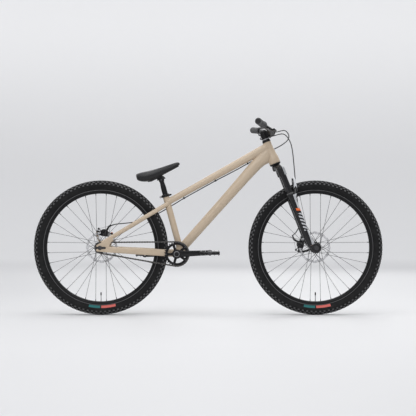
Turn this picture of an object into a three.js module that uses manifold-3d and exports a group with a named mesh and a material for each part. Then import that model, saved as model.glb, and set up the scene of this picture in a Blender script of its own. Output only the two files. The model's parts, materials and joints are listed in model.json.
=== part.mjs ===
// A dirt jump bike with a suspension fork, one gear and two disc brakes worked by cables.
// Millimetres. +X is forward, +Y is the rider's left, +Z is up. The origin lies on the ground,
// midway between the axles. The chain is on the right side, at negative Y.
import * as THREE from 'three';
import { mergeVertices } from 'three/addons/utils/BufferGeometryUtils.js';
import Module from 'manifold-3d';

const wasm = await Module();
wasm.setup();
const radians = THREE.MathUtils.degToRad;

// Whole bike
const frontCentre = 694.627;
const bottomBracketDrop = 31;
const headTilt = radians(21.3);
const seatTilt = radians(15.1);
const seatGap = 0.3;
const runningGap = 0.4;
const cutOverrun = 3;
const weldOverlap = 1;
const edgeChamfer = 1;
const weldDistance = 0.0005;

// Flats round a curve, from coarse to fine
const smallSides = 8;
const armSides = 8;
const boltSides = 8;
const nutSides = 6;
const wireSides = 3;
const housingSides = 6;
const tubeSides = 12;
const roundSides = 10;
const fineSides = 16;
const hubSides = 10;

// Wheels
const tyreHalfWidth = 28.8;
const tyreWall = 3.4;
const tyreBeadWidth = 7;
const treadDepth = 3.2;
const shoulderDrop = 11;
const widestShare = 0.46;
const shoulderShare = 0.86;
const crownShare = 0.36;
const tyreSegments = 32;
const rimOuterRadius = 289;
const rimHookDepth = 5.6;
const rimDepth = 19;
const tyreRise = 48;
const rimSeatRadius = rimOuterRadius - rimHookDepth;
const rimInnerRadius = rimOuterRadius - rimDepth;
const tyreRadius = rimOuterRadius + tyreRise;
const rimHalfWidth = 15.5;
const rimHookThickness = 2.3;
const wheelSegments = 24;
const spokeCount = 32;
const spokeRadius = 1.15;
const spokeOffset = 0.9;
const spokeRimOffset = 2.2;
const spokeRimPlane = 3;
const spokeCrossAngle = radians(68);
const hubFlangeRadius = 28;
const hubFlangeHalfThickness = 2;
const spokeCircleRadius = 23.5;
const hubBodyRadius = 15;
const hubEndRadius = 9.5;
const valveRadius = 3;
const valveLength = 46;
const valveFootRadius = 5;
const valveFootHeight = 3;
const valveNutHeight = 5;

// Front wheel and its axle
const frontHubHalfWidth = 49.7;
const frontRightFlange = 31;
const frontLeftFlange = 23;
const frontRotorPlane = 39.7;
const frontAxleRadius = 7.5;

// Rear wheel and its axle
const rearHubHalfWidth = 67.5;
const rearRightFlange = 21;
const rearLeftFlange = 32;
const rearRotorPlane = 52.2;
const rearAxleRadius = 5;
const axleNutRadius = 9;
const axleNutThickness = 7;
const axleStickOut = 2;

// Brake discs
const rotorRadius = 80;
const rotorThickness = 1.9;
const rotorTrackWidth = 15;
const rotorCarrierRadius = 25;
const rotorBoreRadius = 17;
const rotorSeatOverhang = 2;
const rotorArmCount = 6;
const rotorArmWidth = 8;

// Chain, chainring and cog
const chainPitch = 12.7;
const chainstayRoom = 45.6;
const ringTeeth = 30;
const cogTeeth = 13;
const chainline = 51;
const chainRollerRadius = 3.6;
const chainInnerHalfGap = 1.7;
const chainPlateThickness = 1.2;
const chainPlateHalfHeight = 4.2;
const toothThickness = 2.6;
const toothRootDepth = 3.95;
const toothTipHeight = 3.4;
const toothRootHalf = 2.7;
const ringWindowInner = 24;
const ringWindowOuter = 48;
const ringWindowCount = 5;
const ringArmWidth = 13;
const cogBoreRadius = 17.4;
const driverRadius = 17;
const driverFlangeRadius = 20;
const driverRingRadius = 19;
const driverRingWidth = 5;

// Cranks and pedals
const crankLength = 165;
const crankRestTilt = radians(2.5);
const crankHubRadius = 22;
const crankHubHalfThickness = 8.7;
const crankEyeRadius = 14;
const crankHalfThickness = 7;
const crankRightHubPlane = 61.6;
const crankLeftHubPlane = 56;
const crankEyePlane = 72;
const spindleRadius = 12;
const spindleCapRadius = 14.5;
const spindleCapThickness = 3.5;
const pedalAxleRadius = 6.5;
const pedalCollarRadius = 9.5;
const pedalCollarThickness = 3;
const pedalWidth = 98;
const pedalHalfLength = 49;
const pedalHalfThickness = 8;
const pedalRail = 11;
const pedalBarrelRadius = 11.5;
const pedalStandOff = 84;
const pedalNoseHalfWidth = 32;
const pedalWindowTaper = 3;
const pedalBoreRoom = 2;

// Bottom bracket
const shellHalfWidth = 36.5;
const shellRadius = 21;
const shellBoreRadius = 17.5;
const cupFlangeRadius = 21.5;
const cupFlangeThickness = 9;
const cupSkirtLength = 20;

// Frame tubes
const headTubeLength = 115;
const headTubeTopRadius = 20.5;
const headTubeBottomRadius = 28.5;
const seatTubeOffset = 21.5;
const seatTubeLength = 305;
const seatTubeRadius = 15.9;
const topTubeJointDrop = 38;
const topTubeSeatJoint = seatTubeLength - topTubeJointDrop;
const topTubeHeadInset = 23.5;
const topTubeHeadJoint = headTubeLength / 2 - topTubeHeadInset;
const topTubeSeatHalfHeight = 16;
const topTubeHeadHalfHeight = 22;
const topTubeSeatHalfWidth = 16;
const topTubeHeadHalfWidth = 19;
const downTubeHalfHeight = 22.5;
const downTubeMiddleHalfHeight = 24.5;
const downTubeBendHalfHeight = 29;
const downTubeThroatHalfHeight = 35;
const downTubeHalfWidth = 23;
const downTubeHeadHalfWidth = 21;
const downTubeBendBehind = 97;
const downTubeBendBelow = 33;
const downTubeThroatBehind = 39;
const downTubeThroatBelow = 10;
const stayJointDrop = 45.3;
const stayJoint = seatTubeLength - stayJointDrop;
const stayTopHalfHeight = 11;
const stayEndHalfHeight = 9;
const stayHalfWidth = 8;
const stayRootSpread = 13;
const stayShoulderSpread = 24;
const stayBendSpread = 42;
const stayWideSpread = 61;
const chainstayHalfHeight = 17;
const chainstayEndHalfHeight = 15;
const chainstayTipHalfHeight = 14;
const chainstayRootLift = 2;
const chainstayRootHalfHeight = 18;
const chainstayNarrowHalfWidth = 5.5;
const chainstayRootSpread = 27;
const chainstayNarrowSpread = 38;
const chainstayMiddleSpread = 46;
const chainstayWideSpread = 66;
const dropoutThickness = 7;
const dropoutTipBehind = 18;
const dropoutTipHalfHeight = 17;
const dropoutReach = 62;
const dropoutSlotAhead = 26;

// Headset
const steererRadius = 14.3;
const steererBoreRadius = 11.4;
const steererInset = 2;
const upperCupThickness = 5;
const upperCupRadius = 21.5;
const upperCupBore = 17.2;
const lowerCupThickness = 9.4;
const lowerCupRadius = 28.5;
const lowerCupBore = 22;
const lowerCupTaper = 4;
const cupSkirtDepth = 12;
const headsetCoverHeight = 6;
const spacerHeight = 5;
const spacerRadius = 18;

// Stem and handlebar
const stemReach = 36;
const stemClampHeight = 38;
const stemClampRadius = 19;
const stemFaceHalfWidth = 24;
const stemFaceHalfHeight = 21;
const stemBodyHalfWidth = 17;
const stemFaceDepth = 12;
const stemBoltInset = 2;
const stemSlitHalfWidth = 1;
const faceplateGap = 1;
const faceplateShoulder = 8;
const faceplateThickness = 6;
const topCapRadius = 17;
const topCapThickness = 4;
const barClampRadius = 15.9;
const barRadius = 11.1;
const barHalfWidth = 379;
const barClampHalfWidth = 38;
const barBendWidth = 115;
const barBendHalfLength = 12;
const barBendRadius = 12.1;
const barClampInset = 6;
const barBendBack = 16;
const barBendRise = 13;
const barSweepBack = 76;
const barRise = 34;
const gripLength = 130;
const gripRadius = 16;
const gripFlangeRadius = 18.5;
const gripFlangeThickness = 5;
const gripCapThickness = 3;

// Brake levers
const leverInset = 13;
const leverClampPlace = barHalfWidth - gripLength - leverInset;
const leverDroop = radians(27);
const leverClampRadius = 15.5;
const leverClampHalfWidth = 6;
const leverArmHalfWidth = 5;
const leverArmHalfHeight = 6.5;
const leverPivotForward = 27;
const leverPivotRadius = 6.5;
const leverArmSink = 4;
const leverArmInboard = 8;
const leverArmOverhang = 6;
const leverArmTipHalfHeight = 4.5;
const leverSlotBehind = 9;
const leverSlotAhead = 16;
const leverSlotOutboard = 14;
const leverForkHalfGap = 4;
const leverBarrelForward = 56;
const leverBarrelInboard = 14;
const leverBarrelLength = 24;
const leverBarrelRadius = 4.6;
const leverReach = 74;
const leverBladeLength = 102;
const leverBladeHalfWidth = 4.5;
const leverBladeHalfHeight = 6;

// Suspension fork
const forkOffset = 35.6;
const forkRise = 120;
const forkLength = tyreRadius + forkRise;
const forkTravel = 85;
const legSpread = 65;
const legOffset = 12.5;
const stanchionRadius = 15.5;
const crownDrop = 27;
const crownBossRadius = 22.5;
const crownArmHalfDepth = 19;
const crownArmHalfHeight = 12;
const clampRadius = 20.5;
const clampTopDrop = 18.5;
const clampLid = 4;
const clampHeight = 44;
const stanchionExposed = 98;
const lowerRadius = 18.6;
const lowerFootRadius = 16.5;
const lowerTaperHeight = 75;
const lowerKneeHeight = 34;
const lowerKneeForward = 3;
const lowerFootBehind = 8;
const lowerFootRise = 2;
const lowerCollarRadius = 20.6;
const lowerCollarHeight = 24;
const lowerBoreEnd = 31.5;
const bottomOutRoom = 8;
const wiperRadius = 18.4;
const wiperHeight = 6;
const archForward = 44;
const archTopHalfHeight = 11;
const archHalfDepth = 9;
const archClearance = 9;
const forkDropoutRadius = 23;
const forkDropoutHalfThickness = 7.5;
const forkAxleCapRadius = 12;
const forkAxleCapThickness = 3;

// Brake callipers
const caliperPivotRadius = 72;
const caliperInnerRadius = 56;
const caliperOuterRadius = 92;
const caliperHalfLength = 19;
const caliperChamfer = 3;
const caliperChamferDepth = 4;
const caliperShoulder = 6;
const caliperInboard = 11;
const caliperOutboard = 11;
const caliperSlotHalfWidth = 1.8;
const caliperStopOut = 42;
const caliperStopAlong = 22;
const caliperStopRadius = 4.6;
const caliperStopHalfLength = 5;
const caliperStopArmHalfWidth = 4;
const caliperStopArmHalfHeight = 5;
const caliperEarReach = 37;
const caliperEarOut = 72;
const caliperEarThickness = 7;
const caliperEarRadius = 6.5;
const caliperEarPlane = 9.5;
const caliperPostLength = 22;
const caliperArmOut = 17;
const caliperArmAlong = 33;
const caliperArmThickness = 4.5;
const caliperArmHubRadius = 9.5;
const caliperArmEndRadius = 5.5;
const caliperArmBoltHeight = 3;
const frontCaliperAngle = radians(168);
const rearCaliperAngle = radians(80);

// Seat
const postRadius = 13.6;
const postLength = 250;
const postInsertion = 155;
const postDrop = 55;
const postHeadRadius = 17;
const postHeadHalfWidth = 14;
const collarHalfHeight = 7;
const collarThickness = 3.4;
const collarLip = 4;
const collarEarReach = 11;
const collarEarHalfWidth = 6;
const collarEarInset = 2;
const collarSlitHalfWidth = 1;
const saddleTilt = radians(14);
const saddleLength = 228;
const saddleTailBehind = 118;
const saddleHalfWidth = 68;
const saddleHeight = 60;
const saddleBaseThickness = 4;

// Cable housings
const housingRadius = 2.5;
const housingLead = 22;
const rearHousingLead = 30;
const frontHousingLead = 14;
const rearHousingSteps = 40;
const frontHousingSteps = 24;

// Solids: making, joining and placing

const sideways = new THREE.Vector3(0, 1, 0);
const upward = new THREE.Vector3(0, 0, 1);
const forward = new THREE.Vector3(1, 0, 0);
const point = (x, y, z) => new THREE.Vector3(x, y, z);
const mixed = (a, b, share) => new THREE.Vector3().lerpVectors(a, b, share);

// Welds the corners of a closed geometry and hands it over as a solid, faces outward.
function solid(geometry) {
  const bare = new THREE.BufferGeometry();
  bare.setAttribute('position', geometry.getAttribute('position').clone());
  bare.setIndex(geometry.getIndex());
  const welded = mergeVertices(bare, weldDistance);
  const places = welded.getAttribute('position');
  const corners = welded.getIndex().array;
  const kept = [];
  let sixVolumes = 0;
  for (let i = 0; i < corners.length; i += 3) {
    const [a, b, c] = corners.slice(i, i + 3);
    if (a === b || b === c || c === a) continue;
    kept.push([a, b, c]);
    const pa = new THREE.Vector3().fromBufferAttribute(places, a);
    const pb = new THREE.Vector3().fromBufferAttribute(places, b);
    const pc = new THREE.Vector3().fromBufferAttribute(places, c);
    sixVolumes += pa.dot(pb.cross(pc));
  }
  if (sixVolumes < 0) kept.forEach((face) => face.reverse());
  return new wasm.Manifold(new wasm.Mesh({
    numProp: 3,
    vertProperties: Float32Array.from(places.array),
    triVerts: Uint32Array.from(kept.flat()),
  }));
}

function joined(bodies) {
  return bodies.reduce((whole, body) => whole.add(body));
}

function without(body, cutters) {
  return cutters.reduce((whole, cutter) => whole.subtract(cutter), body);
}

// A straight round bar between two points, with its own radius at each end.
function rod(from, to, radius, sides, endRadius = radius) {
  const along = new THREE.Vector3().subVectors(to, from).normalize();
  const guide = Math.abs(along.y) > Math.SQRT1_2 ? upward : sideways;
  const up = new THREE.Vector3().crossVectors(along, guide).normalize();
  const across = new THREE.Vector3().crossVectors(up, along);
  return skinned([
    sectionRing(from, across, up, radius, radius, sides),
    sectionRing(to, across, up, endRadius, endRadius, sides),
  ]);
}

// A bore's corner radius, such that its flats keep the radius asked for.
const roomy = (radius, sides) => radius / Math.cos(Math.PI / sides);

// A turned piece on the Y axis. The profile is a list of [radius, place along Y].
function turned(profile, sides) {
  const outline = profile.map(([radius, place]) => new THREE.Vector2(radius, place));
  const closed = profile[0][0] === 0 ? outline : [...outline, outline[0].clone()];
  return solid(new THREE.LatheGeometry(closed, sides));
}

// The same turned piece, stood on the Z axis.
function turnedUp(profile, sides) {
  return turned(profile, sides).rotate([90, 0, 0]);
}

// The same turned piece, from a place and along a direction.
function turnedAlong(profile, sides, from, direction) {
  const turn = new THREE.Matrix4().makeRotationFromQuaternion(
    new THREE.Quaternion().setFromUnitVectors(sideways, direction),
  );
  return turned(profile, sides).transform(turn.setPosition(from).elements);
}

// Skins a row of rings that have the same number of points.
function skinned(rings, closed = false) {
  const count = rings[0].length;
  const faces = [];
  const spans = closed ? rings.length : rings.length - 1;
  for (let r = 0; r < spans; r += 1) {
    const here = r * count;
    const next = ((r + 1) % rings.length) * count;
    for (let i = 0; i < count; i += 1) {
      const j = (i + 1) % count;
      faces.push(here + i, here + j, next + j, here + i, next + j, next + i);
    }
  }
  const last = (rings.length - 1) * count;
  for (let i = 1; i < count - 1 && !closed; i += 1) {
    faces.push(0, i + 1, i, last, last + i, last + i + 1);
  }
  const geometry = new THREE.BufferGeometry().setFromPoints(rings.flat());
  geometry.setIndex(faces);
  return solid(geometry);
}

// A section ring. A roundness under 1 squares it off towards a box.
function sectionRing(centre, across, up, halfWidth, halfHeight, sides, roundness = 1) {
  const ring = [];
  for (let i = 0; i < sides; i += 1) {
    const angle = ((i + 0.5) / sides) * 2 * Math.PI;
    const c = Math.sign(Math.cos(angle)) * Math.abs(Math.cos(angle)) ** roundness;
    const s = Math.sign(Math.sin(angle)) * Math.abs(Math.sin(angle)) ** roundness;
    ring.push(centre.clone().addScaledVector(across, c * halfWidth).addScaledVector(up, s * halfHeight));
  }
  return ring;
}

// A tube or arm through stations of { at, wide, high }, given as half sizes.
function limb(stations, sides, roundness = 1, across = sideways) {
  const rings = stations.map((station, i) => {
    const before = stations[Math.max(i - 1, 0)].at;
    const after = stations[Math.min(i + 1, stations.length - 1)].at;
    const along = new THREE.Vector3().subVectors(after, before).normalize();
    const up = new THREE.Vector3().crossVectors(along, across).normalize();
    const side = new THREE.Vector3().crossVectors(up, along);
    return sectionRing(station.at, side, up, station.wide, station.high, sides, roundness);
  });
  return skinned(rings);
}

// An outline with its windows, wound the way that the extrusion expects.
function flatShape(outline, windows = []) {
  const places = outline.map(([x, y]) => new THREE.Vector2(x, y));
  if (THREE.ShapeUtils.isClockWise(places)) places.reverse();
  const shape = new THREE.Shape(places);
  shape.holes = windows.map((window) => new THREE.Path(window.map(([x, y]) => new THREE.Vector2(x, y))));
  return shape;
}

// A flat plate whose outline lies in X and Z, between two places along Y.
function plate(outline, fromY, toY, windows = []) {
  const depth = Math.abs(toY - fromY);
  const geometry = new THREE.ExtrudeGeometry(flatShape(outline, windows), { depth, bevelEnabled: false });
  geometry.rotateX(Math.PI / 2);
  geometry.translate(0, Math.max(fromY, toY), 0);
  return solid(geometry);
}

// A block between two corners.
function block(low, high) {
  const size = new THREE.Vector3().subVectors(high, low);
  const geometry = new THREE.BoxGeometry(size.x, size.y, size.z);
  const centre = mixed(low, high, 0.5);
  geometry.translate(centre.x, centre.y, centre.z);
  return solid(geometry);
}

// A round cord along a smooth curve through its points.
function cord(points, radius, sides, steps) {
  const section = new THREE.Shape();
  for (let i = 0; i < sides; i += 1) {
    const angle = (i / sides) * 2 * Math.PI;
    const place = [radius * Math.cos(angle), radius * Math.sin(angle)];
    if (i === 0) section.moveTo(...place);
    else section.lineTo(...place);
  }
  section.closePath();
  const path = new THREE.CatmullRomCurve3(points, false, 'centripetal');
  return solid(new THREE.ExtrudeGeometry(section, { steps, extrudePath: path, bevelEnabled: false }));
}

const polar = (radius, angle) => [radius * Math.cos(angle), radius * Math.sin(angle)];

function arc(radius, from, to, steps) {
  const places = [];
  for (let i = 0; i <= steps; i += 1) places.push(polar(radius, from + ((to - from) * i) / steps));
  return places;
}

const ringOf = (radius, sides) => arc(radius, 0, 2 * Math.PI * (1 - 1 / sides), sides - 1);

function moved(body, place) {
  return body.translate([place.x, place.y, place.z]);
}

// Materials

const coatings = {
  frame: [0xc9b89e, 0.5, 0.05],
  blackPaint: [0x101011, 0.3, 0.1],
  blackMetal: [0x161617, 0.42, 0.55],
  darkMetal: [0x2a2a2c, 0.4, 0.8],
  steel: [0xb9bbbd, 0.3, 0.95],
  rubber: [0x141414, 0.85, 0],
  blackPlastic: [0x1a1a1b, 0.6, 0],
  cover: [0x17171a, 0.55, 0],
  housing: [0x1b1b1c, 0.5, 0],
  chain: [0x6d6a66, 0.38, 0.9],
};

const bike = new THREE.Group();

function part(name, body, coating, parent) {
  const [color, roughness, metalness] = coatings[coating];
  const { vertProperties, triVerts } = body.getMesh();
  const geometry = new THREE.BufferGeometry();
  geometry.setAttribute('position', new THREE.BufferAttribute(Float32Array.from(vertProperties), 3));
  geometry.setIndex(new THREE.BufferAttribute(Uint32Array.from(triVerts), 1));
  geometry.computeVertexNormals();
  const mesh = new THREE.Mesh(geometry, new THREE.MeshStandardMaterial({ color, roughness, metalness }));
  mesh.name = name;
  parent.add(mesh);
}

// The chain decides how far the bottom bracket sits ahead of the rear axle

const ringPitchRadius = chainPitch / (2 * Math.sin(Math.PI / ringTeeth));
const cogPitchRadius = chainPitch / (2 * Math.sin(Math.PI / cogTeeth));

// The chain's route round both wheels when they stand this far apart, counted in pitches.
function chainRoute(distance) {
  const lean = Math.asin((ringPitchRadius - cogPitchRadius) / distance);
  const straight = (distance * Math.cos(lean)) / chainPitch;
  const onRing = ((Math.PI + 2 * lean) / (2 * Math.PI)) * ringTeeth;
  const onCog = ((Math.PI - 2 * lean) / (2 * Math.PI)) * cogTeeth;
  return { lean, straight, onRing, onCog, total: 2 * straight + onRing + onCog };
}

// The shortest chain that keeps the tyre clear of the seat tube. It has an even number of links.
const chainLinks = 2 * Math.ceil(chainRoute(tyreRadius + chainstayRoom).total / 2);
let nearest = ringPitchRadius + cogPitchRadius;
let farthest = chainLinks * chainPitch;
for (let i = 0; i < 60; i += 1) {
  const middle = (nearest + farthest) / 2;
  if (chainRoute(middle).total > chainLinks) farthest = middle;
  else nearest = middle;
}
const chainstayLength = nearest;
const chainstayReach = Math.sqrt(chainstayLength ** 2 - bottomBracketDrop ** 2);
const wheelbase = chainstayReach + frontCentre;

// Key places

const rearAxle = point(-wheelbase / 2, 0, tyreRadius);
const frontAxle = point(wheelbase / 2, 0, tyreRadius);
const bottomBracket = point(rearAxle.x + chainstayReach, 0, rearAxle.z - bottomBracketDrop);
const headUp = point(-Math.sin(headTilt), 0, Math.cos(headTilt));
const headForward = point(Math.cos(headTilt), 0, Math.sin(headTilt));
const axleDrop = forkLength + lowerCupThickness + 2 * seatGap + headTubeLength / 2;
const headCentre = frontAxle.clone().addScaledVector(headForward, -forkOffset)
  .addScaledVector(headUp, axleDrop);
const seatUp = point(-Math.sin(seatTilt), 0, Math.cos(seatTilt));
const seatFoot = bottomBracket.clone().addScaledVector(forward, seatTubeOffset);
const onHead = (ahead, y, up) => headCentre.clone().addScaledVector(headForward, ahead)
  .addScaledVector(sideways, y).addScaledVector(headUp, up);
const onSeatTube = (up) => seatFoot.clone().addScaledVector(seatUp, up);

const steeringGroup = new THREE.Group();
steeringGroup.position.copy(headCentre);
steeringGroup.rotation.y = -headTilt;
bike.add(steeringGroup);

const barGroup = new THREE.Group();
barGroup.rotation.y = headTilt;
steeringGroup.add(barGroup);

const frontWheel = new THREE.Group();
frontWheel.position.copy(frontAxle);
bike.add(frontWheel);

const rearWheel = new THREE.Group();
rearWheel.position.copy(rearAxle);
bike.add(rearWheel);

const crankGroup = new THREE.Group();
crankGroup.position.copy(bottomBracket);
crankGroup.rotation.y = -crankRestTilt;
bike.add(crankGroup);

const seatGroup = new THREE.Group();
seatGroup.position.copy(seatFoot);
seatGroup.rotation.y = -seatTilt;
bike.add(seatGroup);

// Frame

const dropoutInner = rearHubHalfWidth + seatGap;
const dropoutPlane = dropoutInner + dropoutThickness / 2;
const stayRoot = onSeatTube(stayJoint);
const stayEnd = point(rearAxle.x - seatTubeRadius, 0, rearAxle.z + stayEndHalfHeight);

// The right dropout with its slot open to the rear, or its mirror image on the left.
function dropout(side) {
  const [x, z] = [rearAxle.x, rearAxle.z];
  const slot = rearAxleRadius + runningGap;
  const tip = x - dropoutTipBehind;
  const root = x + dropoutReach;
  const slotEnd = x + dropoutSlotAhead;
  const staySlope = (stayRoot.z - stayEnd.z) / (stayRoot.x - stayEnd.x);
  const outline = [
    [tip, z - slot], [tip, z - dropoutTipHalfHeight],
    [root, z - dropoutTipHalfHeight - stayHalfWidth],
    [root, z + dropoutTipHalfHeight + (root - x) * staySlope],
    [tip + slot, z + dropoutTipHalfHeight], [tip, z + dropoutTipHalfHeight - slot], [tip, z + slot],
    [slotEnd, z + slot], [slotEnd + slot, z], [slotEnd, z - slot],
  ];
  const window = arc(dropoutTipHalfHeight / 2, -Math.PI / 2, -1.5 * Math.PI, 4)
    .map(([a, b]) => [root + a, z + dropoutTipHalfHeight + b]);
  const far = root + dropoutTipHalfHeight;
  window.push([far, z + dropoutTipHalfHeight * 2], [far, z + dropoutTipHalfHeight / 2]);
  const outer = dropoutInner + dropoutThickness;
  return without(
    plate(outline, side * dropoutInner, side * outer),
    [plate(window, side * (dropoutInner - cutOverrun), side * (outer + cutOverrun))],
  );
}

function seatStay(side) {
  const stations = [
    [0, stayRootSpread], [0.08, stayShoulderSpread], [0.18, stayBendSpread], [0.6, stayWideSpread],
    [0.93, dropoutPlane],
  ].map(([share, spread]) => ({
    at: mixed(stayRoot, stayEnd, share).addScaledVector(sideways, side * spread),
    wide: THREE.MathUtils.lerp(stayHalfWidth, dropoutThickness / 2, share),
    high: THREE.MathUtils.lerp(stayTopHalfHeight, stayEndHalfHeight, share),
  }));
  return limb(stations, armSides);
}

function chainstay(side) {
  const root = bottomBracket.clone().addScaledVector(upward, chainstayRootLift);
  const end = point(rearAxle.x + dropoutReach / 2, 0, rearAxle.z - stayHalfWidth);
  const stations = [
    [0.02, chainstayRootSpread, stayHalfWidth, chainstayRootHalfHeight],
    [0.075, chainstayRootSpread + weldOverlap, stayHalfWidth, chainstayRootHalfHeight],
    [0.13, chainstayNarrowSpread, chainstayNarrowHalfWidth, chainstayHalfHeight],
    [0.27, chainstayNarrowSpread, chainstayNarrowHalfWidth, chainstayHalfHeight],
    [0.42, chainstayMiddleSpread, stayHalfWidth, chainstayHalfHeight],
    [0.78, chainstayWideSpread, stayHalfWidth, chainstayEndHalfHeight],
    [0.97, dropoutPlane, dropoutThickness / 2, chainstayTipHalfHeight],
  ].map(([share, spread, wide, high]) => ({
    at: mixed(root, end, share).addScaledVector(sideways, side * spread), wide, high,
  }));
  return limb(stations, armSides);
}

function makeFrame() {
  const headTube = limb([
    { at: onHead(0, 0, -headTubeLength / 2), wide: headTubeBottomRadius, high: headTubeBottomRadius },
    { at: onHead(0, 0, -headTubeLength / 4), wide: headTubeBottomRadius, high: headTubeBottomRadius },
    { at: onHead(0, 0, headTubeLength / 6), wide: headTubeTopRadius, high: headTubeTopRadius },
    { at: onHead(0, 0, headTubeLength / 2), wide: headTubeTopRadius, high: headTubeTopRadius },
  ], fineSides);
  const topTube = limb([
    { at: onSeatTube(topTubeSeatJoint), wide: topTubeSeatHalfWidth, high: topTubeSeatHalfHeight },
    { at: onHead(0, 0, topTubeHeadJoint), wide: topTubeHeadHalfWidth, high: topTubeHeadHalfHeight },
  ], tubeSides);
  const downTube = limb([
    { at: bottomBracket, wide: downTubeHalfWidth, high: downTubeHalfHeight },
    { at: mixed(bottomBracket, onHead(-downTubeBendBehind, 0, -downTubeBendBelow), 0.6),
      wide: downTubeHalfWidth, high: downTubeMiddleHalfHeight },
    { at: onHead(-downTubeBendBehind, 0, -downTubeBendBelow),
      wide: downTubeHalfWidth, high: downTubeBendHalfHeight },
    { at: onHead(-downTubeThroatBehind, 0, -downTubeThroatBelow),
      wide: downTubeHeadHalfWidth, high: downTubeThroatHalfHeight },
    { at: onHead(0, 0, downTubeThroatBelow / 2),
      wide: downTubeHeadHalfWidth, high: downTubeThroatHalfHeight },
  ], tubeSides);
  const seatTube = rod(onSeatTube(0), onSeatTube(seatTubeLength), seatTubeRadius, fineSides);
  const shell = rod(
    bottomBracket.clone().addScaledVector(sideways, -shellHalfWidth),
    bottomBracket.clone().addScaledVector(sideways, shellHalfWidth), shellRadius, fineSides,
  );
  const tubes = [headTube, topTube, downTube, seatTube, shell];
  [-1, 1].forEach((side) => tubes.push(seatStay(side), chainstay(side), dropout(side)));
  const onStay = mixed(stayRoot, stayEnd, 0.86).setY(dropoutPlane);
  const onDropout = point(
    rearAxle.x - dropoutTipBehind / 2, dropoutPlane, rearAxle.z + dropoutTipHalfHeight,
  );
  tubes.push(...caliperPosts(rearAxle, rearCaliperAngle, rearRotorPlane, [onStay, onDropout]));
  const lowerBore = roomy(lowerCupBore, fineSides);
  const upperBore = roomy(upperCupBore, fineSides);
  const headBore = limb([
    { at: onHead(0, 0, -headTubeLength / 2 - cutOverrun), wide: lowerBore, high: lowerBore },
    { at: onHead(0, 0, -headTubeLength / 4), wide: lowerBore, high: lowerBore },
    { at: onHead(0, 0, 0), wide: upperBore, high: upperBore },
    { at: onHead(0, 0, headTubeLength / 2 + cutOverrun), wide: upperBore, high: upperBore },
  ], fineSides);
  const shellBore = rod(
    bottomBracket.clone().addScaledVector(sideways, -shellHalfWidth - cutOverrun),
    bottomBracket.clone().addScaledVector(sideways, shellHalfWidth + cutOverrun),
    roomy(shellBoreRadius, fineSides), fineSides,
  );
  const postBore = rod(
    onSeatTube(seatTubeLength - postInsertion - postDrop),
    onSeatTube(seatTubeLength + cutOverrun), roomy(postRadius + seatGap, fineSides), fineSides,
  );
  return without(joined(tubes), [headBore, shellBore, postBore]);
}

// A place beside a brake disc: so far out from the axle, and so far along the disc's edge.
function caliperPlace(axle, angle, out, along) {
  const [ox, oz] = polar(out, angle);
  const [ax, az] = polar(along, angle - Math.PI / 2);
  return point(axle.x + ox + ax, axle.y, axle.z + oz + az);
}

// The two posts that a calliper is bolted to, each on a lug from what carries it.
function caliperPosts(axle, angle, rotorPlane, anchors) {
  return anchors.flatMap((anchor, i) => {
    const along = (i === 0 ? 1 : -1) * caliperEarReach;
    const at = (out) => caliperPlace(axle, angle, out, along).setY(rotorPlane + caliperEarPlane);
    const foot = at(caliperEarOut - caliperPostLength);
    return [
      rod(at(caliperEarOut - seatGap), foot, caliperEarRadius, smallSides),
      rod(at(caliperEarOut - caliperPostLength * 0.6), anchor, caliperEarRadius * 0.8, smallSides),
    ];
  });
}

part('frame', makeFrame(), 'frame', bike);

// Wheels

// The tyre's hollow section at one ring of its tread, as [radius, place along Y]. Rings alternate
// between blocks on the crown and blocks on the shoulders.
function tyreRing(crownBlock) {
  const bead = rimHalfWidth - rimHookThickness - seatGap;
  const seat = roomy(rimSeatRadius + seatGap, tyreSegments);
  const crown = tyreRadius - (crownBlock ? 0 : treadDepth);
  const shoulder = tyreRadius - shoulderDrop + (crownBlock ? 0 : treadDepth);
  const height = tyreRadius - rimSeatRadius;
  const widest = rimSeatRadius + height * widestShare;
  const half = [
    [seat, bead], [roomy(rimOuterRadius + seatGap, tyreSegments), bead], [widest, tyreHalfWidth],
    [shoulder, tyreHalfWidth * shoulderShare],
    [crown, tyreHalfWidth * crownShare],
  ];
  const inner = [
    [tyreRadius - treadDepth - tyreWall, 0], [widest, tyreHalfWidth - tyreWall],
    [seat, bead - tyreBeadWidth],
  ];
  const flip = ([radius, y]) => [radius, -y];
  return [...half, ...half.map(flip).reverse(), ...inner.slice(1).map(flip).reverse(), ...inner];
}

function makeTyre() {
  const rings = [];
  for (let i = 0; i < tyreSegments; i += 1) {
    const angle = (i / tyreSegments) * 2 * Math.PI - Math.PI / 2;
    rings.push(tyreRing(i % 2 === 0).map(([radius, y]) => {
      const [x, z] = polar(radius, angle);
      return point(x, y, z);
    }));
  }
  return skinned(rings, true);
}

function makeRim() {
  const hook = rimHalfWidth - rimHookThickness;
  const profile = [
    [rimInnerRadius, rimHalfWidth / 2], [rimInnerRadius + rimHookThickness * 3, rimHalfWidth],
    [rimOuterRadius, rimHalfWidth], [rimOuterRadius, hook], [rimSeatRadius, hook],
  ];
  const flip = ([radius, y]) => [radius, -y];
  const ring = turned([...profile, ...profile.map(flip).reverse()], wheelSegments);
  const hole = rod(point(0, 0, -rimInnerRadius + cutOverrun), point(0, 0, -rimOuterRadius),
    valveRadius + seatGap, smallSides);
  return ring.subtract(hole);
}

// The valve stands in the rim hole, with its foot on the rim's seat.
function makeValve() {
  const seat = -rimSeatRadius - seatGap;
  const tip = -rimInnerRadius + valveLength;
  return joined([
    rod(point(0, 0, seat - valveFootHeight), point(0, 0, seat), valveFootRadius, nutSides),
    rod(point(0, 0, seat - weldOverlap), point(0, 0, tip), valveRadius, nutSides, valveRadius * 0.7),
    rod(point(0, 0, -rimInnerRadius + seatGap + weldOverlap),
      point(0, 0, -rimInnerRadius + valveNutHeight), valveFootRadius, nutSides),
  ]);
}

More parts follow.
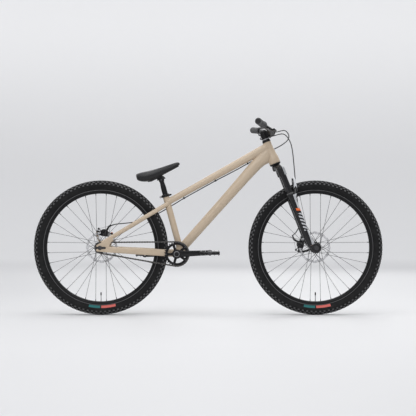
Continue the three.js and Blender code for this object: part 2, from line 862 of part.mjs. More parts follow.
function spoke(index, flanges) {
  const rimAngle = ((index + 0.5) / spokeCount) * 2 * Math.PI;
  const side = index % 2 === 0 ? 1 : -1;
  const pull = index % 4 < 2 ? 1 : -1;
  const flange = side > 0 ? flanges.left : -flanges.right;
  const hubAngle = rimAngle + pull * spokeCrossAngle;
  const [hx, hz] = polar(spokeCircleRadius, hubAngle);
  const reach = rimInnerRadius * Math.cos(Math.PI / wheelSegments) - seatGap;
  const [rx, rz] = polar(reach, rimAngle);
  const from = point(hx, flange + pull * spokeOffset, hz);
  return rod(from, point(rx, side * spokeRimPlane + pull * spokeRimOffset, rz), spokeRadius, wireSides);
}

function hubProfile(halfWidth, flanges, bore) {
  const t = hubFlangeHalfThickness;
  return [
    [bore, -halfWidth], [hubEndRadius, -halfWidth], [hubEndRadius, -flanges.right - t * 3],
    [hubFlangeRadius, -flanges.right - t], [hubFlangeRadius, -flanges.right + t],
    [hubBodyRadius, -flanges.right + t * 3], [hubBodyRadius, flanges.left - t * 3],
    [hubFlangeRadius, flanges.left - t], [hubFlangeRadius, flanges.left + t],
    [rotorBoreRadius - seatGap, flanges.left + t * 2],
    [rotorBoreRadius - seatGap, flanges.rotor + rotorSeatOverhang],
    [hubEndRadius, flanges.rotor + rotorSeatOverhang], [hubEndRadius, halfWidth], [bore, halfWidth],
  ];
}

function makeHub(halfWidth, flanges, axleRadius, driver) {
  const bore = roomy(axleRadius + seatGap, hubSides);
  const bodies = [turned(hubProfile(halfWidth, flanges, bore), hubSides)];
  if (driver) bodies.push(driver);
  for (let i = 0; i < spokeCount; i += 1) bodies.push(spoke(i, flanges));
  return joined(bodies);
}

// The disc: a brake track carried by six slanted arms on a bolted centre.
function makeRotor(plane) {
  const inner = rotorRadius - rotorTrackWidth;
  const windows = [];
  const pitch = (2 * Math.PI) / rotorArmCount;
  for (let i = 0; i < rotorArmCount; i += 1) {
    const from = i * pitch;
    const outerGap = rotorArmWidth / inner;
    const innerGap = rotorArmWidth / rotorCarrierRadius;
    windows.push([
      ...arc(inner, from + outerGap / 2, from + pitch - outerGap / 2, 3),
      ...arc(rotorCarrierRadius, from + pitch / 2 - innerGap / 2, from - pitch / 2 + innerGap / 2, 1),
    ]);
  }
  windows.push(ringOf(roomy(rotorBoreRadius, boltSides), boltSides));
  const edge = ringOf(rotorRadius, wheelSegments);
  return plate(edge, plane - rotorThickness / 2, plane + rotorThickness / 2, windows);
}

const frontFlanges = { right: frontRightFlange, left: frontLeftFlange, rotor: frontRotorPlane };
const rearFlanges = { right: rearRightFlange, left: rearLeftFlange, rotor: rearRotorPlane };

// The driver drum carries the cog between a flange and a lock ring, on the right end of the hub.
function makeDriver() {
  const half = toothThickness / 2 + seatGap;
  return turned([
    [rearAxleRadius + seatGap, -chainline - half - driverRingWidth],
    [driverRingRadius, -chainline - half - driverRingWidth],
    [driverRingRadius, -chainline - half], [driverRadius, -chainline - half],
    [driverRadius, -chainline + half], [driverFlangeRadius, -chainline + half],
    [driverFlangeRadius, -rearRightFlange], [rearAxleRadius + seatGap, -rearRightFlange],
  ], roundSides);
}

part('front_tyre', makeTyre(), 'rubber', frontWheel);
part('front_rim', makeRim(), 'blackMetal', frontWheel);
part('front_hub_and_spokes', makeHub(frontHubHalfWidth, frontFlanges, frontAxleRadius), 'steel', frontWheel);
part('front_brake_disc', makeRotor(frontRotorPlane), 'steel', frontWheel);
part('front_valve', makeValve(), 'darkMetal', frontWheel);
part('rear_tyre', makeTyre(), 'rubber', rearWheel);
part('rear_rim', makeRim(), 'blackMetal', rearWheel);
part('rear_hub_and_spokes', makeHub(rearHubHalfWidth, rearFlanges, rearAxleRadius, makeDriver()), 'steel',
  rearWheel);
part('rear_brake_disc', makeRotor(rearRotorPlane), 'steel', rearWheel);
part('rear_valve', makeValve(), 'darkMetal', rearWheel);

// Rear axle with its nuts, tight in the slots
function makeRearAxle() {
  const face = dropoutInner + dropoutThickness + seatGap;
  const end = face + axleNutThickness + axleStickOut;
  const bodies = [rod(point(0, -end, 0), point(0, end, 0), rearAxleRadius, boltSides)];
  [-1, 1].forEach((side) => {
    bodies.push(rod(point(0, side * face, 0), point(0, side * (face + axleNutThickness), 0),
      axleNutRadius, nutSides));
  });
  return joined(bodies);
}
part('rear_axle', makeRearAxle(), 'darkMetal', rearWheel);

// Chain drive

const route = chainRoute(chainstayLength);
const lineAngle = Math.atan2(bottomBracket.z - rearAxle.z, bottomBracket.x - rearAxle.x);
const upperAngle = lineAngle + Math.PI / 2 + route.lean;
const lowerAngle = lineAngle - Math.PI / 2 - route.lean;
const ringStep = (2 * Math.PI) / ringTeeth;
const cogStep = (2 * Math.PI) / cogTeeth;

// The pin's place in X and Z, so many pitches from where the upper run leaves the cog.
function chainPin(count) {
  const onCircle = (centre, radius, angle) => {
    const [x, z] = polar(radius, angle);
    return new THREE.Vector2(centre.x + x, centre.z + z);
  };
  let rest = count;
  const upperStart = onCircle(rearAxle, cogPitchRadius, upperAngle);
  const upperEnd = onCircle(bottomBracket, ringPitchRadius, upperAngle);
  if (rest <= route.straight) return upperStart.lerp(upperEnd, rest / route.straight);
  rest -= route.straight;
  if (rest <= route.onRing) return onCircle(bottomBracket, ringPitchRadius, upperAngle - rest * ringStep);
  rest -= route.onRing;
  const lowerStart = onCircle(bottomBracket, ringPitchRadius, lowerAngle);
  const lowerEnd = onCircle(rearAxle, cogPitchRadius, lowerAngle);
  if (rest <= route.straight) return lowerStart.lerp(lowerEnd, rest / route.straight);
  rest -= route.straight;
  return onCircle(rearAxle, cogPitchRadius, lowerAngle - rest * cogStep);
}

function makeChain() {
  const pins = [];
  for (let i = 0; i < chainLinks; i += 1) pins.push(chainPin(i + 0.5));
  const strips = [];
  [-1, 1].forEach((side) => {
    const rings = [];
    pins.forEach((pin, i) => {
      const after = pins[(i + 1) % chainLinks];
      const middle = new THREE.Vector2().addVectors(pin, after).multiplyScalar(0.5);
      const gap = i % 2 === 0 ? chainInnerHalfGap : chainInnerHalfGap + chainPlateThickness;
      const along = new THREE.Vector2().subVectors(after, pin);
      rings.push(stripRing(middle, along, chainPlateHalfHeight, gap, side));
    });
    strips.push(skinned(rings, true));
  });
  const half = chainInnerHalfGap + chainPlateThickness;
  const rollers = pins.map((pin) => rod(
    point(pin.x, -chainline - half, pin.y), point(pin.x, -chainline + half, pin.y), chainRollerRadius,
    wireSides,
  ));
  return joined([...strips, ...rollers]);
}

function stripRing(place, along, halfHeight, gap, side) {
  const normal = new THREE.Vector2(-along.y, along.x).normalize();
  const near = -chainline + side * gap;
  const far = -chainline + side * (gap + chainPlateThickness);
  const at = (reach, y) => point(place.x + normal.x * reach, y, place.y + normal.y * reach);
  return [at(-halfHeight, near), at(-halfHeight, far), at(halfHeight, far), at(halfHeight, near)];
}

// The toothed outline, with a valley at the angle given.
function toothedEdge(teeth, pitchRadius, valleyAngle) {
  const outline = [];
  for (let i = 0; i < teeth; i += 1) {
    const valley = valleyAngle + (i / teeth) * 2 * Math.PI;
    const crest = valley + Math.PI / teeth;
    const root = pitchRadius - toothRootDepth;
    const tip = pitchRadius + toothTipHeight;
    outline.push(polar(root, valley - toothRootHalf / root), polar(root, valley + toothRootHalf / root));
    outline.push(polar(tip, crest));
  }
  return outline;
}

function makeChainring() {
  const valley = upperAngle - (Math.ceil(route.straight - 0.5) + 0.5 - route.straight) * ringStep;
  const windows = [];
  const pitch = (2 * Math.PI) / ringWindowCount;
  for (let i = 0; i < ringWindowCount; i += 1) {
    const from = (i + 0.5) * pitch;
    const outerGap = ringArmWidth / ringWindowOuter / 2;
    const innerGap = ringArmWidth / ringWindowInner / 2;
    windows.push([
      ...arc(ringWindowOuter, from + outerGap, from + pitch - outerGap, 4),
      ...arc(ringWindowInner, from + pitch - innerGap, from + innerGap, 1),
    ]);
  }
  windows.push(ringOf(roomy(spindleRadius + seatGap, roundSides), roundSides));
  const edge = toothedEdge(ringTeeth, ringPitchRadius, valley - crankRestTilt);
  return plate(edge, -chainline - toothThickness / 2, -chainline + toothThickness / 2, windows);
}

function makeCog() {
  const travelled = route.straight * 2 + route.onRing;
  const valley = lowerAngle - (Math.ceil(travelled - 0.5) + 0.5 - travelled) * cogStep;
  const bore = ringOf(roomy(cogBoreRadius, roundSides), roundSides);
  return plate(toothedEdge(cogTeeth, cogPitchRadius, valley), -chainline - toothThickness / 2,
    -chainline + toothThickness / 2, [bore]);
}

part('chain', makeChain(), 'chain', bike);
part('rear_cog', makeCog(), 'darkMetal', rearWheel);
part('chainring', makeChainring(), 'blackMetal', crankGroup);

// Cranks, spindle and bottom bracket cups

const crankRightFace = crankRightHubPlane + crankHubHalfThickness;
const crankLeftFace = crankLeftHubPlane + crankHubHalfThickness;

function makeSpindle() {
  const right = crankRightFace + seatGap;
  const left = crankLeftFace + seatGap;
  return joined([
    rod(point(0, -right, 0), point(0, left, 0), spindleRadius, roundSides),
    rod(point(0, -right - spindleCapThickness, 0), point(0, -right, 0), spindleCapRadius, roundSides),
    rod(point(0, left, 0), point(0, left + spindleCapThickness, 0), spindleCapRadius, roundSides),
  ]);
}

// Stations of an arm: share of its length, how far out it has come, and share of the hub's height.
const crankArmShares = [[0, 0, 1], [0.16, 0.1, 0.78], [0.5, 0.3, 0.68], [0.96, 1, 0.63]];

function makeCrankArm(side) {
  const hubPlane = side < 0 ? crankRightHubPlane : crankLeftHubPlane;
  const reach = side < 0 ? crankLength : -crankLength;
  const inner = hubPlane - crankHubHalfThickness;
  const outer = hubPlane + crankHubHalfThickness;
  const stations = crankArmShares.map(([share, out, height]) => ({
    at: point(reach * share, side * THREE.MathUtils.lerp(hubPlane, crankEyePlane, out), 0),
    wide: crankHalfThickness,
    high: crankHubRadius * height * 0.95,
  }));
  const bodies = [
    rod(point(0, side * inner, 0), point(0, side * outer, 0), crankHubRadius, roundSides),
    limb(stations, armSides, 0.7),
    rod(point(reach, side * (crankEyePlane - crankHalfThickness), 0),
      point(reach, side * (crankEyePlane + crankHalfThickness), 0), crankEyeRadius, roundSides),
  ];
  const far = crankEyePlane * 2;
  return without(joined(bodies), [
    rod(point(0, 0, 0), point(0, side * far, 0), roomy(spindleRadius + seatGap, roundSides), roundSides),
    rod(point(reach, 0, 0), point(reach, side * far, 0),
      roomy(pedalAxleRadius + seatGap, boltSides), boltSides),
  ]);
}

function makeCup(side) {
  const start = shellHalfWidth + seatGap;
  const bore = roomy(spindleRadius + runningGap, roundSides);
  const body = turned([
    [bore, side * (start - cupSkirtLength)],
    [shellBoreRadius - seatGap, side * (start - cupSkirtLength)],
    [shellBoreRadius - seatGap, side * start], [cupFlangeRadius, side * start],
    [cupFlangeRadius - edgeChamfer, side * (start + cupFlangeThickness)],
    [bore, side * (start + cupFlangeThickness)],
  ], roundSides);
  return moved(body, bottomBracket);
}

part('crank_spindle', makeSpindle(), 'darkMetal', crankGroup);
part('right_crank_arm', makeCrankArm(-1), 'blackMetal', crankGroup);
part('left_crank_arm', makeCrankArm(1), 'blackMetal', crankGroup);
part('right_bottom_bracket_cup', makeCup(-1), 'blackMetal', bike);
part('left_bottom_bracket_cup', makeCup(1), 'blackMetal', bike);

// Pedals. The axle is screwed into the arm's eye and the platform turns on it.

function makePedalAxle(side) {
  const face = crankEyePlane + crankHalfThickness + seatGap;
  return joined([
    rod(point(0, side * (crankEyePlane - crankHalfThickness), 0),
      point(0, side * (pedalStandOff + pedalWidth - pedalRail), 0), pedalAxleRadius, boltSides),
    rod(point(0, side * face, 0), point(0, side * (face + pedalCollarThickness), 0),
      pedalCollarRadius, boltSides),
  ]);
}

function makePedal(side) {
  const near = pedalStandOff;
  const far = pedalStandOff + pedalWidth;
  const rail = pedalRail;
  const nose = pedalNoseHalfWidth;
  const middle = (near + far) / 2;
  const outline = [
    [-pedalHalfLength, middle - nose], [-nose, near], [nose, near], [pedalHalfLength, middle - nose],
    [pedalHalfLength, middle + nose], [nose, far], [-nose, far], [-pedalHalfLength, middle + nose],
  ].map(([x, y]) => [x, side * y]);
  const windows = [-1, 1].map((end) => {
    const inner = end * (pedalBarrelRadius - weldOverlap);
    const outer = end * (pedalHalfLength - rail);
    const half = nose - pedalWindowTaper;
    const window = [
      [inner, near + rail], [outer, middle - half], [outer, middle + half], [inner, far - rail],
    ];
    return window.map(([x, y]) => [x, side * y]);
  });
  const depth = pedalHalfThickness * 2;
  const cage = new THREE.ExtrudeGeometry(flatShape(outline, windows), { depth, bevelEnabled: false });
  cage.translate(0, 0, -pedalHalfThickness);
  const barrel = rod(point(0, side * near, 0), point(0, side * far, 0), pedalBarrelRadius, boltSides);
  const bore = rod(point(0, side * (near - cutOverrun), 0), point(0, side * (far - rail + pedalBoreRoom), 0),
    roomy(pedalAxleRadius + runningGap, boltSides), boltSides);
  return without(joined([solid(cage), barrel]), [bore]);
}

[['right', -1], ['left', 1]].forEach(([name, side]) => {
  const eye = new THREE.Group();
  eye.position.set(-side * crankLength, 0, 0);
  eye.rotation.y = crankRestTilt;
  crankGroup.add(eye);
  part(`${name}_pedal_axle`, makePedalAxle(side), 'steel', eye);
  part(`${name}_pedal`, makePedal(side), 'blackMetal', eye);
});

// Headset, in the head tube's own frame: z runs up the steering axis, x forward

const headTop = headTubeLength / 2;
const headBottom = -headTubeLength / 2;
const crownRace = headBottom - lowerCupThickness - 2 * seatGap;

const steererClearance = roomy(steererRadius + runningGap, roundSides);

function makeUpperCup() {
  const start = headTop + seatGap;
  return turnedUp([
    [steererClearance, start - cupSkirtDepth], [upperCupBore - seatGap, start - cupSkirtDepth],
    [upperCupBore - seatGap, start], [upperCupRadius, start], [upperCupRadius, start + upperCupThickness],
    [steererClearance, start + upperCupThickness],
  ], roundSides);
}

function makeLowerCup() {
  const start = headBottom - seatGap;
  return turnedUp([
    [steererClearance, start - lowerCupThickness],
    [lowerCupRadius - lowerCupTaper, start - lowerCupThickness],
    [lowerCupRadius, start - lowerCupThickness / 2], [lowerCupRadius, start],
    [lowerCupBore - seatGap, start], [lowerCupBore - seatGap, start + cupSkirtDepth],
    [steererClearance, start + cupSkirtDepth],
  ], roundSides);
}

const coverStart = headTop + 2 * seatGap + upperCupThickness;
const spacerStart = coverStart + headsetCoverHeight + seatGap;
const stemStart = spacerStart + spacerHeight + seatGap;
const stemTop = stemStart + stemClampHeight;
const barHeight = stemStart + stemClampHeight / 2;

function makeSpacer() {
  const bore = steererClearance;
  return turnedUp([
    [bore, coverStart], [upperCupRadius - edgeChamfer, coverStart],
    [spacerRadius, coverStart + headsetCoverHeight], [spacerRadius, spacerStart + spacerHeight],
    [bore, spacerStart + spacerHeight],
  ], roundSides);
}

function makeTopCap() {
  return turnedUp([
    [0, stemTop - cutOverrun * 3], [steererBoreRadius - seatGap, stemTop - cutOverrun * 3],
    [steererBoreRadius - seatGap, stemTop + seatGap], [topCapRadius, stemTop + seatGap],
    [topCapRadius - edgeChamfer, stemTop + seatGap + topCapThickness],
    [0, stemTop + seatGap + topCapThickness],
  ], roundSides);
}

part('upper_headset_cup', makeUpperCup(), 'blackMetal', steeringGroup);
part('lower_headset_cup', makeLowerCup(), 'blackMetal', steeringGroup);
part('headset_spacer', makeSpacer(), 'blackMetal', steeringGroup);
part('headset_top_cap', makeTopCap(), 'blackMetal', steeringGroup);

// Stem and faceplate, still in the steering frame. They grip the bar between them.

const barClampSplit = stemReach + faceplateGap;

// A squared section across the stem, so far ahead of the steerer.
function stemRing(ahead, halfWidth, halfHeight) {
  return sectionRing(point(ahead, 0, barHeight), sideways, upward, halfWidth, halfHeight, armSides, 0.6);
}

function makeStem() {
  const y = stemFaceHalfWidth;
  const h = stemFaceHalfHeight;
  const bodies = [
    rod(point(0, 0, stemStart), point(0, 0, stemTop), stemClampRadius, roundSides),
    skinned([
      stemRing(0, stemBodyHalfWidth, stemClampHeight * 0.42), stemRing(stemReach - stemFaceDepth, y, h),
      stemRing(barClampSplit, y, h),
    ]),
  ];
  [-1, 1].forEach((end) => {
    const z = barHeight + end * stemClampHeight * 0.27;
    const behind = stemBoltInset - stemClampRadius;
    bodies.push(rod(point(behind, -stemBodyHalfWidth * 0.8, z), point(behind, stemBodyHalfWidth * 0.8, z),
      stemClampHeight / 8, boltSides));
  });
  const farZ = stemClampHeight;
  return without(joined(bodies), [
    rod(point(0, 0, stemStart - farZ), point(0, 0, stemTop + farZ),
      roomy(steererRadius + seatGap, roundSides), roundSides),
    rod(point(stemReach, -y * 2, barHeight), point(stemReach, y * 2, barHeight),
      roomy(barClampRadius + seatGap, roundSides), roundSides),
    block(point(-stemClampRadius * 2, -stemSlitHalfWidth, stemStart - cutOverrun),
      point(-steererRadius / 2, stemSlitHalfWidth, stemTop + cutOverrun)),
  ]);
}

function makeFaceplate() {
  const y = stemFaceHalfWidth;
  const h = stemFaceHalfHeight;
  const front = stemReach + barClampRadius + faceplateThickness;
  const body = skinned([
    stemRing(barClampSplit + faceplateGap, y, h), stemRing(stemReach + faceplateShoulder, y, h),
    stemRing(front, y, h * 0.5),
  ]);
  const bar = rod(point(stemReach, -y * 2, barHeight), point(stemReach, y * 2, barHeight),
    roomy(barClampRadius + seatGap, roundSides), roundSides);
  return body.subtract(bar);
}

part('stem', makeStem(), 'blackMetal', steeringGroup);
part('stem_faceplate', makeFaceplate(), 'blackMetal', steeringGroup);

// Handlebar, in a frame that hangs level: x forward, z up, origin at the clamp's centre

barGroup.position.set(stemReach, 0, barHeight);

function barPlace(side, width) {
  if (width <= barClampHalfWidth) return point(0, side * width, 0);
  if (width <= barBendWidth) {
    const share = (width - barClampHalfWidth) / (barBendWidth - barClampHalfWidth);
    return point(-barBendBack * share, side * width, barBendRise * share);
  }
  const share = (width - barBendWidth) / (barHalfWidth - barBendWidth);
  return point(THREE.MathUtils.lerp(-barBendBack, -barSweepBack, share), side * width,
    THREE.MathUtils.lerp(barBendRise, barRise, share));
}

function makeHandlebar() {
  const stations = [
    [-barHalfWidth, barRadius], [-barBendWidth - barBendHalfLength, barRadius],
    [-barBendWidth + barBendHalfLength, barBendRadius],
    [-barClampHalfWidth - barBendHalfLength, barClampRadius],
    [-barClampHalfWidth + barClampInset, barClampRadius],
  ];
  const mirrored = stations.map(([width, radius]) => [-width, radius]).reverse();
  const along = [...stations, ...mirrored].map(([width, radius]) => ({
    at: barPlace(Math.sign(width), Math.abs(width)), wide: radius, high: radius,
  }));
  return limb(along, tubeSides, 1, upward);
}

part('handlebar', makeHandlebar(), 'blackMetal', barGroup);

// A frame on the bar: b runs outboard along it, f forward and down to the fingers, n across both.
function barFrame(side, width, droop) {
  const origin = barPlace(side, width);
  const b = barPlace(side, barHalfWidth).sub(barPlace(side, barBendWidth)).normalize();
  const lean = point(Math.cos(droop), 0, -Math.sin(droop));
  const f = lean.addScaledVector(b, -lean.dot(b)).normalize();
  const n = new THREE.Vector3().crossVectors(f, b);
  const place = (df, db, dn) => origin.clone().addScaledVector(f, df).addScaledVector(b, db)
    .addScaledVector(n, dn);
  return { b, n, place };
}

function makeGrip(side) {
  const frame = barFrame(side, barHalfWidth - gripLength, leverDroop);
  const bore = roomy(barRadius + seatGap, roundSides);
  const start = barHalfWidth - gripLength;
  const end = barPlace(side, start).distanceTo(barPlace(side, barHalfWidth)) + seatGap;
  return turnedAlong([
    [0, end], [bore, end], [bore, 0], [gripFlangeRadius, 0], [gripFlangeRadius, gripFlangeThickness],
    [gripRadius, gripFlangeThickness], [gripRadius, end + gripCapThickness], [0, end + gripCapThickness],
  ], roundSides, frame.place(0, 0, 0), frame.b);
}

function makeLeverPerch(side) {
  const { place, n } = barFrame(side, leverClampPlace, leverDroop);
  const inboard = leverBarrelInboard;
  const arm = limb([
    { at: place(leverClampRadius - leverArmSink, 0, 0), wide: leverArmHalfWidth, high: leverArmHalfHeight },
    { at: place(leverPivotForward, -leverArmInboard, 0), wide: leverArmHalfWidth, high: leverArmHalfHeight },
    { at: place(leverBarrelForward, -inboard, 0), wide: leverArmHalfWidth, high: leverArmHalfHeight },
    { at: place(leverBarrelForward + leverArmOverhang, -inboard, 0),
      wide: leverArmHalfWidth, high: leverArmTipHalfHeight },
  ], armSides, 0.7, n);
  const bodies = [
    rod(place(0, -leverClampHalfWidth, 0), place(0, leverClampHalfWidth, 0), leverClampRadius, roundSides),
    arm,
    rod(place(leverBarrelForward, -inboard, 0), place(leverBarrelForward, -inboard - leverBarrelLength, 0),
      leverBarrelRadius, boltSides),
  ];
  const fork = slab(place, [leverPivotForward - leverSlotBehind, -leverArmInboard],
    [leverPivotForward + leverSlotAhead, leverSlotOutboard], leverForkHalfGap);
  return without(joined(bodies), [
    rod(place(0, -leverClampHalfWidth * 2, 0), place(0, leverClampHalfWidth * 2, 0),
      roomy(barRadius + seatGap, roundSides), roundSides),
    fork,
  ]);
}

// A slab in a bar frame, between two corners in f and b.
function slab(place, [f0, b0], [f1, b1], half) {
  return skinned([
    [place(f0, b0, -half), place(f1, b0, -half), place(f1, b1, -half), place(f0, b1, -half)],
    [place(f0, b0, half), place(f1, b0, half), place(f1, b1, half), place(f0, b1, half)],
  ]);
}

// Stations of a lever's blade: how far it has come from the pivot to the full reach, share of its
// length, and share of its width. The first three lie between the perch's cheeks.
const leverBladeShares = [
  [-0.06, 0, 0.9], [0.26, 0.03, 1.1], [0.69, 0.16, 1], [0.95, 0.33, 1], [1, 0.54, 0.78],
  [0.95, 0.86, 0.78], [1.03, 1, 1],
];

function makeLeverBlade(side) {
  const { place, n } = barFrame(side, leverClampPlace, leverDroop);
  const thin = leverForkHalfGap - runningGap;
  const stations = leverBladeShares.map(([out, share, wide], i) => ({
    at: place(THREE.MathUtils.lerp(leverPivotForward, leverReach, out), share * leverBladeLength, 0),
    wide: i < 3 ? thin : leverBladeHalfHeight,
    high: wide * leverBladeHalfWidth,
  }));
  const pivot = rod(place(leverPivotForward, 0, -thin), place(leverPivotForward, 0, thin),
    leverPivotRadius, boltSides);
  return joined([limb(stations, armSides, 0.8, n), pivot]);
}

[['right', -1], ['left', 1]].forEach(([name, side]) => {
  part(`${name}_grip`, makeGrip(side), 'rubber', barGroup);
  part(`${name}_lever_perch`, makeLeverPerch(side), 'blackMetal', barGroup);
  part(`${name}_brake_lever`, makeLeverBlade(side), 'blackMetal', barGroup);
});

// Suspension fork, in the steering frame

const stanchionTop = crownRace - clampTopDrop - clampLid;
const clampBottom = crownRace - clampTopDrop - clampHeight;
const lowersTop = clampBottom - stanchionExposed;
const axleLocal = point(forkOffset, 0, -axleDrop);
const lowerBoreDepth = lowersTop - axleLocal.z - lowerBoreEnd;
const stanchionFoot = lowersTop - lowerBoreDepth + forkTravel + bottomOutRoom;

function makeCrown() {
  const bodies = [
    rod(point(0, 0, crownRace - crownDrop), point(0, 0, crownRace), crownBossRadius, roundSides),
    rod(point(0, 0, crownRace - crownDrop / 2), point(0, 0, stemTop - steererInset),
      steererRadius, roundSides),
  ];
  [-1, 1].forEach((side) => {
    bodies.push(limb([
      { at: point(0, 0, crownRace - crownDrop / 2), wide: crownArmHalfDepth, high: crownArmHalfHeight },
      { at: point(legOffset * 0.7, side * legSpread * 0.6, crownRace - crownDrop * 0.7),
        wide: crownArmHalfDepth, high: crownArmHalfHeight },
      { at: point(legOffset, side * legSpread, clampBottom + clampHeight / 2),
        wide: crownArmHalfDepth, high: crownArmHalfHeight },
    ], armSides, 0.7, forward));
    bodies.push(rod(point(legOffset, side * legSpread, clampBottom),
      point(legOffset, side * legSpread, clampBottom + clampHeight), clampRadius, roundSides));
  });
  const cutters = [rod(point(0, 0, crownRace), point(0, 0, stemTop + cutOverrun),
    roomy(steererBoreRadius, roundSides), roundSides)];
  [-1, 1].forEach((side) => cutters.push(rod(
    point(legOffset, side * legSpread, clampBottom - cutOverrun),
    point(legOffset, side * legSpread, stanchionTop + seatGap), roomy(stanchionRadius + seatGap, roundSides),
    roundSides,
  )));
  return without(joined(bodies), cutters);
}

function makeStanchion(side) {
  return rod(point(legOffset, side * legSpread, stanchionFoot),
    point(legOffset, side * legSpread, stanchionTop), stanchionRadius, roundSides);
}

// Stations of one half of the arch: share of the legs' spread, share of the way up from the legs' top
// to over the tyre, and share of the way forward.
const archShares = [[0.9, -0.485, 0.5], [0.78, 0.38, 0.86], [0.52, 0.98, 0.95], [0.22, 1.22, 1]];

function makeLowers() {
  const bodies = [];
  const cutters = [];
  const tyreTop = axleLocal.z + tyreRadius;
  const archUnder = tyreTop + archClearance;
  [-1, 1].forEach((side) => {
    const y = side * legSpread;
    const foot = side * (frontHubHalfWidth + seatGap + forkDropoutHalfThickness);
    bodies.push(rod(point(legOffset, y, lowersTop - lowerCollarHeight), point(legOffset, y, lowersTop),
      lowerCollarRadius, roundSides));
    bodies.push(limb([
      { at: point(legOffset, y, lowersTop - lowerCollarHeight / 2), wide: lowerRadius, high: lowerRadius },
      { at: point(legOffset, y, axleLocal.z + lowerTaperHeight), wide: lowerRadius, high: lowerRadius },
      { at: point(legOffset + lowerKneeForward, y, axleLocal.z + lowerKneeHeight),
        wide: lowerFootRadius, high: lowerFootRadius },
      { at: point(forkOffset - lowerFootBehind, foot, axleLocal.z + lowerFootRise),
        wide: forkDropoutHalfThickness, high: lowerFootRadius },
    ], tubeSides));
    bodies.push(rod(point(forkOffset, foot - forkDropoutHalfThickness, axleLocal.z),
      point(forkOffset, foot + forkDropoutHalfThickness, axleLocal.z), forkDropoutRadius, roundSides));
    cutters.push(rod(point(legOffset, y, lowersTop - lowerBoreDepth),
      point(legOffset, y, lowersTop + cutOverrun),
      roomy(stanchionRadius + runningGap, roundSides), roundSides));
  });
  const mirrored = archShares.map(([y, z, x]) => [-y, z, x]).reverse();
  bodies.push(limb([...archShares, ...mirrored].map(([y, z, x]) => ({
    at: point(legOffset + archForward * x, y * legSpread, THREE.MathUtils.lerp(lowersTop, archUnder, z)),
    wide: archHalfDepth,
    high: archTopHalfHeight,
  })), armSides, 0.8, forward));
  const angle = frontCaliperAngle - headTilt;
  const upperPost = caliperPlace(axleLocal, angle, caliperEarOut / 2, caliperEarReach);
  const onLeg = point(legOffset, legSpread - lowerFootRadius / 2, upperPost.z);
  const onFoot = point(forkOffset - forkDropoutRadius * 0.6,
    frontHubHalfWidth + seatGap + forkDropoutHalfThickness, axleLocal.z - forkDropoutRadius * 0.4);
  bodies.push(...caliperPosts(axleLocal, angle, frontRotorPlane, [onLeg, onFoot]));
  const axleBore = rod(point(forkOffset, -legSpread * 2, axleLocal.z),
    point(forkOffset, legSpread * 2, axleLocal.z), roomy(frontAxleRadius + seatGap, roundSides), roundSides);
  const face = frontHubHalfWidth + seatGap + 2 * forkDropoutHalfThickness;
  [-1, 1].forEach((side) => cutters.push(rod(point(forkOffset, side * face, axleLocal.z),
    point(forkOffset, side * face * 2, axleLocal.z), forkAxleCapRadius + cutOverrun, roundSides)));
  return without(joined(bodies), [...cutters, axleBore]);
}

function makeWiper(side) {
  const bore = roomy(stanchionRadius + runningGap, roundSides);
  return moved(turnedUp([
    [bore, 0], [wiperRadius, 0], [wiperRadius, wiperHeight * 0.6],
    [wiperRadius - edgeChamfer, wiperHeight], [bore, wiperHeight],
  ], roundSides), point(legOffset, side * legSpread, lowersTop + seatGap));
}

function makeFrontAxle() {
  const face = frontHubHalfWidth + seatGap + 2 * forkDropoutHalfThickness + seatGap;
  const bodies = [rod(point(forkOffset, -face, axleLocal.z), point(forkOffset, face, axleLocal.z),
    frontAxleRadius, roundSides)];
  [-1, 1].forEach((side) => bodies.push(rod(point(forkOffset, side * face, axleLocal.z),
    point(forkOffset, side * (face + forkAxleCapThickness), axleLocal.z), forkAxleCapRadius, roundSides)));
  return joined(bodies);
}

part('fork_crown_and_steerer', makeCrown(), 'blackPaint', steeringGroup);
part('right_stanchion', makeStanchion(-1), 'blackMetal', steeringGroup);
part('left_stanchion', makeStanchion(1), 'blackMetal', steeringGroup);
part('fork_lowers', makeLowers(), 'blackPaint', steeringGroup);
part('right_fork_wiper', makeWiper(-1), 'rubber', steeringGroup);
part('left_fork_wiper', makeWiper(1), 'rubber', steeringGroup);
part('front_axle', makeFrontAxle(), 'darkMetal', steeringGroup);

// Brake callipers. Each straddles its disc; the arm on its outer face turns when the cable pulls.

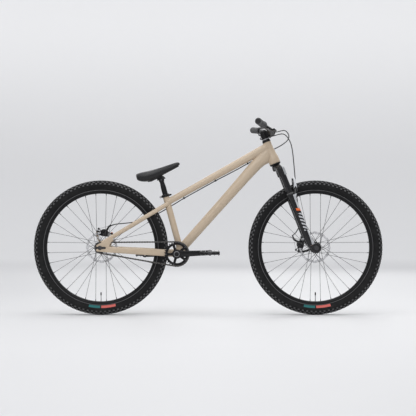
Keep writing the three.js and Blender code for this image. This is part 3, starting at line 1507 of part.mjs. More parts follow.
function makeCaliper(axle, angle, rotorPlane) {
  const at = (out, along, y) => caliperPlace(axle, angle, out, along).setY(rotorPlane + y);
  const bodyRing = (y, shrink) => [
    [caliperInnerRadius + shrink, shrink - caliperHalfLength],
    [caliperOuterRadius - shrink, caliperShoulder - caliperHalfLength],
    [caliperOuterRadius - shrink, caliperHalfLength - caliperShoulder],
    [caliperInnerRadius + shrink, caliperHalfLength - shrink],
  ].map(([out, along]) => at(out, along, y));
  const wide = caliperStopArmHalfWidth;
  const stopOut = caliperPivotRadius + caliperStopOut;
  const bodies = [
    skinned([
      bodyRing(-caliperInboard, caliperChamfer), bodyRing(caliperChamferDepth - caliperInboard, 0),
      bodyRing(caliperOutboard, 0),
    ]),
    limb([
      { at: at(caliperOuterRadius - caliperShoulder, caliperHalfLength / 2, caliperOutboard * 0.55),
        wide, high: caliperStopArmHalfHeight },
      { at: at(stopOut - wide, caliperStopAlong - wide, caliperOutboard * 0.82),
        wide, high: caliperStopArmHalfHeight },
      { at: at(stopOut, caliperStopAlong, caliperOutboard * 1.09), wide, high: wide },
    ], armSides, 1, sideways),
  ];
  [-1, 1].forEach((end) => {
    const ear = (out, along) => at(out, end * along, caliperEarPlane);
    const middle = caliperEarOut + caliperEarThickness / 2;
    bodies.push(rod(ear(caliperEarOut, caliperEarReach),
      ear(caliperEarOut + caliperEarThickness, caliperEarReach), caliperEarRadius, smallSides));
    bodies.push(rod(ear(middle, caliperHalfLength / 2).setY(rotorPlane + caliperOutboard / 2),
      ear(middle, caliperEarReach), caliperEarThickness / 2, smallSides));
  });
  const stop = stopLine(axle, angle, rotorPlane);
  bodies.push(rod(stop.outer, stop.inner, caliperStopRadius, boltSides));
  const slot = moved(turned([
    [0, rotorPlane - caliperSlotHalfWidth], [rotorRadius + cutOverrun, rotorPlane - caliperSlotHalfWidth],
    [rotorRadius + cutOverrun, rotorPlane + caliperSlotHalfWidth], [0, rotorPlane + caliperSlotHalfWidth],
  ], wheelSegments), axle);
  return without(joined(bodies), [slot]);
}

// The cable stop's two ends, in line with the arm's end.
function stopLine(axle, angle, rotorPlane) {
  const y = rotorPlane + caliperOutboard + caliperArmThickness / 2 + seatGap * 2;
  const centre = caliperPlace(axle, angle, caliperPivotRadius + caliperStopOut, caliperStopAlong).setY(y);
  const armEnd = caliperPlace(axle, angle, caliperPivotRadius + caliperArmOut, -caliperArmAlong).setY(y);
  const along = new THREE.Vector3().subVectors(centre, armEnd).normalize();
  return {
    inner: centre.clone().addScaledVector(along, -caliperStopHalfLength),
    outer: centre.clone().addScaledVector(along, caliperStopHalfLength),
    armEnd, along,
  };
}

function makeCaliperArm(axle, angle, rotorPlane) {
  const y = rotorPlane + caliperOutboard + seatGap;
  const far = y + caliperArmThickness;
  const pivot = caliperPlace(axle, angle, caliperPivotRadius, 0);
  const { armEnd } = stopLine(axle, angle, rotorPlane);
  const middle = (y + far) / 2;
  return joined([
    rod(pivot.clone().setY(y), pivot.clone().setY(far + caliperArmBoltHeight),
      caliperArmHubRadius, roundSides),
    limb([
      { at: pivot.clone().setY(middle), wide: caliperArmThickness / 2, high: caliperArmHubRadius * 0.8 },
      { at: armEnd.clone().setY(middle), wide: caliperArmThickness / 2, high: caliperArmEndRadius },
    ], armSides, 0.7),
    rod(armEnd.clone().setY(y), armEnd.clone().setY(far), caliperArmEndRadius, boltSides),
  ]);
}

const rearBrake = [rearAxle, rearCaliperAngle, rearRotorPlane];
const frontBrake = [axleLocal, frontCaliperAngle - headTilt, frontRotorPlane];
part('rear_caliper', makeCaliper(...rearBrake), 'blackMetal', bike);
part('rear_caliper_arm', makeCaliperArm(...rearBrake), 'darkMetal', bike);
part('front_caliper', makeCaliper(...frontBrake), 'blackMetal', steeringGroup);
part('front_caliper_arm', makeCaliperArm(...frontBrake), 'darkMetal', steeringGroup);

// Seat post, collar and saddle, in the seat tube's frame: z runs up the tube

const postFoot = seatTubeLength - postInsertion;
const postTop = postFoot + postLength;

function makeSeatPost() {
  return joined([
    rod(point(0, 0, postFoot), point(0, 0, postTop - postHeadRadius / 2), postRadius, roundSides),
    rod(point(0, -postHeadHalfWidth, postTop - postHeadRadius),
      point(0, postHeadHalfWidth, postTop - postHeadRadius), postHeadRadius, fineSides),
  ]);
}

function makeCollar() {
  const low = seatTubeLength - 2 * collarHalfHeight;
  const inner = roomy(seatTubeRadius + seatGap, fineSides);
  const outer = inner + collarThickness;
  const neck = roomy(postRadius + seatGap, fineSides);
  const ring = turnedUp([
    [inner, low], [outer, low], [outer, seatTubeLength + collarLip], [neck, seatTubeLength + collarLip],
    [neck, seatTubeLength + seatGap], [inner, seatTubeLength + seatGap],
  ], fineSides);
  const top = seatTubeLength + collarLip;
  const ears = block(point(-outer - collarEarReach, -collarEarHalfWidth, low + collarEarInset),
    point(-inner, collarEarHalfWidth, top - collarEarInset));
  const slit = block(point(-outer - collarEarReach - cutOverrun, -collarSlitHalfWidth, low - cutOverrun),
    point(-postRadius, collarSlitHalfWidth, top + cutOverrun));
  return joined([ring, ears]).subtract(slit);
}

part('seat_collar', makeCollar(), 'blackMetal', seatGroup);
part('seat_post', makeSeatPost(), 'blackMetal', seatGroup);

// The saddle lies in its own frame on the post's head: x towards its nose, z up from the head's axis.
const saddleGroup = new THREE.Group();
saddleGroup.position.set(0, 0, postTop - postHeadRadius);
saddleGroup.rotation.y = seatTilt - saddleTilt;
seatGroup.add(saddleGroup);

// Stations of the pad from tail to nose: shares of its length and half width, then the heights of its
// top, its edge and its underside as shares of the pad's height over the head's axis.
const saddleShares = [
  [0, 0.58, 0.83, 0.67, 0.55], [0.05, 0.86, 0.97, 0.67, 0.37], [0.16, 1, 1.02, 0.6, 0.17],
  [0.3, 0.93, 1, 0.55, 0.13], [0.42, 0.66, 1, 0.6, 0.23], [0.55, 0.42, 1.03, 0.68, 0.4],
  [0.7, 0.31, 1.08, 0.77, 0.55], [0.85, 0.28, 1.13, 0.87, 0.68], [0.95, 0.25, 1.15, 0.92, 0.78],
  [1, 0.15, 1.07, 0.95, 0.87],
];

// Half a section of the pad: shares of the station's half width, and of the way down from its top to
// its edge (up to 1) and on to its underside (up to 2).
const saddleSectionShares = [
  [0, 0], [0.3, 0.02], [0.55, 0.1], [0.8, 0.35], [0.95, 0.7], [1, 1], [0.93, 1.5], [0.74, 2],
];

function saddleRing([share, wide, top, edge, under]) {
  const x = -saddleTailBehind + share * saddleLength;
  const outline = saddleSectionShares.map(([out, down]) => {
    const height = down <= 1
      ? THREE.MathUtils.lerp(top, edge, down)
      : THREE.MathUtils.lerp(edge, under, down - 1);
    return [out * wide * saddleHalfWidth, height * saddleHeight];
  });
  const right = outline.map(([y, z]) => point(x, -y, z));
  const left = outline.slice(1).map(([y, z]) => point(x, y, z)).reverse();
  return [...right, ...left];
}

function makeSaddlePad() {
  return skinned(saddleShares.map(saddleRing));
}

part('saddle_pad', makeSaddlePad(), 'cover', saddleGroup);

// The moulded base under the pad, with the curved seat that clamps on the post's head.
function makeSaddleBase() {
  const ring = ([share, wide, , , under]) => {
    const x = -saddleTailBehind + share * saddleLength;
    const y = wide * saddleHalfWidth * 0.7;
    const top = under * saddleHeight - seatGap;
    const low = top - saddleBaseThickness;
    return [point(x, -y, top), point(x, y, top), point(x, y * 0.9, low), point(x, -y * 0.9, low)];
  };
  const seat = rod(point(0, -saddleHalfWidth, 0), point(0, saddleHalfWidth, 0),
    roomy(postHeadRadius + seatGap, fineSides), fineSides);
  return skinned(saddleShares.slice(2, -1).map(ring)).subtract(seat);
}

part('saddle_base', makeSaddleBase(), 'blackPlastic', saddleGroup);

// Cable housings, along the routes that they keep. Each table gives the hand-laid points of one stretch
// as shares, so the routes follow the tubes that carry them.

const rearHeadShares = [
  [0.829, -1.113, 0.65], [0.954, -0.73, 0.443], [0.907, -0.33, 0.274], [0.72, 0.052, 0.179],
  [0.398, 0.296, 0.118], [0.072, 0.365, 0.096],
];
const rearTopTubeShares = [
  [0.941, 1.818, -1.132], [0.889, 1.682, -1.156], [0.834, 1.545, -1.136], [0.775, 1.364, -1.111],
  [0.72, 1, -1.131], [0.66, 0.409, -1.146], [0.59, 0, -1.108], [0.456, 0, -1.02], [0.146, 0, -1.021],
];
const rearStayShares = [
  [-0.072, 0.238, -0.441], [0.007, 0.571, -0.425], [0.134, 0.857, -0.457], [0.292, 1.333, -0.253],
  [0.474, 1.714, 0.311],
];
const frontHeadShares = [
  [0.884, 1.148, 0.6], [1.02, 0.904, 0.23], [0.966, 0.73, -0.244], [0.723, 0.557, -1.082],
  [0.618, 0.504, -1.424],
];
const frontLegShares = [
  [0.357, 1.2, 0.617], [0.525, 1.415, 0.249], [0.706, 1.415, -0.298], [0.761, 1.231, -0.726],
];
const clampCentre = onHead(stemReach, 0, barHeight);

// Points round the head tube: shares of its length ahead, to the left and up from its middle.
const roundHead = (shares) => shares.map((row) => onHead(...row.map((share) => share * headTubeLength)));

// Points beside a line: a share of its length, then shares of a unit to the left and up or forward.
function beside(from, to, unit, shares) {
  const along = new THREE.Vector3().subVectors(to, from);
  const lift = new THREE.Vector3().crossVectors(along, sideways).normalize();
  if (lift.z < 0) lift.negate();
  return shares.map(([share, side, up]) => mixed(from, to, share)
    .addScaledVector(sideways, side * unit).addScaledVector(lift, up * unit));
}

function leverExit(side) {
  const { place, b } = barFrame(side, leverClampPlace, leverDroop);
  const end = place(leverBarrelForward, -leverBarrelInboard - leverBarrelLength - seatGap, 0)
    .add(clampCentre);
  return [end, end.clone().addScaledVector(b, -housingLead)];
}

function stopEntry(axle, angle, rotorPlane, lead) {
  const { outer, along } = stopLine(axle, angle, rotorPlane);
  return [outer.clone().addScaledVector(along, lead), outer.clone().addScaledVector(along, seatGap)];
}

function makeRearHousing() {
  const topTubeEnds = [onSeatTube(topTubeSeatJoint), onHead(0, 0, topTubeHeadJoint)];
  return cord([
    ...leverExit(-1), ...roundHead(rearHeadShares),
    ...beside(...topTubeEnds, topTubeHeadHalfHeight, rearTopTubeShares),
    ...beside(stayRoot, stayEnd, stayBendSpread, rearStayShares),
    ...stopEntry(rearAxle, rearCaliperAngle, rearRotorPlane, rearHousingLead),
  ], housingRadius, housingSides, rearHousingSteps);
}

function makeFrontHousing() {
  return cord([
    ...leverExit(1), ...roundHead(frontHeadShares),
    ...beside(onHead(0, 0, crownRace), frontAxle, legSpread, frontLegShares),
    ...stopEntry(frontAxle, frontCaliperAngle, frontRotorPlane, frontHousingLead),
  ], housingRadius, housingSides, frontHousingSteps);
}

part('rear_brake_housing', makeRearHousing(), 'housing', bike);
part('front_brake_housing', makeFrontHousing(), 'housing', bike);

export default bike;
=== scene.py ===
# %% [markdown]
# A dirt jump bike dressed in Blender
#
# The bike's structure is already there when this lesson starts: every tube, bearing and lever has
# its size, place and joint. What is left is the look. Each cell below takes one piece or one finish,
# says what it is on the real bike, and then makes it.

# %% Load the bare bike
import json
import math

import bmesh
import bpy
import numpy as np
from mathutils import Matrix, Vector
from mathutils.bvhtree import BVHTree


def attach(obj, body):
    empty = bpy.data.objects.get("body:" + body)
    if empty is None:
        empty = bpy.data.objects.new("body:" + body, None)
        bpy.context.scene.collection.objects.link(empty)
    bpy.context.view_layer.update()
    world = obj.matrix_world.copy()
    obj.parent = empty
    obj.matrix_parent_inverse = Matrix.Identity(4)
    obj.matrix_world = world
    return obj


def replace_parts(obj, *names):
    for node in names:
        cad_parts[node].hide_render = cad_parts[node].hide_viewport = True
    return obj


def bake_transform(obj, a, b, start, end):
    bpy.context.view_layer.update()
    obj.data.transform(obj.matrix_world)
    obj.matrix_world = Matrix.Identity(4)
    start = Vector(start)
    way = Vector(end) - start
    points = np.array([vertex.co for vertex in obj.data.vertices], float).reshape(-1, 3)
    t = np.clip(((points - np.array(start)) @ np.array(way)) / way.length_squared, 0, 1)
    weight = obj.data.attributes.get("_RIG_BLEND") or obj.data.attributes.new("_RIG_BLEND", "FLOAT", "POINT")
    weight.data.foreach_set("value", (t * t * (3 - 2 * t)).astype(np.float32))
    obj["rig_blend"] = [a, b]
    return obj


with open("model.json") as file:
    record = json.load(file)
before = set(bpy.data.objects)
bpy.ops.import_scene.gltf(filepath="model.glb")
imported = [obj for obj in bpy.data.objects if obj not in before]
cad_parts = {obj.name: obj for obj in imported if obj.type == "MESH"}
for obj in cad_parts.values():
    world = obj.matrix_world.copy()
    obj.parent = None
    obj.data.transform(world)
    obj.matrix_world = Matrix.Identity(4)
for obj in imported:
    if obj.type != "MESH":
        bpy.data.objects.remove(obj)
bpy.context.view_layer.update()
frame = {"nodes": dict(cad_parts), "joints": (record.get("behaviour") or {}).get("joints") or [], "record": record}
record = frame["record"]
body_of_node = {n: b for b, nodes in record["behaviour"]["bodies"].items() for n in nodes}
slot_of_node = {part["node"]: part["material_slot"] for part in record["subparts"]}
joints = {joint["name"]: joint for joint in frame["joints"]}
mm = 0.001

rear_axle = Vector(joints["rear_wheel_spin"]["pos_m"])
front_axle = Vector(joints["front_wheel_spin"]["pos_m"])
bottom_bracket = Vector(joints["crank_spin"]["pos_m"])
head_centre = Vector(joints["steering_turn"]["pos_m"])
head_up = Vector(joints["steering_turn"]["axis"]).normalized()
seat_up = Vector(joints["seat_height"]["axis"]).normalized()
forward = Vector((1, 0, 0))
sideways = Vector((0, 1, 0))
upward = Vector((0, 0, 1))
head_forward = sideways.cross(head_up)
both_sides = (("right", -1), ("left", 1))
axles = {"front": front_axle, "rear": rear_axle}
print("wheelbase", round(front_axle.x - rear_axle.x, 4), "m")

# %% [markdown]
# The camera comes first. The photograph was taken from the side with a long lens: both wheels look
# perfectly round and the far side of the bike hides behind the near one. A camera 6.8 m away, level
# with the middle of the frame, gives that view. The stage is a pale floor that curves up into a
# backdrop, so no horizon line shows, lit by large soft lights from above.

# %% Camera, stage and light
camera_distance = 6.8
camera_height = 0.5353
picture_width = 2.089
sensor = 36.0


def new_object(name, data):
    obj = bpy.data.objects.new(name, data)
    bpy.context.scene.collection.objects.link(obj)
    return obj


camera_data = bpy.data.cameras.new("camera")
camera_data.sensor_width = sensor
camera_data.lens = sensor * camera_distance / picture_width
camera = new_object("camera", camera_data)
camera.location = (-0.001, -camera_distance, camera_height)
camera.rotation_euler = (math.radians(90), 0, 0)
bpy.context.scene.camera = camera
bpy.context.scene.view_settings.view_transform = "Standard"


def add_light(name, place, target, size, power):
    data = bpy.data.lights.new(name, "AREA")
    data.shape = "RECTANGLE"
    data.size, data.size_y = size
    data.energy = power
    light = new_object(name, data)
    light.location = place
    light.rotation_euler = (Vector(target) - Vector(place)).to_track_quat("-Z", "Y").to_euler()


add_light("top_softbox", (0.2, -0.3, 3.2), (0, 0, 0.3), (4.5, 3.0), 84)
add_light("near_softbox", (-0.6, -4.6, 2.6), (0, 0, 0.4), (3.6, 2.2), 56)
add_light("far_softbox", (0.8, 4.2, 2.6), (0, 0, 0.4), (3.6, 2.2), 45)

world = bpy.data.worlds.new("studio")
bpy.context.scene.world = world
world.use_nodes = True
world.node_tree.nodes["Background"].inputs["Color"].default_value = (0.95, 0.96, 1.0, 1)
world.node_tree.nodes["Background"].inputs["Strength"].default_value = 0.5

floor_half_width = 26.0
floor_front = -26.0
bend_start = 7.6
bend_radius = 2.8
bend_steps = 24
profile = [(floor_front, 0.0)]
for step in range(bend_steps + 1):
    turn = step / bend_steps * math.pi / 2
    profile.append((bend_start + bend_radius * math.sin(turn), bend_radius * (1 - math.cos(turn))))
profile.append((bend_start + bend_radius, 8.0))
stage_mesh = bpy.data.meshes.new("stage")
stage_mesh.from_pydata(
    [(x, y, z) for y, z in profile for x in (-floor_half_width, floor_half_width)],
    [],
    [(2 * i, 2 * i + 1, 2 * i + 3, 2 * i + 2) for i in range(len(profile) - 1)],
)
for face in stage_mesh.polygons:
    face.use_smooth = True
new_object("stage", stage_mesh)
print("camera lens", round(camera_data.lens, 1), "mm")

# %% [markdown]
# Every finish is a small node tree. Writing sums as nodes by hand is long-winded, so one class wraps
# an output socket: adding or multiplying it adds the Math nodes, and one method makes any other node.
# The same class builds the shader trees here and the geometry trees further down.

# %% A way to write node trees


class Link:
    """An output socket of a node tree. Sums on it become Math nodes."""

    def __init__(self, tree, socket):
        self.tree = tree
        self.socket = socket

    def node(self, kind, settings=None, values=None, out=0):
        made = self.tree.nodes.new(kind)
        for key, value in (settings or {}).items():
            setattr(made, key, value)
        for key, value in (values or {}).items():
            plug(self.tree, made.inputs[key], value)
        return Link(self.tree, made.outputs[out])

    def maths(self, operation, *others):
        values = dict(enumerate((self, *others)))
        return self.node("ShaderNodeMath", {"operation": operation}, values)

    def __add__(self, other):
        return self.maths("ADD", other)

    def __radd__(self, other):
        return self.maths("ADD", other)

    def __sub__(self, other):
        return self.maths("SUBTRACT", other)

    def __rsub__(self, other):
        return self.maths("MULTIPLY_ADD", -1.0, other)

    def __mul__(self, other):
        return self.maths("MULTIPLY", other)

    def __rmul__(self, other):
        return self.maths("MULTIPLY", other)

    def __truediv__(self, other):
        return self.maths("DIVIDE", other)

    def above(self, edge, softness):
        """0 under the edge and 1 over it, with a soft step between."""
        return self.node(
            "ShaderNodeMapRange",
            {"interpolation_type": "SMOOTHSTEP"},
            {"Value": self, "From Min": edge - softness, "From Max": edge + softness},
        )

    def part(self, axis):
        return self.node("ShaderNodeSeparateXYZ", None, {0: self}, "XYZ".index(axis))


def plug(tree, socket, value):
    if isinstance(value, Link):
        tree.links.new(value.socket, socket)
    else:
        socket.default_value = value


class Finish:
    """A material under construction: its place on the piece, its noises, and its shader."""

    def __init__(self, name, metallic=0.0, coat=0.0, specular=0.5, sheen=0.0):
        self.material = bpy.data.materials.new(name)
        self.material.use_nodes = True
        self.tree = self.material.node_tree
        self.shader = self.tree.nodes["Principled BSDF"]
        self.place = Link(self.tree, self.tree.nodes.new("ShaderNodeTexCoord").outputs["Object"])
        self.shader.inputs["Metallic"].default_value = metallic
        self.shader.inputs["Coat Weight"].default_value = coat
        self.shader.inputs["Coat Roughness"].default_value = 0.12
        self.shader.inputs["Specular IOR Level"].default_value = specular
        self.shader.inputs["Sheen Weight"].default_value = sheen

    def noise(self, scale, detail=3.0, stretch=None, seed=0.0):
        place = self.place
        if stretch:
            place = place.node("ShaderNodeMapping", None, {"Vector": place, "Scale": stretch})
        values = {"Vector": place, "W": seed, "Scale": scale, "Detail": detail, "Roughness": 0.55}
        return place.node("ShaderNodeTexNoise", {"noise_dimensions": "4D"}, values)

    def cells(self, scale):
        values = {"Vector": self.place, "Scale": scale}
        return self.place.node("ShaderNodeTexVoronoi", None, values)

    def mix(self, share, first, second):
        def colour(value):
            return value if isinstance(value, Link) else (*value, 1.0)

        values = {0: share, 6: colour(first), 7: colour(second)}
        return self.place.node("ShaderNodeMix", {"data_type": "RGBA"}, values, 2)

    def edges(self, width):
        """1 on convex edges, where paint and anodising wear first."""
        bevel = self.place.node("ShaderNodeNewGeometry", None, None, 7)
        return bevel.above(0.5 + width, 0.03)

    def kept(self, name):
        """A number that the mesh keeps on every vertex."""
        return self.place.node("ShaderNodeAttribute", {"attribute_name": name}, None, 2)

    def done(self, colour, roughness, bumps=()):
        plug(self.tree, self.shader.inputs["Base Color"],
             colour if isinstance(colour, Link) else (*colour, 1))
        plug(self.tree, self.shader.inputs["Roughness"], roughness)
        normal = None
        for height, depth in bumps:
            values = {"Height": height, "Distance": depth, "Strength": 1.0}
            if normal is not None:
                values["Normal"] = normal
            normal = self.place.node("ShaderNodeBump", None, values)
        if normal is not None:
            plug(self.tree, self.shader.inputs["Normal"], normal)
        return self.material


def stage_finish():
    finish = Finish("pale_floor", specular=0.2)
    mottle = finish.noise(1.3)
    depth = finish.place.part("Y")
    height = finish.place.part("Z")
    glow = depth.above(4.5, 4.5) * 0.26 + height.above(1.9, 1.1) * 0.17
    plug(finish.tree, finish.shader.inputs["Emission Color"],
         finish.mix(glow, (0, 0, 0), (1.0, 1.004, 1.012)))
    finish.shader.inputs["Emission Strength"].default_value = 1.0
    return finish.done(finish.mix(mottle * 0.4, (0.7, 0.702, 0.708), (0.725, 0.728, 0.734)), 0.62)


stage_mesh.materials.append(stage_finish())
print("stage finished")

# %% [markdown]
# The frame is aluminium under one even coat of satin sand-coloured paint. Sprayed paint isn't quite
# smooth: it has a faint orange-peel ripple, tiny flecks of pigment, and it is a little darker and
# duller where hands and shoes rub it. Three noises of very different scales say that.

# %% Sand paint


def sand_paint():
    finish = Finish("sand_paint", coat=0.25, specular=0.45)
    clouds = finish.noise(7.0)
    flecks = finish.noise(2600.0, detail=1.0)
    peel = finish.noise(420.0, detail=2.0)
    dust = finish.noise(38.0, detail=5.0, seed=4.0).above(0.6, 0.1)
    base = finish.mix(clouds, (0.5, 0.4, 0.29), (0.53, 0.424, 0.308))
    base = finish.mix(flecks.above(0.64, 0.06) * 0.35, base, (0.68, 0.58, 0.46))
    base = finish.mix(dust * 0.12, base, (0.39, 0.31, 0.225))
    rough = finish.noise(90.0) * 0.1 + dust * 0.06 + 0.33
    return finish.done(base, rough, [(peel, 0.00006)])

# %% [markdown]
# The black parts are not all the same black. The fork is wet-looking gloss paint, the cranks, rims,
# bar and stem are anodised, which is thinner, greyer and shows the machining under it, and bolts and
# axles are blackened steel. Keeping them apart is most of what makes an all-black group readable.

# %% Black paint, anodising and blackened steel


def gloss_black():
    finish = Finish("gloss_black_paint", coat=0.22, specular=0.25)
    clouds = finish.noise(11.0)
    dust = finish.noise(160.0, detail=6.0, seed=2.0).above(0.58, 0.08)
    base = finish.mix(clouds, (0.0075, 0.0075, 0.0085), (0.011, 0.011, 0.012))
    base = finish.mix(dust * 0.1, base, (0.06, 0.06, 0.06))
    peel = finish.noise(500.0, detail=1.0)
    return finish.done(base, dust * 0.1 + 0.2, [(peel, 0.00003)])


def anodised(name="black_anodised", tone=1.0, rough=0.3):
    finish = Finish(name, metallic=0.62, specular=0.25)
    clouds = finish.noise(16.0)
    grain = finish.noise(900.0, detail=2.0, stretch=(1.0, 0.12, 1.0))
    low, high = 0.013 * tone, 0.024 * tone
    base = finish.mix(clouds, (low, low, low * 1.06), (high, high, high * 1.05))
    worn = finish.edges(0.06) * finish.noise(120.0, detail=4.0).above(0.52, 0.08)
    base = finish.mix(worn * 0.5, base, (0.16, 0.16, 0.165))
    return finish.done(base, grain * 0.16 + rough, [(grain, 0.00002)])


def dark_steel():
    finish = Finish("dark_steel", metallic=0.9)
    clouds = finish.noise(60.0, detail=4.0)
    base = finish.mix(clouds, (0.045, 0.045, 0.05), (0.095, 0.093, 0.095))
    return finish.done(base, clouds * 0.25 + 0.25, [(finish.noise(700.0), 0.00003)])


def bright_steel(name="bright_steel", low=0.36, high=0.58, rough=0.22):
    finish = Finish(name, metallic=1.0)
    clouds = finish.noise(45.0, detail=4.0)
    brushing = finish.noise(1400.0, detail=2.0, stretch=(0.2, 1.0, 1.0))
    base = finish.mix(clouds, (low, low, low * 1.03), (high, high, high * 1.02))
    return finish.done(base, brushing * 0.2 + rough, [(brushing, 0.00002)])


def chain_steel():
    finish = Finish("chain_steel", metallic=0.95)
    oil = finish.noise(240.0, detail=4.0).above(0.5, 0.14)
    base = finish.mix(oil, (0.16, 0.155, 0.15), (0.03, 0.028, 0.026))
    return finish.done(base, oil * 0.25 + 0.26, [(finish.noise(900.0), 0.00003)])

# %% [markdown]
# Rubber and plastic look soft because light scatters from a rough, slightly dusty skin. The tyre
# has the faint moulding lines of its sidewall, the grips are tackier and smoother, and the saddle's
# cover is a fine-grained sheet with a sheen.

# %% Rubber, plastic and the saddle's cover


def tyre_rubber():
    finish = Finish("tyre_rubber", specular=0.1)
    dust = finish.noise(26.0, detail=6.0).above(0.55, 0.15)
    lift = finish.kept("lift")
    base = finish.mix(finish.noise(9.0), (0.011, 0.011, 0.0115), (0.017, 0.017, 0.0175))
    base = finish.mix(dust * 0.16, base, (0.05, 0.049, 0.047))
    # The tops of the tread blocks are painted lighter: partly scuffed rubber, partly a painted highlight where the
    # knobs catch the light.
    worn = lift.above(0.78, 0.12) * (finish.noise(70.0, detail=4.0) * 0.5 + 0.45)
    base = finish.mix(worn, base, (0.14, 0.14, 0.143))
    around = finish.kept("around")
    out = finish.kept("out")
    height = finish.place.part("Z")
    band = (1 - height.above(0.15, 0.01)) * out.above(0.2905, 0.0003) * (1 - out.above(0.3025, 0.0003))
    teal = band * around.above(-11.5, 0.1) * (1 - around.above(-0.5, 0.1))
    coral = band * around.above(0.5, 0.1) * (1 - around.above(14.5, 0.1))
    base = finish.mix(teal, base, (0.035, 0.16, 0.16))
    base = finish.mix(coral, base, (0.62, 0.15, 0.13))
    grain = finish.noise(1100.0, detail=3.0)
    rough = finish.noise(60.0) * 0.18 + 0.56
    return finish.done(base, rough, [(grain, 0.00008)])


def soft_rubber():
    finish = Finish("grip_rubber", specular=0.2)
    base = finish.mix(finish.noise(40.0), (0.07, 0.07, 0.071), (0.12, 0.12, 0.121))
    return finish.done(base, finish.noise(80.0) * 0.2 + 0.5, [(finish.noise(1600.0), 0.00005)])


def moulded_plastic():
    finish = Finish("moulded_plastic", specular=0.2)
    pits = finish.cells(1500.0)
    base = finish.mix(finish.noise(30.0), (0.018, 0.018, 0.019), (0.028, 0.028, 0.029))
    return finish.done(base, pits * 0.12 + 0.42, [(pits, 0.00006)])


def saddle_cover():
    finish = Finish("saddle_cover", specular=0.28, sheen=0.04)
    grain = finish.cells(620.0)
    clouds = finish.noise(18.0, detail=4.0)
    base = finish.mix(clouds, (0.01, 0.01, 0.0108), (0.018, 0.018, 0.019))
    base = finish.mix(grain.above(0.5, 0.2) * 0.25, base, (0.035, 0.035, 0.037))
    return finish.done(base, clouds * 0.14 + 0.36, [(grain, 0.00012), (finish.noise(70.0), 0.0002)])


def cable_housing():
    finish = Finish("cable_housing", specular=0.3)
    base = finish.mix(finish.noise(90.0), (0.014, 0.014, 0.015), (0.025, 0.025, 0.026))
    return finish.done(base, finish.noise(200.0) * 0.12 + 0.33)


def plain_accent(name, colour, rough):
    finish = Finish(name, specular=0.45)
    shade = finish.noise(300.0, detail=3.0)
    darker = tuple(c * 0.8 for c in colour)
    return finish.done(finish.mix(shade, darker, colour), shade * 0.1 + rough)


finishes = {
    "frame_paint": sand_paint(),
    "black_paint": gloss_black(),
    "black_metal": anodised(),
    "dark_metal": dark_steel(),
    "steel": bright_steel(),
    "chain_steel": chain_steel(),
    "tyre": tyre_rubber(),
    "rubber": soft_rubber(),
    "black_plastic": moulded_plastic(),
    "cover": saddle_cover(),
    "housing": cable_housing(),
}
for name, node in frame["nodes"].items():
    node.data.materials.clear()
    node.data.materials.append(finishes[slot_of_node[name]])
print(len(finishes), "finishes")

# %% [markdown]
# Most pieces here are lofts, turnings and plates, so those three are written once. A loft joins
# rings of points, a turning is a loft round a line, and a plate is a flat curve with holes that
# Blender fills, thickens and rounds by itself. Every piece ends in the same few lines: sharp edges
# marked, material set, riding on the body of the node that it stands for.

# %% Making pieces


def to_mesh(name, bm):
    mesh = bpy.data.meshes.new(name)
    bmesh.ops.recalc_face_normals(bm, faces=bm.faces)
    bm.to_mesh(mesh)
    bm.free()
    return mesh


def coated(source, finish):
    """A mesh that wears one finish all over."""
    mesh = to_mesh("coated", source) if isinstance(source, bmesh.types.BMesh) else source
    mesh.materials.append(finish)
    return mesh


def note(mesh, name, values):
    """A number kept on every vertex, for the finish to read."""
    mesh.attributes.new(name, "FLOAT", "POINT").data.foreach_set("value", np.asarray(values, np.float32))


def in_m(points):
    """Points, or a profile, written in mm."""
    return [(x * mm, y * mm) for x, y in points]


def add_rings(bm, rings, closed_loop=False):
    """Joins rings of points into a skin, and closes it at both ends or into a loop."""
    made = [[bm.verts.new(p) for p in ring] for ring in rings]
    count = len(made[0])
    pairs = list(zip(made, made[1:]))
    if closed_loop:
        pairs.append((made[-1], made[0]))
    for first, second in pairs:
        for i in range(count):
            j = (i + 1) % count
            bm.faces.new((first[i], first[j], second[j], second[i]))
    if not closed_loop:
        bm.faces.new(made[0])
        bm.faces.new(made[-1])
    return made


def frame_along(direction):
    """Two directions square to the one given."""
    side = sideways if abs(direction.dot(sideways)) < 0.8 else upward
    across = (side - direction * side.dot(direction)).normalized()
    return across, direction.cross(across).normalized()


def oval(centre, across, up, half_width, half_height, sides, roundness=2.0):
    """A superellipse: 2 is a true ellipse, and more is squarer."""
    points = []
    for i in range(sides):
        turn = 2 * math.pi * i / sides
        c, s = math.cos(turn), math.sin(turn)
        x = math.copysign(abs(c) ** (2 / roundness), c) * half_width
        y = math.copysign(abs(s) ** (2 / roundness), s) * half_height
        points.append(centre + across * x + up * y)
    return points


def smooth_stations(stations, steps):
    """Catmull-Rom curve through rows of numbers, so that a limb bends instead of kinking."""
    rows = np.array([[*s[0], *s[1:]] for s in stations], float)
    padded = np.vstack([2 * rows[0] - rows[1], rows, 2 * rows[-1] - rows[-2]])
    made = []
    for i in range(1, len(padded) - 2):
        a, b, c, d = padded[i - 1], padded[i], padded[i + 1], padded[i + 2]
        for step in range(steps):
            t = step / steps
            curve = 2 * b + (c - a) * t
            curve += (2 * a - 5 * b + 4 * c - d) * t**2
            curve += (3 * b - a - 3 * c + d) * t**3
            made.append(0.5 * curve)
    made.append(rows[-1])
    return [(Vector(row[:3]), *row[3:]) for row in made]


def add_limb(bm, stations, sides, roundness=2.0, across=None, smooth=0):
    """A loft through stations of (place, half width, half height), the last two in mm."""
    if smooth:
        stations = smooth_stations(stations, smooth)
    rings = []
    for i, (place, wide, high) in enumerate(stations):
        before = stations[max(i - 1, 0)][0]
        after = stations[min(i + 1, len(stations) - 1)][0]
        direction = (after - before).normalized()
        side = across or frame_along(direction)[0]
        side = (side - direction * side.dot(direction)).normalized()
        rings.append(oval(place, side, direction.cross(side), wide * mm, high * mm, sides, roundness))
    return add_rings(bm, rings)


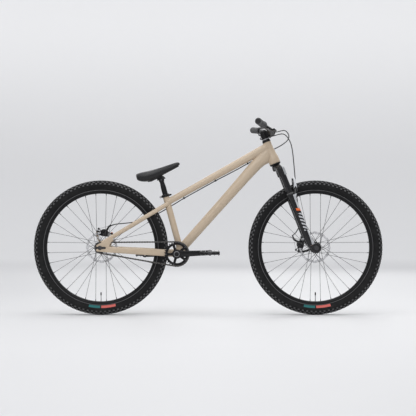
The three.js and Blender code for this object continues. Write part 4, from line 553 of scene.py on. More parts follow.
def add_turned(bm, profile, base, direction, sides, corner=0.0, steps=3):
    """Turns a profile of (radius, height) in mm round a line, its corners cut with a small arc."""
    direction = Vector(direction).normalized()
    across, up = frame_along(direction)
    rings = []
    for radius, height in in_m(rounded(profile, corner, steps) if corner else profile):
        centre = Vector(base) + direction * height
        rings.append(oval(centre, across, up, max(radius, 1e-5), max(radius, 1e-5), sides))
    return add_rings(bm, rings)


def add_washer(bm, profile, base, direction, sides):
    """The same for a profile that closes on itself, as on a ring."""
    direction = Vector(direction).normalized()
    across, up = frame_along(direction)
    rings = []
    for i in range(sides):
        turn = 2 * math.pi * i / sides
        outward = across * math.cos(turn) + up * math.sin(turn)
        rings.append([Vector(base) + outward * r + direction * h for r, h in in_m(profile)])
    return add_rings(bm, rings, closed_loop=True)


def rounded(profile, radius, steps):
    """Cuts each inner corner of an open profile with a small arc."""
    made = [profile[0]]
    for before, corner, after in zip(profile, profile[1:], profile[2:]):
        b, c, a = Vector(before), Vector(corner), Vector(after)
        reach = min(radius, (b - c).length * 0.45, (a - c).length * 0.45)
        start = c + (b - c).normalized() * reach if (b - c).length else c
        end = c + (a - c).normalized() * reach if (a - c).length else c
        for step in range(steps + 1):
            t = step / steps
            made.append(tuple(start * (1 - t) ** 2 + c * 2 * t * (1 - t) + end * t**2))
    made.append(profile[-1])
    return made


def evaluated(obj):
    """What an object's curve or modifiers make, as a plain mesh."""
    bpy.context.view_layer.update()
    return bpy.data.meshes.new_from_object(obj.evaluated_get(bpy.context.evaluated_depsgraph_get()))


def plate_mesh(name, outlines, thickness, round_edge):
    """A flat plate in the X-Y plane with the first outline's shape and holes of the others'."""
    curve = bpy.data.curves.new(name, "CURVE")
    curve.dimensions = "2D"
    curve.fill_mode = "BOTH"
    for outline in outlines:
        spline = curve.splines.new("POLY")
        spline.points.add(len(outline) - 1)
        for point, (x, y) in zip(spline.points, outline):
            point.co = (x, y, 0, 1)
        spline.use_cyclic_u = True
    curve.extrude = thickness / 2 - round_edge
    curve.bevel_depth = round_edge
    curve.bevel_resolution = 1
    curve.offset = -round_edge
    holder = new_object(name, curve)
    mesh = evaluated(holder)
    bpy.data.objects.remove(holder)
    return mesh


def add_plate(bm, outlines, thickness, place, x_axis, y_axis, round_edge):
    """A plate laid into the bike: its X and Y along the two axes given."""
    mesh = plate_mesh("plate", outlines, thickness, round_edge)
    z_axis = x_axis.cross(y_axis)
    matrix = Matrix((x_axis, y_axis, z_axis)).transposed().to_4x4()
    matrix.translation = place
    mesh.transform(matrix)
    bm.from_mesh(mesh)
    bpy.data.meshes.remove(mesh)


def polar(radius, turn):
    return radius * math.cos(turn), radius * math.sin(turn)


def arc(radius, start, end, steps, centre=(0, 0)):
    turns = [start + (end - start) * i / steps for i in range(steps + 1)]
    return [(centre[0] + radius * math.cos(t), centre[1] + radius * math.sin(t)) for t in turns]


def circle(radius, steps, centre=(0, 0)):
    return arc(radius, 0, 2 * math.pi * (1 - 1 / steps), steps - 1, centre)


def mark_sharp(mesh, degrees):
    bm = bmesh.new()
    bm.from_mesh(mesh)
    for face in bm.faces:
        face.smooth = True
    for edge in bm.edges:
        edge.smooth = len(edge.link_faces) == 2 and edge.calc_face_angle(0) < math.radians(degrees)
    bm.to_mesh(mesh)
    bm.free()


def applied(obj):
    """Turns what the modifiers make into the piece's own plain mesh."""
    mesh = evaluated(obj)
    obj.modifiers.clear()
    obj.data = mesh
    return obj


def as_piece(name, source, stands_for, body=None, slot=None, finish=None, sharp=35, round_edge=0.0):
    """The closing lines of every piece: its name, material, smooth faces, body and slot."""
    mesh = source
    if isinstance(source, bmesh.types.BMesh):
        mesh = to_mesh(name, source)
    elif isinstance(source, list):
        mesh = joined_mesh(name, source)
    obj = new_object(name, mesh)
    nodes = [stands_for] if isinstance(stands_for, str) else list(stands_for)
    slot = slot or slot_of_node[nodes[0]]
    if round_edge:
        bevel = obj.modifiers.new("round", "BEVEL")
        bevel.width = round_edge
        bevel.segments = 2
        bevel.limit_method = "ANGLE"
        bevel.angle_limit = math.radians(sharp)
        applied(obj)
    if not obj.data.materials:
        obj.data.materials.append(finish or finishes[slot])
    mark_sharp(obj.data, sharp)
    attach(obj, body or body_of_node[nodes[0]])
    if nodes:
        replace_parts(obj, *nodes)
    return obj


print("helpers ready")

# %% [markdown]
# A wheel is a lesson in repetition: forty-six pitches of tread blocks, thirty-two spokes and as many
# nipples. One geometry tree does them all. It takes whatever mesh the object holds, makes copies of it
# round an axle, and turns them into real faces at the end.

# %% A geometry tree that repeats a shape round an axle


def begun_tree(name, sockets):
    """A geometry tree with named inputs, those inputs as links, and their identifiers by name."""
    tree = bpy.data.node_groups.new(name, "GeometryNodeTree")
    tree.interface.new_socket("Geometry", in_out="OUTPUT", socket_type="NodeSocketGeometry")
    keys = {}
    for label, kind in sockets.items():
        made = tree.interface.new_socket(label, in_out="INPUT", socket_type="NodeSocket" + kind)
        keys[label] = made.identifier
    inputs = tree.nodes.new("NodeGroupInput")
    return tree, [Link(tree, inputs.outputs[i]) for i in range(len(sockets))], keys


def close_tree(tree, copies, finish):
    """The last nodes of a tree: the copies become real faces and get their finish."""
    real = copies.node("GeometryNodeRealizeInstances", None, {"Geometry": copies})
    dressed = real.node("GeometryNodeSetMaterial", None, {"Geometry": real, "Material": finish})
    plug(tree, tree.nodes.new("NodeGroupOutput").inputs[0], dressed)


def run_tree(mesh, tree, keys, values):
    """What a geometry tree makes of a mesh, as one plain mesh."""
    holder = new_object("holder", mesh)
    modifier = holder.modifiers.new("tree", "NODES")
    modifier.node_group = tree
    for label, value in values.items():
        modifier[keys[label]] = value
    made = applied(holder).data
    bpy.data.objects.remove(holder)
    return made


def ring_tree():
    tree, (shape, copies, axle, finish), keys = begun_tree("repeat_round_axle", {
        "Geometry": "Geometry", "Copies": "Int", "Axle": "Vector", "Finish": "Material",
    })
    back = axle.node("ShaderNodeVectorMath", {"operation": "SCALE"}, {0: axle, 3: -1.0})
    centred = shape.node("GeometryNodeTransform", None, {"Geometry": shape, "Translation": back})
    line = shape.node("GeometryNodeMeshLine", None, {"Count": copies, "Offset": (0.0, 0.0, 0.0)})
    index = shape.node("GeometryNodeInputIndex")
    turn = index / copies * (2 * math.pi)
    spin = turn.node("ShaderNodeCombineXYZ", None, {"Y": turn})
    values = {"Points": line, "Instance": centred, "Rotation": spin}
    copied = shape.node("GeometryNodeInstanceOnPoints", None, values)
    values = {"Instances": copied, "Translation": axle, "Local Space": False}
    close_tree(tree, shape.node("GeometryNodeTranslateInstances", None, values), finish)
    return tree, keys


round_axle, round_axle_keys = ring_tree()


def repeated(mesh, copies, axle, finish):
    """The mesh copied round an axle that runs along Y, as one plain mesh."""
    values = {"Copies": copies, "Axle": axle, "Finish": finish}
    return run_tree(mesh, round_axle, round_axle_keys, values)


def as_blend(name, mesh, body_a, body_b, start, end):
    """A bending piece: it follows one body before start and the other after end."""
    obj = new_object(name, mesh)
    mark_sharp(mesh, 60)
    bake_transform(obj, body_a, body_b, start=tuple(start), end=tuple(end))
    return obj


def joined_mesh(name, meshes):
    """Several meshes as one, each keeping its material."""
    materials = []
    bm = bmesh.new()
    for mesh in meshes:
        start = len(bm.faces)
        bm.from_mesh(mesh)
        own = [m for m in mesh.materials if m] or [None]
        places = []
        for m in own:
            if m not in materials:
                materials.append(m)
            places.append(materials.index(m))
        bm.faces.ensure_lookup_table()
        for face in bm.faces[start:]:
            face.material_index = places[min(face.material_index, len(places) - 1)]
    made = bpy.data.meshes.new(name)
    bm.to_mesh(made)
    bm.free()
    for m in materials:
        made.materials.append(m)
    return made


print("one ring tree")

# %% [markdown]
# Bolts, chain links and weld ripples don't sit on a circle, so they need a second tree. It reads a
# handful of marks, which are points that each carry a turn, and stands the same small shape on every
# one of them.

# %% A geometry tree that stands a shape on marks


def marks_tree():
    tree, (marks, shape, finish), keys = begun_tree("shape_on_marks", {
        "Marks": "Geometry", "Shape": "Object", "Finish": "Material",
    })
    turn = marks.node("GeometryNodeInputNamedAttribute", {"data_type": "FLOAT_VECTOR"}, {"Name": "turn"})
    own = marks.node("GeometryNodeObjectInfo", None, {"Object": shape}, 4)
    values = {"Points": marks, "Instance": own, "Rotation": turn}
    close_tree(tree, marks.node("GeometryNodeInstanceOnPoints", None, values), finish)
    return tree, keys


on_marks, on_marks_keys = marks_tree()


def placed(shape_mesh, marks, finish):
    """The shape on every mark, as one plain mesh. A mark is (place, its X axis, its Z axis)."""
    mesh = bpy.data.meshes.new("marks")
    mesh.from_pydata([place for place, _, _ in marks], [], [])
    turns = mesh.attributes.new("turn", "FLOAT_VECTOR", "POINT")
    for item, (_, x_axis, z_axis) in zip(turns.data, marks):
        z_axis = Vector(z_axis).normalized()
        x_axis = Vector(x_axis) - z_axis * z_axis.dot(x_axis)
        x_axis.normalize()
        item.vector = Matrix((x_axis, z_axis.cross(x_axis), z_axis)).transposed().to_euler()
    shape = new_object("shape", shape_mesh)
    made = run_tree(mesh, on_marks, on_marks_keys, {"Shape": shape, "Finish": finish})
    bpy.data.objects.remove(shape)
    return made


def turned_mesh(profile, sides, base=(0, 0, 0), direction=(0, 0, 1), corner=0.0):
    bm = bmesh.new()
    add_turned(bm, profile, base, direction, sides, corner)
    return to_mesh("turned", bm)


def button_bolt(radius, height):
    """A domed bolt head with its socket, standing on Z."""
    r, h = radius, height
    return turned_mesh([
        (r, -h * 0.3), (r, h * 0.45), (r * 0.86, h * 0.85), (r * 0.5, h), (r * 0.48, h * 0.4), (0, h * 0.38),
    ], 14)


print("one marks tree")

# %% [markdown]
# A dirt tyre is a smooth round carcass with blocks standing on it. The carcass is a closed profile
# turned round the axle. One pitch of the tread holds sixteen blocks: staggered pairs in the middle,
# smaller ones beside them, and long and short shoulder blocks in turn. Each block is a little tapered
# box with a chamfered top, set square to the carcass where it stands. The ring tree copies the pitch.

# %% Tyres
tread_pitches = 46
carcass_steps = 184
carcass_thickness = 3.2
# Points of the carcass from the bead to the crown: radius and distance from the middle plane.
carcass_half = [
    (284.6, 12.2), (287.5, 12.9), (289.6, 13.4), (290.4, 15.4), (292.6, 17.0), (297.0, 20.6), (302.5, 23.8),
    (308.5, 26.0), (314.5, 27.1), (320.0, 26.8), (324.6, 24.6), (328.0, 20.8), (330.3, 15.6), (331.7, 9.4),
    (332.4, 3.2),
]
# Blocks of one pitch: share of the pitch, distance from the middle plane, length, width, height,
# radius of the carcass there, and how far the block leans outwards.
tread_blocks = [
    (0.00, 5.6, 13.0, 8.4, 4.3, 332.0, 3), (0.25, -5.6, 13.0, 8.4, 4.3, 332.0, 3),
    (0.50, 5.6, 13.0, 8.4, 4.3, 332.0, 3), (0.75, -5.6, 13.0, 8.4, 4.3, 332.0, 3),
    (0.18, 15.2, 10.5, 6.6, 4.2, 330.4, 20), (0.43, -15.2, 10.5, 6.6, 4.2, 330.4, 20),
    (0.68, 15.2, 10.5, 6.6, 4.2, 330.4, 20), (0.93, -15.2, 10.5, 6.6, 4.2, 330.4, 20),
    (0.02, 23.2, 14.5, 7.6, 4.4, 325.6, 48), (0.27, -23.2, 14.5, 7.6, 4.4, 325.6, 48),
    (0.52, 22.6, 10.5, 8.8, 4.4, 326.0, 44), (0.77, -22.6, 10.5, 8.8, 4.4, 326.0, 44),
    (0.26, 26.6, 10.0, 8.0, 2.6, 319.6, 72), (0.51, -26.6, 10.0, 8.0, 2.6, 319.6, 72),
    (0.76, 26.6, 10.0, 8.0, 2.6, 319.6, 72), (0.01, -26.6, 10.0, 8.0, 2.6, 319.6, 72),
]
block_taper = 0.78


def add_block(bm, axle, turn, across, length, width, height, radius, lean):
    outward = Vector((math.cos(turn), 0, math.sin(turn)))
    along = Vector((-math.sin(turn), 0, math.cos(turn)))
    tilt = math.copysign(math.radians(lean), across)
    normal = outward * math.cos(tilt) + sideways * math.sin(tilt)
    side = along.cross(normal)
    foot = axle + outward * radius * mm + sideways * across * mm
    rings = []
    for share, lift in ((1.12, -1.6), (0.96, height * 0.72), (block_taper, height)):
        a, b = length * share / 2 * mm, width * share / 2 * mm
        middle = foot + normal * lift * mm
        rings.append([middle + along * p * a + side * q * b for p, q in ((-1, -1), (1, -1), (1, 1), (-1, 1))])
    lifts = bm.verts.layers.float["lift"]
    for ring, value in zip(add_rings(bm, rings), (0.0, 0.7, 1.0)):
        for vert in ring:
            vert[lifts] = value


def dress_tyre(name, node, axle):
    inner = [(r - carcass_thickness, y * 0.86) for r, y in carcass_half[4:]]
    outside = carcass_half + [(r, -y) for r, y in reversed(carcass_half)]
    profile = outside + [(r, -y) for r, y in inner] + [(r, y) for r, y in reversed(inner)]
    carcass = bmesh.new()
    add_washer(carcass, profile, axle, sideways, carcass_steps)
    blocks = bmesh.new()
    blocks.verts.layers.float.new("lift")
    for share, across, length, width, height, radius, lean in tread_blocks:
        add_block(blocks, axle, share * 2 * math.pi / tread_pitches, across, length, width, height, radius,
                  lean)
    tread = repeated(to_mesh("tread", blocks), tread_pitches, axle, finishes["tyre"])
    mesh = joined_mesh(name, [coated(carcass, finishes["tyre"]), tread])
    places = np.zeros(len(mesh.vertices) * 3)
    mesh.vertices.foreach_get("co", places)
    places = places.reshape(-1, 3) - np.array(axle)
    note(mesh, "around", np.degrees(np.arctan2(places[:, 0], -places[:, 2])))
    note(mesh, "out", np.hypot(places[:, 0], places[:, 2]))
    return as_piece(name, mesh, node, sharp=38)


for end, axle in axles.items():
    made = dress_tyre(f"{end}_tyre_with_tread", f"{end}_tyre", axle)
    print(made.name, len(made.data.polygons), "faces")

# %% [markdown]
# The rim is an extruded box section bent into a hoop: a rounded inner side, flat brake-free walls
# and a hooked edge that holds the tyre. Every spoke ends in it in a small black nipple.
#
# The wheel is laced three-cross. Four spokes make one repeat: two to each flange, one of each pair
# pulling forwards and one backwards. Each leaves its hole in the flange with a bent neck.

# %% Rims, spokes and nipples
spokes = 32
rim_inner_radius = 270 * mm
rim_profile = [
    (270.0, 3.5), (270.6, 7.5), (273.0, 11.6), (276.6, 14.3), (281.0, 15.4), (288.3, 15.5), (289.0, 14.9),
    (288.8, 13.6), (284.4, 12.9), (283.4, 11.6), (283.0, 8.0), (281.0, 4.0),
]
spoke_radius = 1.05
spoke_circle = 23.5 * mm
flange_half = 2.0
hub_turn = math.radians(68)
# Planes of the right flange, the left flange and the disc, in mm from the middle.
flanges = {"front": (31, 23, 39.7), "rear": (21, 32, 52.2)}
nipple_length = 11


def add_spoke(bm, axle, index, right, left):
    rim_turn = (index + 0.5) / spokes * 2 * math.pi
    side = 1 if index % 2 == 0 else -1
    pull = 1 if index % 4 < 2 else -1
    plane = left if side > 0 else -right
    x, z = polar(spoke_circle, rim_turn + pull * hub_turn)
    hole = axle + Vector((x, plane * mm, z))
    x, z = polar(rim_inner_radius, rim_turn)
    rim = axle + Vector((x, side * 3 * mm, z))
    through = sideways * pull * mm
    head = hole - through * (flange_half + 1.2)
    neck = hole + through * (flange_half + 0.4)
    run = (rim - neck).normalized()
    r = spoke_radius
    stations = [
        (head, r * 1.9, r * 1.9), (head + through * r, r * 1.7, r * 1.7), (head + through * r * 1.3, r, r),
        (neck, r, r), (neck + run * 2.2 * mm, r, r), (rim, r, r),
    ]
    add_limb(bm, stations, 6)
    return rim, run


def dress_wheel(end, axle):
    right, left, _ = flanges[end]
    bm = bmesh.new()
    nipples = []
    for index in range(4):
        rim, run = add_spoke(bm, axle, index, right, left)
        nipples.append((rim + run * 1.5 * mm, -run))
    spoke_mesh = repeated(to_mesh("spokes", bm), spokes // 4, axle, spoke_finish)
    caps = bmesh.new()
    for foot, inward in nipples:
        add_turned(caps, [(2.2, 0), (2.2, 4), (1.75, 5), (1.6, nipple_length)], foot, inward, 8)
    nipple_mesh = repeated(to_mesh("nipples", caps), spokes // 4, axle, finishes["dark_metal"])
    as_piece(f"{end}_spokes", [spoke_mesh, nipple_mesh], f"{end}_hub_and_spokes", sharp=50)
    rim = bmesh.new()
    mirrored = [(r, -y) for r, y in reversed(rim_profile)]
    add_washer(rim, rim_profile + mirrored, axle, sideways, carcass_steps)
    rim_mesh = to_mesh("rim", rim)
    note(rim_mesh, "out", [math.hypot(v.co.x - axle.x, v.co.z - axle.z) for v in rim_mesh.vertices])
    as_piece(f"{end}_rim_hoop", rim_mesh, f"{end}_rim", finish=rim_finish, sharp=30)


def rim_anodising():
    """Black anodising with a painted highlight along the hooked edge where it meets the tyre."""
    finish = Finish("rim_anodised", metallic=0.6, specular=0.2)
    out = finish.kept("out")
    painted_highlight = out.above(0.2866, 0.0005)
    base = finish.mix(finish.noise(16.0), (0.012, 0.012, 0.0125), (0.02, 0.02, 0.021))
    base = finish.mix(painted_highlight, base, (0.15, 0.15, 0.153))
    grain = finish.noise(900.0, detail=2.0)
    return finish.done(base, grain * 0.16 + 0.34, [(grain, 0.00002)])


rim_finish = rim_anodising()
spoke_finish = bright_steel("spoke_steel", 0.07, 0.13, 0.35)
for end, axle in axles.items():
    dress_wheel(end, axle)
print(spokes, "spokes in each wheel")

# %% [markdown]
# Hubs are turned on a lathe, so a profile of radius against width says all of them. Square inner
# corners are eased by a small arc, as a turning tool would leave them. The rear hub ends in the
# driver, the steel drum that carries the cog.

# %% Hubs
hub_body = 15
hub_flange = 28
hub_neck = 9.5
disc_seat = 16.7
corner = 1.6
hub_finish = anodised("hub_anodised", 1.0, 0.26)


def dress_hub(end, axle, half_width, bore):
    right, left, disc = flanges[end]
    t = flange_half
    profile = [
        (bore, -half_width), (hub_neck, -half_width), (hub_neck, -right - 7), (hub_flange - 9, -right - t),
        (hub_flange, -right - t), (hub_flange, -right + t), (hub_flange - 8, -right + t),
        (hub_body, -right + 7), (hub_body - 1.5, (left - right) / 2), (hub_body, left - 7),
        (hub_flange - 8, left - t), (hub_flange, left - t), (hub_flange, left + t),
        (hub_flange - 7, left + t), (disc_seat, left + 5), (disc_seat + 5, disc - 2),
        (disc_seat + 5, disc - 1.1), (disc_seat, disc - 1.1), (disc_seat, disc + 2),
        (hub_neck + 1, disc + 2.4), (hub_neck, half_width), (bore, half_width),
    ]
    bm = bmesh.new()
    add_turned(bm, profile, axle, sideways, 48, corner)
    as_piece(f"{end}_hub_shell", bm, f"{end}_hub_and_spokes", finish=hub_finish, slot="black_metal", sharp=34)


dress_hub("front", front_axle, 49.7, 7.8)
dress_hub("rear", rear_axle, 67.5, 5.3)

driver = bmesh.new()
add_turned(driver, [
    (5.3, -58), (15, -58), (18.6, -57), (18.6, -52.7), (17, -52.6), (17, -49.4), (20, -49.3), (20, -26),
    (16, -23.5), (5.3, -23),
], rear_axle, sideways, 48, 0.8)
as_piece("driver_drum", driver, "rear_hub_and_spokes", finish=finishes["dark_metal"], slot="dark_metal",
         sharp=34)
print("hubs turned")

# %% [markdown]
# A brake disc is laser-cut from sheet steel: a track with rows of small holes that clean the pads,
# and six slanted arms that run to a bolted centre. It is drawn flat, as the cutter would get it, and
# laid upright beside the hub.

# %% Brake discs, their bolts and the valves
disc_radius = 80 * mm
disc_inner = 67 * mm
disc_carrier = 26 * mm
disc_thickness = 1.9 * mm
disc_bore = 17.2 * mm
disc_bolt_circle = 22 * mm
arm_width = 5.5 * mm
disc_arms = 6
disc_holes = 36
disc_finish = bright_steel("disc_steel", 0.58, 0.72, 0.38)


def disc_outlines():
    edge = [polar(disc_radius - 2.6 * mm * (0.5 - 0.5 * math.cos(12 * t)), t)
            for t in (2 * math.pi * i / 144 for i in range(144))]
    outlines = [edge, circle(disc_bore, 40)]
    pitch = 2 * math.pi / disc_arms
    lean = math.radians(34)
    for i in range(disc_arms):
        start = i * pitch
        wide, narrow = arm_width / disc_inner / 2, arm_width / disc_carrier / 2
        window = arc(disc_inner, start + wide, start + pitch - wide, 14)
        window += [polar(disc_inner * 0.7, start + pitch - wide * 1.5 - lean * 0.35)]
        window += arc(disc_carrier, start + pitch - narrow - lean, start + narrow - lean, 6)
        window += [polar(disc_inner * 0.7, start + wide * 1.5 - lean * 0.35)]
        outlines.append(window)
    for i in range(disc_holes):
        turn = 2 * math.pi * i / disc_holes
        radius = disc_inner + (3.4 if i % 2 else 8.2) * mm
        outlines.append(circle(2.1 * mm, 10, polar(radius, turn)))
    return outlines


def dress_disc(end, axle):
    plane = flanges[end][2]
    bm = bmesh.new()
    place = axle + sideways * plane * mm
    add_plate(bm, disc_outlines(), disc_thickness, place, forward, upward, 0.15 * mm)
    as_piece(f"{end}_disc_cut", bm, f"{end}_brake_disc", finish=disc_finish, sharp=30)
    bolts = []
    for i in range(disc_arms):
        x, z = polar(disc_bolt_circle, 2 * math.pi * (i + 0.5) / disc_arms)
        bolts.append((place + Vector((x, disc_thickness / 2, z)), forward, sideways))
    mesh = placed(button_bolt(4.0, 2.4), bolts, finishes["dark_metal"])
    as_piece(f"{end}_disc_bolts", mesh, (), f"{end}_wheel", "dark_metal")


def dress_valve(end, axle):
    foot = axle - upward * rim_inner_radius
    thread = [(r, 1 + i * 0.55) for i, r in enumerate([2.6, 2.3] * 26)]
    stem = turned_mesh([(2.6, -12)] + thread + [(1.8, 31), (1.8, 33)], 10, foot, upward)
    nut = turned_mesh([(2.5, 0.4), (4.6, 0.4), (4.6, 2.6), (2.5, 3.4)], 6, foot, upward)
    cap = turned_mesh([(2.7, 30), (3.2, 30.4), (3.2, 42), (2.4, 45.4), (0, 46)], 12, foot, upward)
    for mesh, finish in ((stem, "steel"), (nut, "steel"), (cap, "black_plastic")):
        mesh.materials.append(finishes[finish])
    as_piece(f"{end}_valve_stem", joined_mesh(f"{end}_valve", [stem, nut, cap]), f"{end}_valve", sharp=30)


for end, axle in axles.items():
    dress_disc(end, axle)
    dress_valve(end, axle)
print(disc_holes, "holes in each disc")

# %% [markdown]
# The frame is a low triangle of drawn aluminium tubes. The down tube swells towards the head, where
# it meets the top tube in one deep joint. Each tube is lofted by itself through a few stations, so
# that the finished sections are smooth ovals with slightly flat sides.

# %% Frame tubes
seat_foot = bottom_bracket + Vector((21.5 * mm, 0, 0))
seat_tube_length = 305


def on_seat(up):
    """A place on the seat tube's axis, in mm from its foot."""
    return seat_foot + seat_up * up * mm


def at_head(ahead, side, up):
    """A place in the steering frame, in mm."""
    return head_centre + (head_forward * ahead + sideways * side + head_up * up) * mm


top_from, top_to = on_seat(267), at_head(0, 0, 34)
bend = at_head(-97, 0, -33)
stay_root = on_seat(259.7)
stay_end = rear_axle + Vector((-15.9 * mm, 0, 9 * mm))
dropout_plane = 71.3 * mm
tubes = {}

for name in ("head", "top", "down", "seat", "shell"):
    tubes[name] = bmesh.new()
add_turned(tubes["head"], [
    (21, -57.5), (28.5, -57.5), (28.5, -34), (24.5, -8), (21, 22), (20.5, 57.5), (17, 57.5),
], head_centre, head_up, 64, 5, 5)
add_limb(tubes["top"], [
    (top_from, 16, 16), (top_from.lerp(top_to, 0.3), 16.5, 16.6), (top_from.lerp(top_to, 0.7), 18, 19.6),
    (top_to, 19, 22),
], 48, 2.35, sideways, 8)
add_limb(tubes["down"], [
    (bottom_bracket, 23, 22.5), (bottom_bracket.lerp(bend, 0.6), 23, 24.5), (bend, 23, 29),
    (at_head(-39, 0, -10), 21, 35), (at_head(0, 0, 5), 21, 35),
], 56, 2.5, sideways, 10)
add_limb(tubes["seat"], [(on_seat(0), 15.9, 15.9), (on_seat(seat_tube_length), 15.9, 15.9)], 48)
add_turned(tubes["shell"], [
    (17.5, -36.5), (21, -36.5), (21, 36.5), (17.5, 36.5),
], bottom_bracket, sideways, 56, 1)


def add_seat_stay(bm, side):
    rows = []
    for share, spread in ((0, 13), (0.08, 24), (0.18, 42), (0.6, 61), (0.93, 71.3)):
        place = stay_root.lerp(stay_end, share) + sideways * side * spread * mm
        rows.append((place, 8 - 4.5 * share, 11 - 2 * share))
    add_limb(bm, rows, 32, 2.6, sideways, 8)


def add_chainstay(bm, side):
    root = bottom_bracket + upward * 2 * mm
    end = rear_axle + Vector((31 * mm, 0, -8 * mm))
    rows = []
    for share, spread, wide, high in ((0.02, 27, 8, 18), (0.075, 28, 8, 18), (0.13, 38, 5.5, 17),
                                      (0.27, 38, 5.5, 17), (0.42, 46, 8, 17), (0.78, 66, 8, 15),
                                      (0.97, 71.3, 3.5, 14)):
        rows.append((root.lerp(end, share) + sideways * side * spread * mm, wide, high))
    add_limb(bm, rows, 32, 3.4, sideways, 8)


for name, side in both_sides:
    tubes[f"{name} stay"] = bmesh.new()
    add_seat_stay(tubes[f"{name} stay"], side)
    tubes[f"{name} chainstay"] = bmesh.new()
    add_chainstay(tubes[f"{name} chainstay"], side)
print(len(tubes), "tubes")

# %% [markdown]
# The dropouts are plates cut from sheet. The slot opens to the rear, so the wheel can be pulled back
# until the chain is tight, and a round-ended notch takes weight out between the stays.

# %% Dropouts and brake posts
slot_half = 5.4
dropout_thickness = 7 * mm
# Where a calliper sits on its disc, in degrees, and how far its posts stand along and beside it.
calliper_turns = {"front": 168, "rear": 80}
post_along, post_beside = 37, 9.5


def round_outline(points, radius, steps=4):
    """A closed outline with every corner eased."""
    made = []
    for i, corner in enumerate(points):
        b, c, a = Vector(points[i - 1]), Vector(corner), Vector(points[(i + 1) % len(points)])
        reach = min(radius, (b - c).length * 0.45, (a - c).length * 0.45)
        start, end = c + (b - c).normalized() * reach, c + (a - c).normalized() * reach
        for step in range(steps + 1):
            t = step / steps
            made.append(tuple(start * (1 - t) ** 2 + c * 2 * t * (1 - t) + end * t**2))
    return made


dropout_outline = [
    (-18, -slot_half), (-18, -17), (62, -25), (66, -16), (50, -5), (46, 7), (50, 21), (66, 38), (62, 54.2),
    (-12, 17), (-18, 11.6), (-18, slot_half), (27, slot_half), (31.4, 0), (27, -slot_half),
]
dropouts = bmesh.new()
for side in (-1, 1):
    add_plate(dropouts, [in_m(round_outline(dropout_outline, 4))], dropout_thickness,
              rear_axle + sideways * side * dropout_plane, forward, upward, 0.7 * mm)


def beside_disc(end, out, along, y):
    """A place by a brake disc: its distance from the axle, along the disc's edge and beside it, in mm."""
    axle = axles[end]
    turn = math.radians(calliper_turns[end])
    ox, oz = polar(out * mm, turn)
    ax, az = polar(along * mm, turn - math.pi / 2)
    return Vector((axle.x + ox + ax, (flanges[end][2] + y) * mm, axle.z + oz + az))


def add_rod(bm, start, end, radius, sides, chamfer=0.0, end_radius=None):
    """A round bar with its edges eased. Its radii and its chamfer are in mm."""
    length = (end - start).length / mm
    second = radius if end_radius is None else end_radius
    c = min(chamfer, length * 0.4)
    profile = [(radius - c, 0), (radius, c), (second, length - c), (second - c, length)]
    if not c:
        profile = [(radius, 0), (second, length)]
    add_turned(bm, profile, start, end - start, sides)


def add_brake_posts(bm, end, anchors):
    for along, anchor in zip((post_along, -post_along), anchors):
        foot, neck, top = [beside_disc(end, out, along, post_beside) for out in (50, 58.8, 71.7)]
        add_rod(bm, foot, top, 6.5, 28, 0.8)
        add_rod(bm, neck, anchor, 6, 24, 0, 5)


add_brake_posts(dropouts, "rear", [
    stay_root.lerp(stay_end, 0.86) + sideways * dropout_plane,
    rear_axle + Vector((-9 * mm, dropout_plane, 17 * mm)),
])
print("dropouts cut")

# %% [markdown]
# Where tubes meet, the welder lays a bead of overlapping drops, and aluminium frames keep it in view
# under the paint. The seam itself is found by shooting rays along a tube's skin until they strike the
# tube that it is welded to. The marks tree then stands one drop on every couple of millimetres.

# %% Weld beads
drop_pitch = 2.6 * mm
seam_rays = 72
# Two hits further apart than this have a gap in the seam between them.
widest_step = 12 * mm


def tree_of(*names):
    both = bmesh.new()
    for name in names:
        mesh = bpy.data.meshes.new("target")
        tubes[name].to_mesh(mesh)
        both.from_mesh(mesh)
        bpy.data.meshes.remove(mesh)
    found = BVHTree.FromBMesh(both)
    both.free()
    return found


def seam(start, end, wide, high, roundness, target):
    """Where the skin of a tube that runs from start to end enters the target."""
    direction = (end - start).normalized()
    side = (sideways - direction * sideways.dot(direction)).normalized()
    points = []
    for p in oval(start, side, direction.cross(side), wide * mm, high * mm, seam_rays, roundness):
        hit = target.ray_cast(p, direction, (end - start).length)[0]
        if hit:
            points.append((hit, (p - start).normalized()))
    return points


def drops_on(points):
    """Evenly spaced marks along a seam. Each lies along it and faces away from the tube."""
    marks, rest = [], 0.0
    for (a, out_a), (b, out_b) in zip(points, points[1:] + points[:1]):
        length = (b - a).length
        if length > widest_step:
            continue
        while rest < length:
            share = rest / length
            marks.append((a.lerp(b, share), (b - a), out_a.lerp(out_b, share)))
            rest += drop_pitch
        rest -= length
    return marks


weld_marks = []
head_tree, seat_tree, shell_tree = tree_of("head"), tree_of("seat"), tree_of("shell")
weld_marks += drops_on(seam(top_from.lerp(top_to, 0.8), top_to, 18.6, 21.2, 2.35, head_tree))
weld_marks += drops_on(seam(top_to.lerp(top_from, 0.8), top_from, 16.2, 16.3, 2.35, seat_tree))
weld_marks += drops_on(seam(bend.lerp(bottom_bracket, 0.7), bottom_bracket, 23, 23, 2.5, shell_tree))
weld_marks += drops_on(seam(at_head(-60, 0, -16), at_head(0, 0, 5), 21.3, 34, 2.5, head_tree))
weld_marks += drops_on(seam(on_seat(90), on_seat(0), 15.9, 15.9, 2, tree_of("shell", "down")))
for side in (-1, 1):
    first = stay_root.lerp(stay_end, 0.08) + sideways * side * 24 * mm
    weld_marks += drops_on(seam(first, stay_root + sideways * side * 9 * mm, 7.6, 10.8, 2.6, seat_tree))
    first = bottom_bracket.lerp(rear_axle, 0.11) + sideways * side * 28 * mm
    weld_marks += drops_on(seam(first, bottom_bracket + sideways * side * 27 * mm, 8, 18, 3.4, shell_tree))
drop = bmesh.new()
bmesh.ops.create_uvsphere(drop, u_segments=10, v_segments=6, radius=1.0)
bmesh.ops.scale(drop, vec=Vector((2.4, 3.6, 1.5)) * mm, verts=drop.verts)
welds = placed(to_mesh("drop", drop), weld_marks, finishes["frame_paint"])
print(len(weld_marks), "weld drops")

